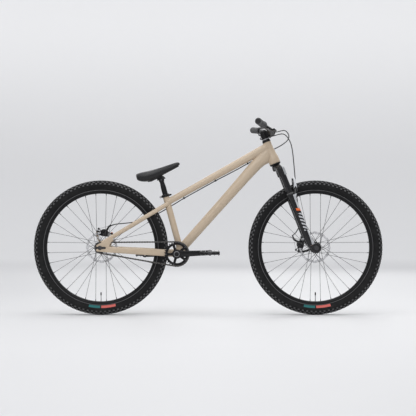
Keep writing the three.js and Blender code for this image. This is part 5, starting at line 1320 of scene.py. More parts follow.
# %% [markdown]
# The tubes, plates and beads become one painted piece. The housing of the rear brake hangs under the
# top tube in three small guides, and each dropout has a screw that pushes on the axle.

# %% The painted frame, cable guides and chain tensioners
painted = [coated(bm, finishes["frame_paint"]) for bm in [*tubes.values(), dropouts]]
as_piece("frame_painted", joined_mesh("frame_painted", painted + [welds]), "frame", sharp=34)


def add_guide(bm, place, along, up, gap):
    """A pad on the tube with a small closed loop that holds the housing."""
    side = along.cross(up).normalized()
    add_limb(bm, [(place + up * gap, 4, 2.2), (place - up * mm, 3.4, 3.6)], 16, 3, side)
    add_rod(bm, place - along * 4.5 * mm, place + along * 4.5 * mm, 4.3, 20, 0.8)


guides = bmesh.new()
top_along = (top_to - top_from).normalized()
top_over = Vector((-top_along.z, 0, top_along.x))
for place, up, gap in ((Vector((-0.1205, 0, 0.5847)), top_over, 6 * mm),
                       (Vector((0.037, 0, 0.672)), top_over, 6 * mm),
                       (Vector((0.2, 0.03, 0.760)), (top_over * 0.4 - sideways).normalized(), 13 * mm)):
    add_guide(guides, place, top_along, up, gap)
as_piece("cable_guides", guides, (), "frame", "black_plastic", sharp=40)

tensioners = bmesh.new()
for side in (-1, 1):
    middle = rear_axle + sideways * side * dropout_plane
    add_rod(tensioners, middle + Vector((7 * mm, 0, 0)), middle + Vector((30 * mm, 0, 0)), 2.2, 14, 0.4)
    outer = middle + sideways * side * 4.4 * mm
    add_plate(tensioners, [
        in_m(round_outline([(7, -6), (24, -5), (24, 5), (7, 6)], 2.5)), circle(2.4 * mm, 16, (17 * mm, 0)),
    ], 1.6 * mm, outer, forward, upward, 0.3 * mm)
    add_rod(tensioners, outer + Vector((17 * mm, 0, 0)), outer + Vector((17 * mm, side * 3.2 * mm, 0)), 3.8,
            20, 0.7)
as_piece("chain_tensioners", tensioners, (), "frame", "dark_metal", sharp=40)
print("frame painted")

# %% [markdown]
# The chain is made as it is on the bike: inner links with two plates and two rollers, outer links
# with two plates and the pins through them. Its path is two straight runs that touch both pitch
# circles, and an arc round each. Whole links are counted off along that path, so every roller lands
# in a valley between two teeth.

# %% The chain's path
chain_pitch = 12.7 * mm
chain_links = 82
chainline = -51 * mm
ring_teeth, cog_teeth = 30, 13


def pitch_radius(teeth):
    return chain_pitch / (2 * math.sin(math.pi / teeth))


stay_line = bottom_bracket - rear_axle
line_turn = math.atan2(stay_line.z, stay_line.x)
chain_lean = math.asin((pitch_radius(ring_teeth) - pitch_radius(cog_teeth)) / stay_line.length)
upper_turn = line_turn + math.pi / 2 + chain_lean
lower_turn = line_turn - math.pi / 2 - chain_lean
straight_run = stay_line.length * math.cos(chain_lean) / chain_pitch
on_ring = (math.pi + 2 * chain_lean) / (2 * math.pi) * ring_teeth


def on_circle(centre, teeth, turn):
    x, z = polar(pitch_radius(teeth), turn)
    return Vector((centre.x + x, chainline, centre.z + z))


def chain_pin(count):
    """The pin so many pitches from where the upper run leaves the cog."""
    ring_step, cog_step = 2 * math.pi / ring_teeth, 2 * math.pi / cog_teeth
    if count <= straight_run:
        start = on_circle(rear_axle, cog_teeth, upper_turn)
        end = on_circle(bottom_bracket, ring_teeth, upper_turn)
        return start.lerp(end, count / straight_run)
    count -= straight_run
    if count <= on_ring:
        return on_circle(bottom_bracket, ring_teeth, upper_turn - count * ring_step)
    count -= on_ring
    if count <= straight_run:
        start = on_circle(bottom_bracket, ring_teeth, lower_turn)
        end = on_circle(rear_axle, cog_teeth, lower_turn)
        return start.lerp(end, count / straight_run)
    return on_circle(rear_axle, cog_teeth, lower_turn - (count - straight_run) * cog_step)


chain_pins = [chain_pin(i + 0.5) for i in range(chain_links)]
print("chain:", chain_links, "links,", round(2 * straight_run + on_ring, 2), "before the cog")

# %% [markdown]
# A side plate is a figure of eight: an arc round each pin with a waist between them. Inner plates
# carry the rollers, outer plates the riveted pins.

# %% Chain links
plate_radius = 4.1 * mm
plate_waist = 3.1 * mm
plate_thickness = 1.05 * mm
inner_gap = 1.75 * mm


def link_outline():
    half = chain_pitch / 2
    right = arc(plate_radius, -math.radians(118), math.radians(118), 8, (half, 0))
    left = arc(plate_radius, math.radians(62), math.radians(298), 8, (-half, 0))
    return right + [(0, plate_waist)] + left + [(0, -plate_waist)]


def link_mesh(gap, radius, reach, rivets):
    """Two plates so far apart, with a round bar on each pin. The bar's radius and reach are in mm."""
    bm = bmesh.new()
    for side in (-1, 1):
        place = Vector((0, 0, side * (gap + plate_thickness / 2)))
        add_plate(bm, [link_outline()], plate_thickness, place, forward, Vector((0, 1, 0)), 0.2 * mm)
        x = side * chain_pitch / 2
        profile = [(radius, -reach), (radius, reach)]
        if rivets:
            profile = [
                (radius * 0.7, -reach), (radius, -reach + 0.4), (radius, reach - 0.4),
                (radius * 0.7, reach),
            ]
        add_turned(bm, profile, (x, 0, 0), (0, 0, 1), 10)
    return to_mesh("link", bm)


inner_marks, outer_marks = [], []
for i, pin in enumerate(chain_pins):
    after = chain_pins[(i + 1) % chain_links]
    (outer_marks if i % 2 else inner_marks).append((pin.lerp(after, 0.5), after - pin, sideways))
inner_link = link_mesh(inner_gap, 3.8, 1.65, False)
outer_link = link_mesh(inner_gap + plate_thickness + 0.15 * mm, 1.85, 4.6, True)
chain_mesh = joined_mesh("chain_links", [
    placed(inner_link, inner_marks, finishes["chain_steel"]),
    placed(outer_link, outer_marks, finishes["chain_steel"]),
])
as_piece("chain_links", chain_mesh, "chain", sharp=32)
print(len(chain_mesh.polygons), "faces in the chain")

# %% [markdown]
# A tooth is what is left between two roller seats. The seat is an arc a hair wider than the roller,
# the flanks rise from it to a short flat tip, and the edge of the plate is eased so that the chain
# drops on. The chainring is cut away between five arms, with a bolt at the end of each.

# %% Chainring, cog and their bolts
roller_seat = 3.95 * mm
tooth_tip = 3.3 * mm
tooth_plate = 2.5 * mm


def toothed_outline(teeth, valley):
    radius = pitch_radius(teeth)
    outline = []
    for i in range(teeth):
        pin_turn = valley + 2 * math.pi * i / teeth
        centre = polar(radius, pin_turn)
        inward = pin_turn + math.pi
        outline += arc(roller_seat, inward + math.radians(64), inward - math.radians(64), 6, centre)
        crest = pin_turn + math.pi / teeth
        for share in (-1, 1):
            outline.append(polar(radius + tooth_tip, crest + share * 0.75 * mm / radius))
    return outline


crank_tilt = math.radians(2.5)
crank_along = Vector((math.cos(crank_tilt), 0, math.sin(crank_tilt)))
crank_over = Vector((-math.sin(crank_tilt), 0, math.cos(crank_tilt)))
window_inner, window_outer, arm_count = 24 * mm, 45.5 * mm, 5
ring_arm = 13 * mm


def chainring_outlines(valley):
    outlines = [toothed_outline(ring_teeth, valley), circle(12.4 * mm, 40)]
    pitch = 2 * math.pi / arm_count
    for i in range(arm_count):
        start = (i + 0.5) * pitch
        wide, narrow = ring_arm / window_outer / 2, ring_arm / window_inner / 2
        window = arc(window_outer, start + wide, start + pitch - wide, 8)
        window += arc(window_inner, start + pitch - narrow, start + narrow, 3)
        outlines.append(round_outline(window, 3 * mm, 3))
    return outlines


ring_valley = upper_turn - (math.ceil(straight_run - 0.5) + 0.5 - straight_run) * 2 * math.pi / ring_teeth
chainring = bmesh.new()
ring_middle = bottom_bracket + sideways * chainline
add_plate(chainring, chainring_outlines(ring_valley - crank_tilt), tooth_plate, ring_middle, crank_along,
          crank_over, 0.45 * mm)
ring_bolts = []
for i in range(arm_count):
    x, z = polar(52.6 * mm, (i + 0.5) * 2 * math.pi / arm_count)
    place = ring_middle + crank_along * x + crank_over * z - sideways * tooth_plate / 2
    ring_bolts.append((place, crank_along, -sideways))
ring_finish = anodised("ring_anodised", 0.8, 0.3)
ring_mesh = coated(chainring, ring_finish)
bolt_mesh = placed(button_bolt(3.9, 1.8), ring_bolts, finishes["dark_metal"])
as_piece("chainring_cut", [ring_mesh, bolt_mesh], "chainring", sharp=30)

travelled = 2 * straight_run + on_ring
cog_valley = lower_turn - (math.ceil(travelled - 0.5) + 0.5 - travelled) * 2 * math.pi / cog_teeth
cog = bmesh.new()
add_plate(cog, [toothed_outline(cog_teeth, cog_valley), circle(17.4 * mm, 36)], tooth_plate,
          rear_axle + sideways * chainline, forward, upward, 0.45 * mm)
as_piece("rear_cog_cut", cog, "rear_cog", sharp=30)
print("teeth", ring_teeth, "and", cog_teeth)

# %% [markdown]
# The cranks are forged: thick at the hub, slim along the arm, with a shallow channel down the outer
# face. Their section is written as shares, so one list serves all stations, and the channel fades out
# near both ends.

# %% Cranks, spindle and bottom bracket cups
crank_length = 165 * mm
hub_half, eye_half = 8.7 * mm, 7 * mm
eye_plane = 72 * mm
hub_planes = {-1: 61.6 * mm, 1: 56 * mm}
# Half the section of an arm: share of the thickness outwards, share of the height.
arm_half_shares = [
    (-1, 0.62), (-0.86, 0.9), (-0.5, 1), (0.5, 1), (0.84, 0.9), (1, 0.68), (1, 0.5), (0.62, 0.36),
]
# Stations of an arm: share of its length, how far out it has come, share of the height, channel.
arm_stations = [
    (0.02, 0, 0.98, 0), (0.1, 0.04, 0.86, 0.1), (0.17, 0.1, 0.76, 1), (0.34, 0.18, 0.7, 1),
    (0.5, 0.3, 0.66, 1), (0.68, 0.55, 0.63, 1), (0.8, 0.76, 0.61, 1), (0.87, 0.86, 0.6, 0.1),
    (0.98, 1, 0.58, 0),
]


def on_crank(x, y, z):
    """A place in the crank's frame, in metres from the bottom bracket's middle."""
    return bottom_bracket + crank_along * x + sideways * y + crank_over * z


def arm_ring(side, plane, reach, height, channel):
    ring = []
    for out, up in arm_half_shares + [(o, -u) for o, u in reversed(arm_half_shares)]:
        if (out, abs(up)) == arm_half_shares[-1]:
            out = 1 - (1 - out) * channel
        ring.append(on_crank(reach, side * (plane + out * eye_half), up * height))
    return ring


def dress_crank(name, side):
    bm = bmesh.new()
    hub_plane = hub_planes[side]
    reach = -side * crank_length
    rows = []
    for share, out, height, channel in arm_stations:
        plane = hub_plane + (eye_plane - hub_plane) * out
        rows.append((share * reach, plane, height * 20.9 * mm, channel))
    add_rings(bm, [arm_ring(side, plane, x, height, channel) for x, plane, height, channel in rows])
    for x, plane, half, radius, sides, chamfer in ((0, hub_plane, hub_half, 22, 56, 1.4),
                                                   (reach, eye_plane, eye_half, 14, 40, 1.2)):
        inner, outer = [on_crank(x, side * y, 0) for y in (plane - half, plane + half)]
        add_rod(bm, inner, outer, radius, sides, chamfer)
    bmesh.ops.recalc_face_normals(bm, faces=bm.faces)
    as_piece(f"{name}_crank_forged", bm, f"{name}_crank_arm", sharp=32, round_edge=0.4 * mm)


spindle = bmesh.new()
add_rod(spindle, on_crank(0, -70.6 * mm, 0), on_crank(0, 65 * mm, 0), 12, 40)
spindle_mesh = coated(spindle, finishes["dark_metal"])
cap_meshes = []
cap_finish = bright_steel("satin_grey", 0.2, 0.3, 0.34)
cap_profile = [(14.5, 0), (14.5, 2.6), (13.2, 3.5), (11.6, 3.5), (10.9, 1.4), (10.9, 0)]
core_profile = [(11, 0), (11, 1.6), (7.4, 2.4), (6.8, 0.8), (0, 0.8)]
for side, face in ((-1, 70.6), (1, 65.0)):
    foot, outward = on_crank(0, side * face * mm, 0), sideways * side
    cap_meshes.append(coated(turned_mesh(cap_profile, 40, foot, outward, 0.5), cap_finish))
    cap_meshes.append(coated(turned_mesh(core_profile, 32, foot, outward, 0.4), finishes["black_metal"]))
as_piece("spindle_and_caps", [spindle_mesh] + cap_meshes, "crank_spindle", sharp=32)

for name, side in both_sides:
    dress_crank(name, side)
    cup = bmesh.new()
    add_washer(cup, [
        (12.6, 30), (17.2, 30), (17.2, 36.8), (21.5, 36.8), (21.5, 43.6), (20.4, 45.8), (12.6, 45.8),
    ], bottom_bracket, sideways * side, 56)
    for i in range(16):
        x, z = polar(21.3 * mm, 2 * math.pi * i / 16)
        foot = bottom_bracket + Vector((x, side * 37.6 * mm, z))
        add_rod(cup, foot, foot + sideways * side * 5.2 * mm, 1.1, 8)
    as_piece(f"{name}_cup_turned", cup, f"{name}_bottom_bracket_cup", sharp=32)
print("cranks forged")

# %% [markdown]
# The pedals are cast platforms, slightly hollow in the middle of both faces, with windows either side
# of the axle barrel and short steel pins that bite into the shoe.

# %% Pedals
pedal_near, pedal_width = 84, 98
pedal_far = pedal_near + pedal_width
pedal_middle = (pedal_near + pedal_far) / 2
pedal_half_length, pedal_half_thickness = 49, 8
pedal_nose, pedal_rail = 32, 11


def pedal_outlines(side):
    h, n = pedal_half_length, pedal_nose
    shape = [(-h, pedal_middle - n), (-n, pedal_near), (n, pedal_near), (h, pedal_middle - n),
             (h, pedal_middle + n), (n, pedal_far), (-n, pedal_far), (-h, pedal_middle + n)]
    outlines = [round_outline(shape, 7, 4)]
    for end in (-1, 1):
        inner, outer = end * 12.5, end * (h - pedal_rail)
        window = [
            (inner, pedal_near + pedal_rail), (outer, pedal_middle - n + 3), (outer, pedal_middle + n - 3),
            (inner, pedal_far - pedal_rail),
        ]
        outlines.append(round_outline(window, 5, 3))
    return [in_m([(x, side * y) for x, y in outline]) for outline in outlines]


def dress_pedal(name, side):
    eye = on_crank(-side * crank_length, 0, 0)
    plate = bmesh.new()
    add_plate(plate, pedal_outlines(side), 2 * pedal_half_thickness * mm, Vector(), forward, sideways,
              1.4 * mm)
    for vert in plate.verts:
        hollow = 0.74 + 0.26 * min(1, abs(vert.co.x) / (pedal_half_length * mm)) ** 1.6
        vert.co.z *= hollow
        vert.co += eye
    near, far = eye + sideways * side * pedal_near * mm, eye + sideways * side * pedal_far * mm
    add_rod(plate, near, far, 11, 36, 1.6)
    body = coated(plate, finishes["black_metal"])
    pins = []
    places = [(x, pedal_middle + y) for x in (-43.5, 43.5) for y in (-25, -8.5, 8.5, 25)]
    places += [(x, y) for x in (-22, 22) for y in (pedal_near + 5.5, pedal_far - 5.5)]
    for x, y in places:
        hollow = 0.74 + 0.26 * (abs(x) / pedal_half_length) ** 1.6
        for up in (-1, 1):
            foot = eye + Vector((x * mm, side * y * mm, up * (pedal_half_thickness * hollow - 0.4) * mm))
            pins.append((foot, forward, upward * up))
    pin = turned_mesh([(2.4, 0), (2.4, 1.4), (1.7, 1.8), (1.7, 4.9), (1.2, 5.4)], 8)
    cap = coated(turned_mesh([
        (9.0, -0.5), (9.0, 1.2), (7.5, 2.2), (3.2, 2.2), (2.8, 0.6), (0, 0.6),
    ], 28, far, sideways * side, corner=0.5), finishes["dark_metal"])
    meshes = [body, placed(pin, pins, finishes["steel"]), cap]
    as_piece(f"{name}_pedal_platform", meshes, f"{name}_pedal", sharp=32)
    axle = bmesh.new()
    inner = (eye_plane - eye_half) / mm
    add_turned(axle, [
        (6.0, inner - 0.6), (6.5, inner), (6.5, 79.3), (9.5, 79.3), (9.5, 82.3), (7, 82.6),
        (7, pedal_near + 3),
    ], eye, sideways * side, 32, 0.6)
    as_piece(f"{name}_pedal_axle_turned", axle, f"{name}_pedal_axle", sharp=32)


for name, side in both_sides:
    dress_pedal(name, side)
print("pedals cast")

# %% [markdown]
# The headset and the fork's crown turn with the bars. Their shapes are turnings round the steering
# axis and one smooth loft from the boss under the headset out to each leg's clamp.

# %% Headset and fork crown
crown_race = -67.5
# How far the fork's legs stand ahead of the steering axis and to each side of it.
leg_ahead, leg_spread = 12.5, 65


def dress_turning(name, node, profile, corner=0.6, base=head_centre):
    """A ring along the steering axis from a closed profile in mm."""
    bm = bmesh.new()
    ring = rounded(profile + [profile[0]], corner, 2)[:-1]
    add_washer(bm, ring, base, head_up, 56)
    as_piece(name, bm, node, sharp=32)


dress_turning("upper_cup_turned", "upper_headset_cup", [
    (14.9, 48), (20.2, 48), (20.2, 57.8), (21.5, 57.8), (21.5, 62.6), (14.9, 62.6),
])
dress_turning("lower_cup_turned", "lower_headset_cup", [
    (14.9, -48), (20.2, -48), (20.2, -57.8), (28.5, -57.8), (28.5, -62.2), (25.2, -64.2), (25.2, -67.1),
    (14.9, -67.1),
])
dress_turning("headset_cover_and_spacer", "headset_spacer", [
    (14.9, 63.1), (20.5, 63.1), (20.2, 66.4), (18, 69.3), (18, 70.2), (17.5, 70.3), (17.5, 70.6),
    (18, 70.7), (18, 74.4), (14.9, 74.4),
], 0.3)

crown = bmesh.new()
add_turned(crown, [
    (14, -95), (20.5, -95), (23, -90), (23, -78), (20.5, -70), (20.5, crown_race), (14.3, crown_race),
    (14.3, 110.5), (11.5, 110.5), (11.5, 60),
], head_centre, head_up, 56, 1.5, 3)
for side in (-1, 1):
    add_limb(crown, [
        (at_head(0, 0, -81), 19, 12), (at_head(3, side * 20, -81.5), 18.4, 12.6),
        (at_head(8.75, side * 40, -86), 17.5, 13), (at_head(12, side * 56, -98), 17.5, 14),
        (at_head(leg_ahead, side * leg_spread, -108), 17, 13),
    ], 40, 2.9, head_forward, 6)
    add_turned(crown, [
        (15.6, -130), (19.6, -130), (20.5, -128.5), (20.5, -92), (18.5, -86.6), (15.4, -86), (15.4, -84),
        (0, -84),
    ], at_head(leg_ahead, side * leg_spread, 0), head_up, 48, 1.4, 3)


def in_head(mesh):
    """Every vertex in the steering frame, in mm, as rows of ahead, side and up."""
    rows = [vert.co - head_centre for vert in mesh.vertices]
    return np.array([(p.dot(head_forward), p.y, p.dot(head_up)) for p in rows]) / mm


def crown_paint():
    """Gloss black with a painted highlight on the front edge, kept by a number that says how far ahead a point is.
    """
    finish = Finish("crown_paint", coat=0.22, specular=0.25)
    ahead = finish.kept("ahead")
    painted_highlight = ahead.above(21.0, 0.6)
    base = finish.mix(finish.noise(11.0), (0.0075, 0.0075, 0.0085), (0.011, 0.011, 0.012))
    base = finish.mix(painted_highlight, base, (0.32, 0.33, 0.34))
    return finish.done(base, finish.noise(120.0) * 0.1 + 0.24, [(finish.noise(500.0, detail=1.0), 0.00003)])


crown_mesh = to_mesh("crown", crown)
note(crown_mesh, "ahead", in_head(crown_mesh)[:, 0])
as_piece("crown_forged", crown_mesh, "fork_crown_and_steerer", finish=crown_paint(), sharp=34)

# %% [markdown]
# The stanchions are the fork's polished inner legs. Above the rubber wipers they carry a hard black
# coating that is much shinier than paint, and oil leaves a faint ring where the wipers stop.

# %% Stanchions and wipers


def stanchion_coating():
    finish = Finish("stanchion_coating", metallic=0.85, coat=0.4)
    height = finish.kept("up")
    ring = height.above(-221.0, 1.0) * (1 - height.above(-214.0, 2.5))
    clouds = finish.noise(30.0, stretch=(1.0, 1.0, 0.2))
    base = finish.mix(clouds, (0.016, 0.016, 0.018), (0.03, 0.03, 0.033))
    base = finish.mix(ring * 0.5, base, (0.02, 0.018, 0.016))
    return finish.done(base, ring * 0.15 + clouds * 0.05 + 0.12)


stanchion_finish = stanchion_coating()
for name, side in both_sides:
    tube = bmesh.new()
    foot = at_head(leg_ahead, side * leg_spread, 0)
    add_turned(tube, [
        (13.2, -352), (15.5, -351), (15.5, -232), (15.5, -222), (15.5, -214), (15.5, -150), (15.5, -90),
        (0, -90),
    ], foot, head_up, 48)
    mesh = to_mesh("stanchion", tube)
    note(mesh, "up", in_head(mesh)[:, 2])
    as_piece(f"{name}_stanchion_coated", mesh, f"{name}_stanchion", finish=stanchion_finish, sharp=40)
    dress_turning(f"{name}_wiper_lips", f"{name}_fork_wiper", [
        (15.8, -227.6), (18.6, -227.6), (18.6, -225.2), (17.7, -224.7), (17.7, -223.9), (18.1, -223.5),
        (17.3, -221.9), (15.8, -221.5),
    ], 0.4, base=foot)

# %% [markdown]
# The lowers are one magnesium casting: two legs, an arch over the tyre and the dropouts, painted
# gloss black. The near edge of the legs carries plain silver and orange marks, put on as paint by two
# numbers that every vertex keeps: how far down the leg it is, and how far round it from the front.
# The front of the arch carries a painted highlight in light grey, set by a third number.

# %% Fork lowers


def lowers_paint():
    finish = Finish("lowers_paint", coat=0.22, specular=0.25)
    down = finish.kept("down")
    turn = finish.kept("turn")
    dust = finish.noise(160.0, detail=6.0, seed=2.0).above(0.58, 0.08)
    base = finish.mix(finish.noise(11.0), (0.0075, 0.0075, 0.0085), (0.012, 0.012, 0.013))
    base = finish.mix(dust * 0.1, base, (0.06, 0.06, 0.06))

    def band(value, low, high, soft):
        return value.above(low, soft) * (1 - value.above(high, soft))

    stripe = band(down, 236.0, 318.0, 0.5) * band(turn, 4.0, 62.0, 1.2)
    slant = (down + turn * 0.22) / 18.6
    slant = slant - slant.maths("FLOOR")
    hatch = slant.above(0.5, 0.04) * band(down, 332.0, 424.0, 0.5) * band(turn, 0.0, 96.0, 1.2)
    strip = band(down, 424.0, 500.0, 0.5) * band(turn, 0.0, 52.0, 1.2)
    accent = band(down + turn * 0.12, 314.0, 327.0, 0.5) * band(turn, 4.0, 96.0, 1.2)
    front = finish.kept("front")
    # The silver marks down the legs, and the front of the arch painted light grey as a painted highlight.
    silver_marks_and_highlight = stripe.maths("MAXIMUM", hatch).maths("MAXIMUM", strip).maths("MAXIMUM", front.above(1.0, 0.6))
    base = finish.mix(silver_marks_and_highlight, base, (0.52, 0.53, 0.55))
    base = finish.mix(accent, base, (0.78, 0.16, 0.045))
    rough = dust * 0.1 + silver_marks_and_highlight * 0.1 + 0.2
    return finish.done(base, rough, [(finish.noise(500.0, detail=1.0), 0.00003)])


lowers_finish = lowers_paint()
axle_up = -524.5


def add_leg(bm, side):
    spread = side * leg_spread
    stations = [
        (at_head(leg_ahead, spread, -230), 18.9, 18.9), (at_head(leg_ahead, spread, -300), 18.7, 18.7),
        (at_head(leg_ahead, spread, -380), 18.6, 18.6), (at_head(leg_ahead, spread, -449), 18.2, 18.4),
        (at_head(15.5, spread, -488), 14.5, 17), (at_head(22, side * 60, -508), 9.5, 17),
        (at_head(29, side * 57.5, -522), 7.6, 17),
    ]
    add_limb(bm, stations, 56, 2.1, sideways, 10)
    add_turned(bm, [
        (16.2, -252), (20.0, -252), (20.8, -249), (20.8, -231), (19.4, -227.9), (15.9, -227.9),
        (15.9, -236),
    ], at_head(leg_ahead, spread, 0), head_up, 56, 1, 3)
    foot = at_head(35.6, 0, axle_up)
    add_turned(bm, [
        (7.8, 50.1), (21.5, 50.1), (23, 52), (23, 62.5), (21, 64.9), (7.8, 64.9),
    ], foot, sideways * side, 56, 1.2, 3)


lowers = bmesh.new()
for side in (-1, 1):
    add_leg(lowers, side)
arch_half = [
    (22, 65, -250), (33, 59.5, -240), (47, 52.5, -212), (54, 36, -181), (56.5, 15, -168.5),
    (56.8, 0, -167.6),
]
arch = [(at_head(x, y, z), 8.6, 10.5) for x, y, z in arch_half]
arch += [(at_head(x, -y, z), 8.6, 10.5) for x, y, z in reversed(arch_half[:-1])]
add_limb(lowers, arch, 36, 3.2, head_forward, 6)
add_brake_posts(lowers, "front", [at_head(12.5, 57, -440), at_head(24, 57, -530)])
lowers_mesh = to_mesh("lowers", lowers)
rows = in_head(lowers_mesh)
legs = np.where((rows[:, 2] < -228) & (rows[:, 2] > -503) & (np.abs(rows[:, 1]) > 40), 1.0, 0.0)
turn = np.degrees(np.arctan2(np.abs(rows[:, 1]) - leg_spread, rows[:, 0] - leg_ahead))
note(lowers_mesh, "down", -rows[:, 2] * legs)
note(lowers_mesh, "turn", turn)
# How far ahead of the arch's middle line a point lies, for the painted highlight on the arch's front.
arch_sides = [y for _, y, _ in reversed(arch_half)]
arch_ahead = [x for x, _, _ in reversed(arch_half)]
past_middle = rows[:, 0] - np.interp(np.abs(rows[:, 1]), arch_sides, arch_ahead)
on_arch = (rows[:, 2] > -243) & (np.abs(rows[:, 1]) < 60)
note(lowers_mesh, "front", np.where(on_arch, past_middle, -10))
as_piece("lowers_cast", lowers_mesh, "fork_lowers", finish=lowers_finish, sharp=34)

front_axle_bm = bmesh.new()
add_turned(front_axle_bm, [
    (0, -68.3), (5.2, -68.3), (5.2, -66.6), (10.6, -66.6), (12, -67.4), (12, -65.4), (7.5, -65.3),
    (7.5, 65.3), (12, 65.4), (12, 67.4), (10.6, 68.3), (0, 68.3),
], front_axle, sideways, 40, 0.5)
as_piece("front_axle_turned", front_axle_bm, "front_axle", sharp=32)
print("fork dressed")

# %% [markdown]
# The stem holds the bar in a split clamp: two pinch bolts behind grip the steerer, four on the
# faceplate grip the bar. The castings have soft corners, so their sections are superellipses.

# %% Stem, faceplate and top cap
bar_height = 93.7
stem_reach = 36
stem_finish = anodised("stem_anodised", 0.9, 0.36)
bolt_head = button_bolt(3.4, 2.2)


def stem_ring(ahead, half_width, half_height, roundness=4.2):
    return oval(at_head(ahead, 0, bar_height), sideways, head_up, half_width * mm, half_height * mm, 48,
                roundness)


stem = bmesh.new()
add_turned(stem, [
    (14.4, 74.7), (18.2, 74.7), (19, 76), (19, 111.4), (18.2, 112.7), (14.4, 112.7),
], head_centre, head_up, 56, 0.8)
add_rings(stem, [stem_ring(x, y, z) for x, y, z in [
    (2, 14, 13.5), (10, 15, 14), (18, 18, 16), (24, 22, 19.5), (28, 23.8, 20.8), (36.4, 24, 21),
    (37, 23.4, 20.4),
]])
stem_bolts = []
for up in (bar_height - 10.6, bar_height + 10.6):
    near, middle, far = [at_head(-19.5, y, up) for y in (-13, 0, 13)]
    add_rod(stem, near, far, 6, 28, 0.9)
    add_limb(stem, [(middle, 12.6, 5.9), (at_head(-6, 0, up), 12.6, 6.4)], 24, 5, sideways)
    stem_bolts.append((near, head_forward, -sideways))
stem_mesh = coated(stem, stem_finish)
as_piece("stem_cast", [stem_mesh, placed(bolt_head, stem_bolts, finishes["steel"])], "stem", sharp=34)

plate_bm = bmesh.new()
add_rings(plate_bm, [stem_ring(x, y, z, 3.6) for x, y, z in [
    (38, 23.6, 20.8), (38.6, 24, 21), (43, 24, 20.6), (49, 23.6, 18), (54, 23, 14), (57, 21.6, 10),
    (57.9, 19, 7),
]])
face_bolts = []
for side in (-17, 17):
    for up in (-15.4, 15.4):
        face_bolts.append((at_head(46.4, side, bar_height + up), sideways,
                           head_forward + head_up * up * 0.03))
plate_piece = coated(plate_bm, stem_finish)
as_piece("faceplate_cast", [
    plate_piece, placed(bolt_head, face_bolts, finishes["steel"]),
], "stem_faceplate", sharp=34)

cap = bmesh.new()
add_turned(cap, [
    (0, 106), (11.2, 106), (11.2, 113), (17, 113), (17, 115.6), (15.4, 117), (6.4, 117), (5.8, 115.4),
    (0, 115.4),
], head_centre, head_up, 48, 0.4)
cap_mesh = coated(cap, stem_finish)
cap_bolt = placed(button_bolt(4.6, 2.4), [(at_head(0, 0, 115.4), head_forward, head_up)], finishes["steel"])
as_piece("top_cap_turned", [cap_mesh, cap_bolt], "headset_top_cap", sharp=32)
spacer_ring = bmesh.new()
add_washer(spacer_ring, [(14.9, 70.8), (18.2, 70.8), (18.2, 74.3), (14.9, 74.3)], head_centre, head_up, 56)
as_piece("bright_spacer", spacer_ring, (), "steering", "steel", sharp=32)
print("stem cast")

# %% [markdown]
# The bar is one butted tube: fat where the stem grips it, slimmer after the bends, swept back and up
# to the grips.

# %% Handlebar and grips
bar_centre = at_head(stem_reach, 0, bar_height)
bar_half = 379
# Half the bar from its middle: distance out, back and up, and its radius.
bar_half_rows = [
    (0, 0, 0, 15.9), (38, 0, 0, 15.9), (52, -2.6, 2.1, 15.6), (84, -9.4, 7.6, 13.4), (104, -13.8, 11.2, 12.1),
    (118, -16.8, 13.3, 11.3), (136, -20.8, 14.7, 11.1), (240, -44.4, 22.9, 11.1), (bar_half, -76, 34, 11.1),
]


def on_bar(side, width):
    """The bar's centre so far out from the stem, in metres."""
    rows = np.array(bar_half_rows, float)
    back, rise = np.interp(width, rows[:, 0], rows[:, 1]), np.interp(width, rows[:, 0], rows[:, 2])
    return bar_centre + Vector((back, side * width, rise)) * mm


bar = bmesh.new()
half_rows = [(Vector((back, width, rise)), radius) for width, back, rise, radius in bar_half_rows]
bar_rows = [(bar_centre + Vector((p.x, -p.y, p.z)) * mm, r, r) for p, r in reversed(half_rows[1:])]
bar_rows += [(bar_centre + p * mm, r, r) for p, r in half_rows]
add_limb(bar, bar_rows, 40, 2, upward, 6)
as_piece("handlebar_tube", bar, "handlebar", finish=anodised("bar_anodised", 1.1, 0.3), sharp=40)


def grip_profile(length):
    """Soft ribs between an inner flange and a smooth end."""
    profile = [(11.3, 0), (17.6, 0), (18.5, 0.9), (18.5, 4.1), (17.6, 5), (15.6, 6)]
    at = 7.5
    while at < length - 14:
        profile += [(15.1, at), (16.1, at + 0.7), (16.1, at + 2.2), (15.1, at + 2.9)]
        at += 3.7
    profile += [(15.4, at + 1), (16.2, at + 2), (16.2, length - 0.6), (15.4, length)]
    return profile


for name, side in both_sides:
    start, end = on_bar(side, 249), on_bar(side, bar_half)
    along = (end - start).normalized()
    length = (end - start).length / mm + 2.6
    grip = bmesh.new()
    profile = grip_profile(length) + [(12.4, length + 0.4), (12.0, length - 0.8), (0, length - 0.8)]
    add_turned(grip, profile, start, along, 40)
    mesh = coated(grip, finishes["rubber"])
    plug_bm = coated(turned_mesh([
        (10, -6), (11.9, -1), (11.9, 0.6), (10.8, 1.4), (6, 1.6), (5.4, 0.8), (0, 0.8),
    ], 32, start + along * (length - 0.6) * mm, along, corner=0.4), finishes["black_plastic"])
    as_piece(f"{name}_grip_ribbed", [mesh, plug_bm], f"{name}_grip", sharp=46)
print("grips ribbed")

# %% [markdown]
# Each brake lever turns in a forked bracket clamped inboard of the grip. The blade is forged: a hook
# near the pivot, a long flat finger rest and a ball end. The housing leaves through a knurled screw
# that takes up slack.

# %% Brake levers and their brackets
perch_width = 236
# The blade from its pivot: forward and outboard, then half width and half thickness.
blade_rows = [
    (22.4, -1.5, 3.4, 3.3), (27, 0, 5.2, 3.4), (39.2, 3.1, 5.2, 3.4), (50, 8.6, 4.8, 3.4),
    (59.4, 16.3, 4.6, 3.7), (68, 27, 4.5, 5), (72.6, 38, 4.3, 5.8), (74, 55, 3.7, 6), (72.8, 72, 3.5, 6),
    (71.9, 86, 3.6, 5.8), (73.8, 96, 4.6, 5.4), (75.6, 101.5, 5.6, 5.6), (76.2, 104.5, 5, 5),
    (76.5, 106.6, 2.4, 2.4),
]


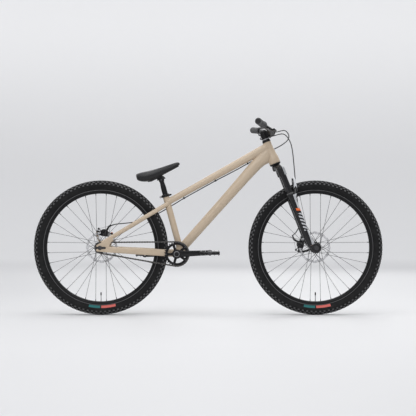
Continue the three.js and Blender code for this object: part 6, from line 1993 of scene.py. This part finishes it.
def lever_frame(side):
    """A lever's own axes (forward, along the bar, square to both) and a way to place points by them."""
    origin = bar_centre + Vector((-43.5, side * perch_width, 22.625)) * mm
    f = Vector((0.863299, side * 0.231863, -0.448279))
    b = Vector((-0.220957, side * 0.972212, 0.077335))
    n = f.cross(b)
    return (lambda df, db, dn=0: origin + (f * df + b * db + n * dn) * mm), f, b, n


def dress_lever(name, side):
    place, f, b, n = lever_frame(side)
    bracket = bmesh.new()
    ring = rounded([
        (11.3, -6), (14.6, -6), (15.7, -5), (15.7, 5), (14.6, 6), (11.3, 6), (11.3, -6),
    ], 0.6, 2)[:-1]
    add_washer(bracket, ring, place(0, 0), b, 44)
    add_limb(bracket, [(place(12, -1), 5, 7), (place(17, -3), 5, 6.8), (place(21, -5), 5, 6.6)], 28, 3.4, n)
    for cheek in (-1, 1):
        add_limb(bracket, [
            (place(17, -3, cheek * 4.7), 0.9, 6.6), (place(27, 0.5, cheek * 4.7), 0.9, 7.4),
            (place(36, -6, cheek * 4.7), 0.9, 6),
        ], 24, 3, n, 3)
    add_limb(bracket, [
        (place(31, -11), 5, 4.6), (place(44, -13), 5, 5), (place(56, -14), 5, 5.6),
        (place(61, -14), 4.6, 4.6), (place(62, -14), 3.6, 3.4),
    ], 28, 3, n, 3)
    add_limb(bracket, [
        (place(14, -6), 4.8, 4), (place(24, -10.5), 4.8, 4), (place(36, -12), 5, 4.4),
    ], 24, 3, n, 3)
    add_rod(bracket, place(56, -10), place(56, -27), 4.6, 28, 0.6)
    add_rod(bracket, place(-13, 0, -7), place(-13, 0, 7), 4.4, 24, 0.8)
    body = coated(bracket, finishes["black_metal"])
    knurl = [(3.6, 26.6)]
    for i in range(4):
        knurl += [(5.6, 27.4 + i * 1.7), (5.6, 28.4 + i * 1.7), (5.0, 28.8 + i * 1.7)]
    knurl += [(3.9, 34.6), (3.9, 38)]
    adjuster = coated(turned_mesh(knurl, 20, place(56, 0), -b), finishes["dark_metal"])
    bolts = [(place(27, 0, 5.5), f, n), (place(27, 0, -5.5), f, -n), (place(-13, 0, -7), f, -n)]
    parts = [body, adjuster, placed(button_bolt(3.6, 1.8), bolts, finishes["steel"])]
    as_piece(f"{name}_lever_bracket", parts, f"{name}_lever_perch", sharp=36)
    blade = bmesh.new()
    add_limb(blade, [(place(ahead, out), thick, wide) for ahead, out, wide, thick in blade_rows], 32, 2.5,
             n, 5)
    as_piece(f"{name}_lever_forged", blade, f"{name}_brake_lever", sharp=40)


for name, side in both_sides:
    dress_lever(name, side)
print("levers forged")

# %% [markdown]
# The saddle is a moulded foam pad under a stretched cover. Its loft follows the base, and the cover
# is then blown up a little by a cloth simulation with its underside held, so that it crowns between
# its edges the way real upholstery does.

# %% Saddle pad
seat_forward = sideways.cross(seat_up)
saddle_origin = on_seat(383)
saddle_ahead = Vector((0.970296, 0, 0.241922))
saddle_over = Vector((-0.241922, 0, 0.970296))
saddle_tail = -118
saddle_length = 228
saddle_half = 68
# Share of the length from the tail, share of the half width, then the heights of top, edge, underside.
saddle_rows = [
    (0, 0.66, 58, 42, 28), (0.05, 0.9, 61.5, 40, 19), (0.16, 1, 62, 36, 10), (0.3, 0.93, 60, 33, 8),
    (0.42, 0.66, 60, 36, 14), (0.55, 0.42, 62, 41, 24), (0.7, 0.31, 65, 46, 33), (0.85, 0.28, 68, 52, 41),
    (0.95, 0.25, 69, 55, 47), (1, 0.15, 64, 57, 52),
]
# Half of a section, from the crown round to the underside: share of the half width, way down.
section_rows = [
    (0, 0), (0.16, 0.005), (0.3, 0.02), (0.43, 0.05), (0.55, 0.1), (0.68, 0.2), (0.8, 0.35), (0.89, 0.52),
    (0.95, 0.7), (0.985, 0.85), (1, 1), (0.98, 1.25), (0.93, 1.5), (0.85, 1.78), (0.74, 2), (0.4, 2), (0, 2),
]


def on_saddle(x, y, z):
    return saddle_origin + (saddle_ahead * x + sideways * y + saddle_over * z) * mm


def saddle_row(share):
    rows = np.array(saddle_rows, float)
    return [float(np.interp(share, rows[:, 0], rows[:, k])) for k in range(1, 5)]


def saddle_point(share, across, down, inset=0.0):
    """A place on the pad: share of the length, share of the half width with its sign, way down."""
    half, top, edge, under = saddle_row(share)
    height = top + (edge - top) * down if down <= 1 else edge + (under - edge) * (down - 1)
    height += inset * (down - 1)
    return on_saddle(saddle_tail + saddle_length * share, across * (half * saddle_half - inset), height)


shares = [
    0, 0.012, 0.03, 0.06, 0.1, 0.15, 0.21, 0.27, 0.33, 0.39, 0.45, 0.52, 0.6, 0.68, 0.76, 0.84, 0.9, 0.945,
    0.975, 1,
]
full_section = section_rows + [(-a, d) for a, d in reversed(section_rows[1:-1])]
pad_bm = bmesh.new()
add_rings(pad_bm, [[saddle_point(s, a, d, 1.0) for a, d in full_section] for s in shares])
pad_mesh = to_mesh("saddle_pad_start", pad_bm)
pad = new_object("saddle_pad_cushion", pad_mesh)
rounding = pad.modifiers.new("rounding", "SUBSURF")
rounding.levels = 1
rounding.render_levels = 1
remesh = pad.modifiers.new("remesh", "REMESH")
remesh.mode = "VOXEL"
remesh.voxel_size = 4 * mm
applied(pad)


def blown_up(obj, frames=20, pressure=4.0, most=3 * mm):
    """Inflates a closed cover by cloth simulation, its flat underside held where it is."""
    held = obj.vertex_groups.new(name="held")
    start = np.empty(len(obj.data.vertices) * 3)
    obj.data.vertices.foreach_get("co", start)
    start = start.reshape(-1, 3)
    for vertex in obj.data.vertices:
        if vertex.normal.dot(saddle_over) < -0.5:
            held.add([vertex.index], 1.0, "ADD")
    cloth = obj.modifiers.new("cloth", "CLOTH")
    cloth.settings.use_pressure = True
    cloth.settings.uniform_pressure_force = pressure
    cloth.settings.tension_stiffness = 25
    cloth.settings.compression_stiffness = 25
    cloth.settings.bending_stiffness = 2
    cloth.settings.vertex_group_mass = "held"
    cloth.settings.effector_weights.gravity = 0
    cloth.point_cache.frame_start = 1
    cloth.point_cache.frame_end = frames
    for number in range(1, frames + 1):
        bpy.context.scene.frame_set(number)
    mesh = evaluated(obj)
    ended = np.empty(len(mesh.vertices) * 3)
    mesh.vertices.foreach_get("co", ended)
    move = ended.reshape(-1, 3) - start
    far = np.linalg.norm(move, axis=1, keepdims=True)
    move *= np.minimum(1.0, most / np.maximum(far, 1e-9))
    mesh.vertices.foreach_set("co", (start + move).ravel())
    obj.modifiers.clear()
    obj.vertex_groups.clear()
    obj.data = mesh
    bpy.context.scene.frame_set(1)
    return float(far.max()) / mm


print("the cover moved by up to", round(blown_up(pad), 2), "mm before its cap")
finer = pad.modifiers.new("finer", "SUBSURF")
finer.levels = 1
finer.render_levels = 1
applied(pad)
pad.data.materials.clear()
pad.data.materials.append(finishes["cover"])
mark_sharp(pad.data, 180)
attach(pad, body_of_node["saddle_pad"])
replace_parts(pad, "saddle_pad")
pad_tree = BVHTree.FromObject(pad, bpy.context.evaluated_depsgraph_get())

# %% [markdown]
# The cover is two panels, sewn together along the edge of the top. The seam is found on the finished
# pad, a thin welt lies in it, and the stitches stand beside it at the spacing of a sewing machine.

# %% Seam and stitches


def on_cover(share, side):
    """The nearest place on the cover to the seam's line, with the direction that it faces there."""
    place, normal, _, _ = pad_tree.find_nearest(saddle_point(share, side * 0.985, 0.92))
    return place, normal


seam_line = [on_cover(0.03 + 0.94 * i / 60, 1) for i in range(61)]
seam_line += [on_cover(0.97 - 0.94 * i / 60, -1) for i in range(61)]
welt = bmesh.new()
rings = []
for i, (place, normal) in enumerate(seam_line):
    along = (seam_line[(i + 1) % len(seam_line)][0] - seam_line[i - 1][0]).normalized()
    out = (normal - along * normal.dot(along)).normalized()
    rings.append(oval(place + out * 0.1 * mm, out, along.cross(out), 0.8 * mm, 1.1 * mm, 8))
add_rings(welt, rings, closed_loop=True)
stitch = bmesh.new()
bmesh.ops.create_uvsphere(stitch, u_segments=8, v_segments=5, radius=1.0)
bmesh.ops.scale(stitch, vec=Vector((1.5, 0.4, 0.45)) * mm, verts=stitch.verts)
stitch_marks, rest = [], 0.0
for (a, up_a), (b, up_b) in zip(seam_line, seam_line[1:] + seam_line[:1]):
    length = (b - a).length
    along = (b - a).normalized()
    while rest < length:
        place = a.lerp(b, rest / length)
        normal = up_a.lerp(up_b, rest / length).normalized()
        over = (normal - along * normal.dot(along)).normalized()
        aside = over.cross(along)
        beside = math.copysign(3 * mm, aside.dot(saddle_over))
        near, facing, _, _ = pad_tree.find_nearest(place + aside * beside)
        stitch_marks.append((near, along, facing))
        rest += 4 * mm
    rest -= length
thread = plain_accent("black_thread", (0.05, 0.05, 0.053), 0.55)
welt_mesh = coated(welt, finishes["cover"])
stitched = joined_mesh("saddle_seam", [welt_mesh, placed(to_mesh("stitch", stitch), stitch_marks, thread)])
as_piece("saddle_seam", stitched, (), "seat", "cover", sharp=60)
print(len(stitch_marks), "stitches")

# %% [markdown]
# Under the pad sits a plastic base with a moulded cradle. It clamps on the round head of the seat
# post, so the saddle can be tilted. The post's head has a bolt through it.

# %% Saddle base and seat post
base_bm = bmesh.new()
base_rings = []
for share in [0.22, 0.23, 0.235, 0.24, 0.3, 0.36, 0.42, 0.5, 0.58, 0.68, 0.78, 0.88, 0.94, 0.96]:
    half, top, edge, under = saddle_row(share)
    inner = min((share - 0.22) / 0.03, (0.97 - share) / 0.03, 1)
    out = half * saddle_half * 0.7 * (0.72 + 0.28 * inner)
    low = under - 2.6 - 0.8 * math.sin(math.pi * share)
    x = saddle_tail + saddle_length * share
    ring = []
    for a, z in ((-1, under + 1), (-0.4, under + 1), (0.4, under + 1), (1, under + 1), (1.0, low + 3),
                 (0.9, low + 1), (0.5, low), (0, low - 0.4), (-0.5, low), (-0.9, low + 1), (-1.0, low + 3)):
        ring.append(on_saddle(x, a * out, z))
    base_rings.append(ring)
add_rings(base_bm, base_rings)
cradle_outline = arc(22.0, 0.04 * math.pi, 0.96 * math.pi, 28) + arc(14.3, 0.96 * math.pi, 0.04 * math.pi, 28)
add_plate(base_bm, [in_m(cradle_outline)], 27 * mm, on_saddle(0, 0, 0), saddle_ahead, saddle_over, 0.8 * mm)
for x in (-8, 8):
    add_limb(base_bm, [(on_saddle(x, -24, 17), 3, 4.5), (on_saddle(x, 24, 17), 3, 4.5)], 20, 4, saddle_ahead)
as_piece("saddle_base_moulded", base_bm, "saddle_base", sharp=34)

post = bmesh.new()
add_turned(post, [
    (12.2, 150.6), (13.2, 150), (13.6, 150.8), (13.6, 342), (12.6, 356), (11, 372), (10, 384),
], seat_foot, seat_up, 56)
add_turned(post, [
    (5, -12.4), (9.5, -12.4), (10.5, -14), (14, -14), (14, 14), (10.5, 14), (9.5, 12.4), (5, 12.4),
], saddle_origin, sideways, 56, 1.2, 3)
add_limb(post, [(on_seat(352), 12, 12), (on_seat(368), 12.8, 11.2), (on_seat(383), 13.4, 12)],
         40, 2.6, sideways)
post_mesh = coated(post, finishes[slot_of_node["seat_post"]])
post_bolts = placed(button_bolt(4.4, 2.0), [
    (saddle_origin + sideways * side * 12.4 * mm, seat_forward, sideways * side) for side in (-1, 1)
], finishes["dark_metal"])
as_piece("seat_post_turned", [post_mesh, post_bolts], "seat_post", sharp=34)

# %% [markdown]
# The collar pinches the slotted top of the seat tube. One bolt draws its two ears together, and a
# curved quick-release lever on its far end closes round the tube, so its tip shows in front.

# %% Seat collar
collar = bmesh.new()
collar_radius, collar_bore, slit_half = 19.9, 16.5, 1.2
slit = math.asin(slit_half / collar_radius)
collar_outline = arc(collar_radius, -math.pi + slit, math.pi - slit, 60)
collar_outline += arc(collar_bore, math.pi - slit, -math.pi + slit, 60)
add_plate(collar, [in_m(collar_outline)], 11 * mm, on_seat(300.5), seat_forward, sideways, 0.8 * mm)
add_washer(collar, [(17.2, 305), (18, 305), (18, 308.4), (17.2, 309)], seat_foot, seat_up, 48)
for side in (-1, 1):
    ear = [
        (-17, side * slit_half), (-17, side * 7.2), (-27, side * 6.6), (-30.6, side * 4.6),
        (-30.6, side * slit_half),
    ]
    if side < 0:
        ear = ear[::-1]
    add_plate(collar, [in_m(round_outline(ear, 1.6))], 9 * mm, on_seat(300.5), seat_forward, sideways,
              0.6 * mm)
add_limb(collar, [(on_seat(300.5) + (seat_forward * x + sideways * y) * mm, 1.9, high) for x, y, high in (
    (-26, 9, 3.2), (-22, 17, 4.4), (-9, 24, 4.4), (8, 25.5, 4.6), (20, 23.5, 4.8), (29, 18, 3.6),
)], 24, 3, None, 6)
collar_mesh = coated(collar, finishes[slot_of_node["seat_collar"]])
bolt_place = on_seat(299.8) - seat_forward * 25.2 * mm
collar_bolts = placed(button_bolt(3.9, 2.6), [
    (bolt_place - sideways * 6.8 * mm, seat_up, -sideways),
    (bolt_place + sideways * 6.8 * mm, seat_up, sideways),
], finishes["steel"])
as_piece("seat_collar_turned", [collar_mesh, collar_bolts], "seat_collar", sharp=34)
print("seat done")

# %% [markdown]
# Both wheels are held by their axles. The rear one is solid, with a hexagon nut and a serrated washer
# outside each dropout, which is how a single-speed wheel is clamped in a sliding dropout.

# %% Rear axle and nuts
axle_bm = bmesh.new()
thread = [(4.2, -84.1), (5, -83.4)]
for i in range(3):
    thread += [(5, -83.2 + i * 0.5), (4.7, -82.95 + i * 0.5)]
thread += [(5, -81.6), (5, 81.6)]
for i in range(3):
    thread += [(4.7, 82.0 + i * 0.5), (5, 82.25 + i * 0.5)]
thread += [(4.2, 84.1)]
add_turned(axle_bm, thread, rear_axle, sideways, 32)
for side in (-1, 1):
    outward = sideways * side
    add_turned(axle_bm, [
        (5, 74.95), (10.6, 74.95), (10.9, 75.2), (10.9, 76.4), (9, 76.8),
    ], rear_axle, outward, 40)
    add_turned(axle_bm, [(8.2, 76.6), (9, 77.4), (9, 81.2), (8.1, 82.1), (5, 82.1)], rear_axle, outward, 6)
as_piece("rear_axle_nuts", axle_bm, "rear_axle", sharp=26)

# %% [markdown]
# Each calliper is a mechanical one. The housing ends in a stop on an arm, the inner wire runs on to a
# lever arm, and the arm's pivot pushes a pad against the disc. Two bolts hold the body on its posts.

# %% Disc brake callipers
signal_finish = plain_accent("signal_orange", (0.52, 0.12, 0.045), 0.4)
cable_steel = bright_steel("inner_wire", 0.3, 0.5, 0.3)


def dress_calliper(end, accent):
    def at(out, along, y):
        return beside_disc(end, out, along, y)

    outward = (at(1, 0, 0) - at(0, 0, 0)).normalized()
    onward = (at(0, 1, 0) - at(0, 0, 0)).normalized()
    # The plate's own third axis may point to either side, so the plane's middle is used throughout.
    shell = bmesh.new()
    cheek = [
        (56, -13), (60, -18), (80, -19), (88, -15), (92, -8), (92, 8), (88, 15), (80, 19), (60, 18),
        (56, 13),
    ]
    for side in (-1, 1):
        add_plate(shell, [in_m(round_outline(cheek, 3))], 9.2 * mm, at(0, 0, side * 6.4), outward, onward,
                  1.1 * mm)
    bridge = [(83.4, -14), (90, -11), (92.4, -6), (92.4, 6), (90, 11), (83.4, 14)]
    add_plate(shell, [in_m(round_outline(bridge, 2))], 21 * mm, at(0, 0, 0), outward, onward, 1.1 * mm)
    for along in (-post_along, post_along):
        inner = math.copysign(14, along)
        add_rod(shell, at(72, along, post_beside), at(79, along, post_beside), 6.5, 28, 0.7)
        add_limb(shell, [
            (at(73.5, along, post_beside), 5.5, 5.4), (at(69.5, (along + inner) / 2, 8.8), 11.5, 5),
            (at(70, inner, 6.4), 13, 4.6),
        ], 28, 3.4, outward, 4)
    add_limb(shell, [
        (at(84, 8, 6), 6.5, 6), (at(98, 12.5, 8), 5.6, 5.2), (at(108, 16, 10), 5, 4.8),
        (at(114, 21, 12.6), 4.4, 4.4),
    ], 24, 3, None, 5)
    arm_end = at(89, -33, 13.85)
    stop = at(114, 22, 13.85)
    along_wire = (stop - arm_end).normalized()
    add_turned(shell, [
        (1.4, -5), (4.1, -5), (4.6, -4.2), (4.6, 4.4), (4.0, 5), (3.0, 5),
    ], stop, along_wire, 28, 0.4)
    add_turned(shell, [
        (0, 9), (13.2, 9), (13.2, 11.4), (12.4, 12.4), (8.4, 12.4), (8.0, 11.6), (0, 11.6),
    ], at(72, 0, 0), sideways * -1, 40, 0.5)
    shell_mesh = coated(shell, finishes["black_metal"])
    back_screw = placed(button_bolt(5.2, 4.2), [(at(79, -post_along, post_beside), onward, outward)],
                        finishes["steel"])
    front_screw = placed(button_bolt(5.2, 4.2), [(at(79, post_along, post_beside), onward, outward)], accent)
    knob = bmesh.new()
    for i in range(12):
        turn = math.pi * i / 6
        reach = at(72 + 10.4 * math.cos(turn), 10.4 * math.sin(turn), -12.1)
        add_rod(knob, reach, reach - sideways * 0.7 * mm, 1.1, 10, 0.2)
    knob_mesh = coated(knob, finishes["dark_metal"])
    pads = bmesh.new()
    for side in (-1, 1):
        add_limb(pads, [(at(60, 0, side * 1.75), 10, 0.5), (at(84, 0, side * 1.75), 10, 0.5)], 20, 5, onward)
    pads_mesh = coated(pads, finishes["dark_metal"])
    as_piece(f"{end}_calliper_cast", [
        shell_mesh, back_screw, front_screw, knob_mesh, pads_mesh,
    ], f"{end}_caliper", sharp=34)

    lever = bmesh.new()
    add_turned(lever, [
        (0, 11.3), (9.5, 11.3), (9.5, 14.6), (8.6, 15.8), (5.8, 15.8), (5.2, 15.2), (0, 15.2),
    ], at(72, 0, 0), sideways, 40, 0.4)
    add_limb(lever, [
        (at(72, 0, 13.5), 6.4, 2.0), (at(79, -12, 13.5), 4.6, 2.0), (at(85, -25, 13.6), 4.2, 2.1),
        (at(89, -33, 13.85), 5.3, 2.3),
    ], 28, 3.4, None, 5)
    add_rod(lever, arm_end - sideways * 3 * mm, arm_end + sideways * 3.2 * mm, 5.4, 28, 0.6)
    lever_mesh = coated(lever, finishes["dark_metal"])
    pivot_bolt = placed(button_bolt(4.4, 2.6), [(at(72, 0, 15.6), outward, sideways)], finishes["steel"])
    wire_bolt = placed(button_bolt(3.9, 2.2), [(arm_end + sideways * 3.1 * mm, outward, sideways)],
                       finishes["steel"])
    as_piece(f"{end}_arm_forged", [lever_mesh, pivot_bolt, wire_bolt], f"{end}_caliper_arm", sharp=34)

    wire = bmesh.new()
    add_limb(wire, [(arm_end.lerp(stop, i / 12), 0.8, 0.8) for i in range(13)], 8)
    as_blend(f"{end}_inner_wire", coated(wire, cable_steel), body_of_node[f"{end}_caliper"],
             body_of_node[f"{end}_caliper_arm"], stop, arm_end)
    return stop, along_wire


rear_stop, rear_wire = dress_calliper("rear", signal_finish)
front_stop, front_wire = dress_calliper("front", finishes["steel"])
print("callipers cast")

# %% [markdown]
# The housings leave the levers' screws in one open loop each. The rear one dives under the top tube
# and along a seat stay, the front one follows the left fork leg. Both are smooth curves through a few
# places, and both bend where the bike moves. A metal ferrule caps each end.

# %% Brake housings


def lever_exit(side):
    place = lever_frame(side)[0]
    return [place(56, -38.3), place(56, -60.3)]


def waypoints(rows):
    """Places of the bike written in mm."""
    return [Vector(row) * mm for row in rows]


def dress_housing(name, node, route, body_a, body_b, start, end):
    """A smooth tube through the route. It follows one body before start and the other after end."""
    rows = smooth_stations([(p, 2.5, 2.5) for p in route], 7)
    tube = bmesh.new()
    add_limb(tube, rows, 12)
    mesh = coated(tube, finishes["housing"])
    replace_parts(as_blend(name, mesh, body_a, body_b, start, end), node)
    for where, (tip, next_place), body in (("upper", rows[:2], body_a), ("lower", rows[:-3:-1], body_b)):
        direction = (next_place[0] - tip[0]).normalized()
        cap = coated(turned_mesh([
            (2.0, 0), (3.1, 0.1), (3.3, 0.5), (3.3, 11), (3.05, 12), (2.7, 12.2),
        ], 24, tip[0], direction), finishes["dark_metal"])
        as_piece(f"{name}_{where}_ferrule", cap, (), body, "dark_metal", sharp=34)


rear_route = lever_exit(-1) + waypoints([
    (376, -128, 917), (398, -84, 900), (400, -38, 880), (384, 6, 862), (352, 34, 842), (318, 42, 826),
    (284, 40, 806), (258, 37, 791), (230, 34, 776), (200, 30, 760), (172, 22, 744), (142, 9, 727),
    (106, 0, 708), (37, 0, 672), (-40, 0, 629.5), (-120, 0, 585), (-168, 10, 556), (-196, 24, 540),
    (-240, 38, 514), (-300, 54, 486), (-376, 66, 464),
]) + [rear_stop + rear_wire * 32 * mm, rear_stop + rear_wire * 5.3 * mm]
front_route = lever_exit(1) + waypoints([
    (384, 132, 914), (414, 104, 880), (428, 84, 827), (437, 64, 727), (440, 58, 686), (446, 78, 620),
    (458, 92, 540), (462, 92, 450), (448, 80, 415),
]) + [front_stop + front_wire * 14 * mm, front_stop + front_wire * 5.3 * mm]
dress_housing("rear_housing", "rear_brake_housing", rear_route, "steering", "frame",
              Vector((0.398, -0.084, 0.9)), Vector((0.284, 0.04, 0.806)))
dress_housing("front_housing", "front_brake_housing", front_route, "steering", "lowers",
              Vector((0.434, 0.07, 0.78)), Vector((0.456, 0.09, 0.56)))
print("housings laid")
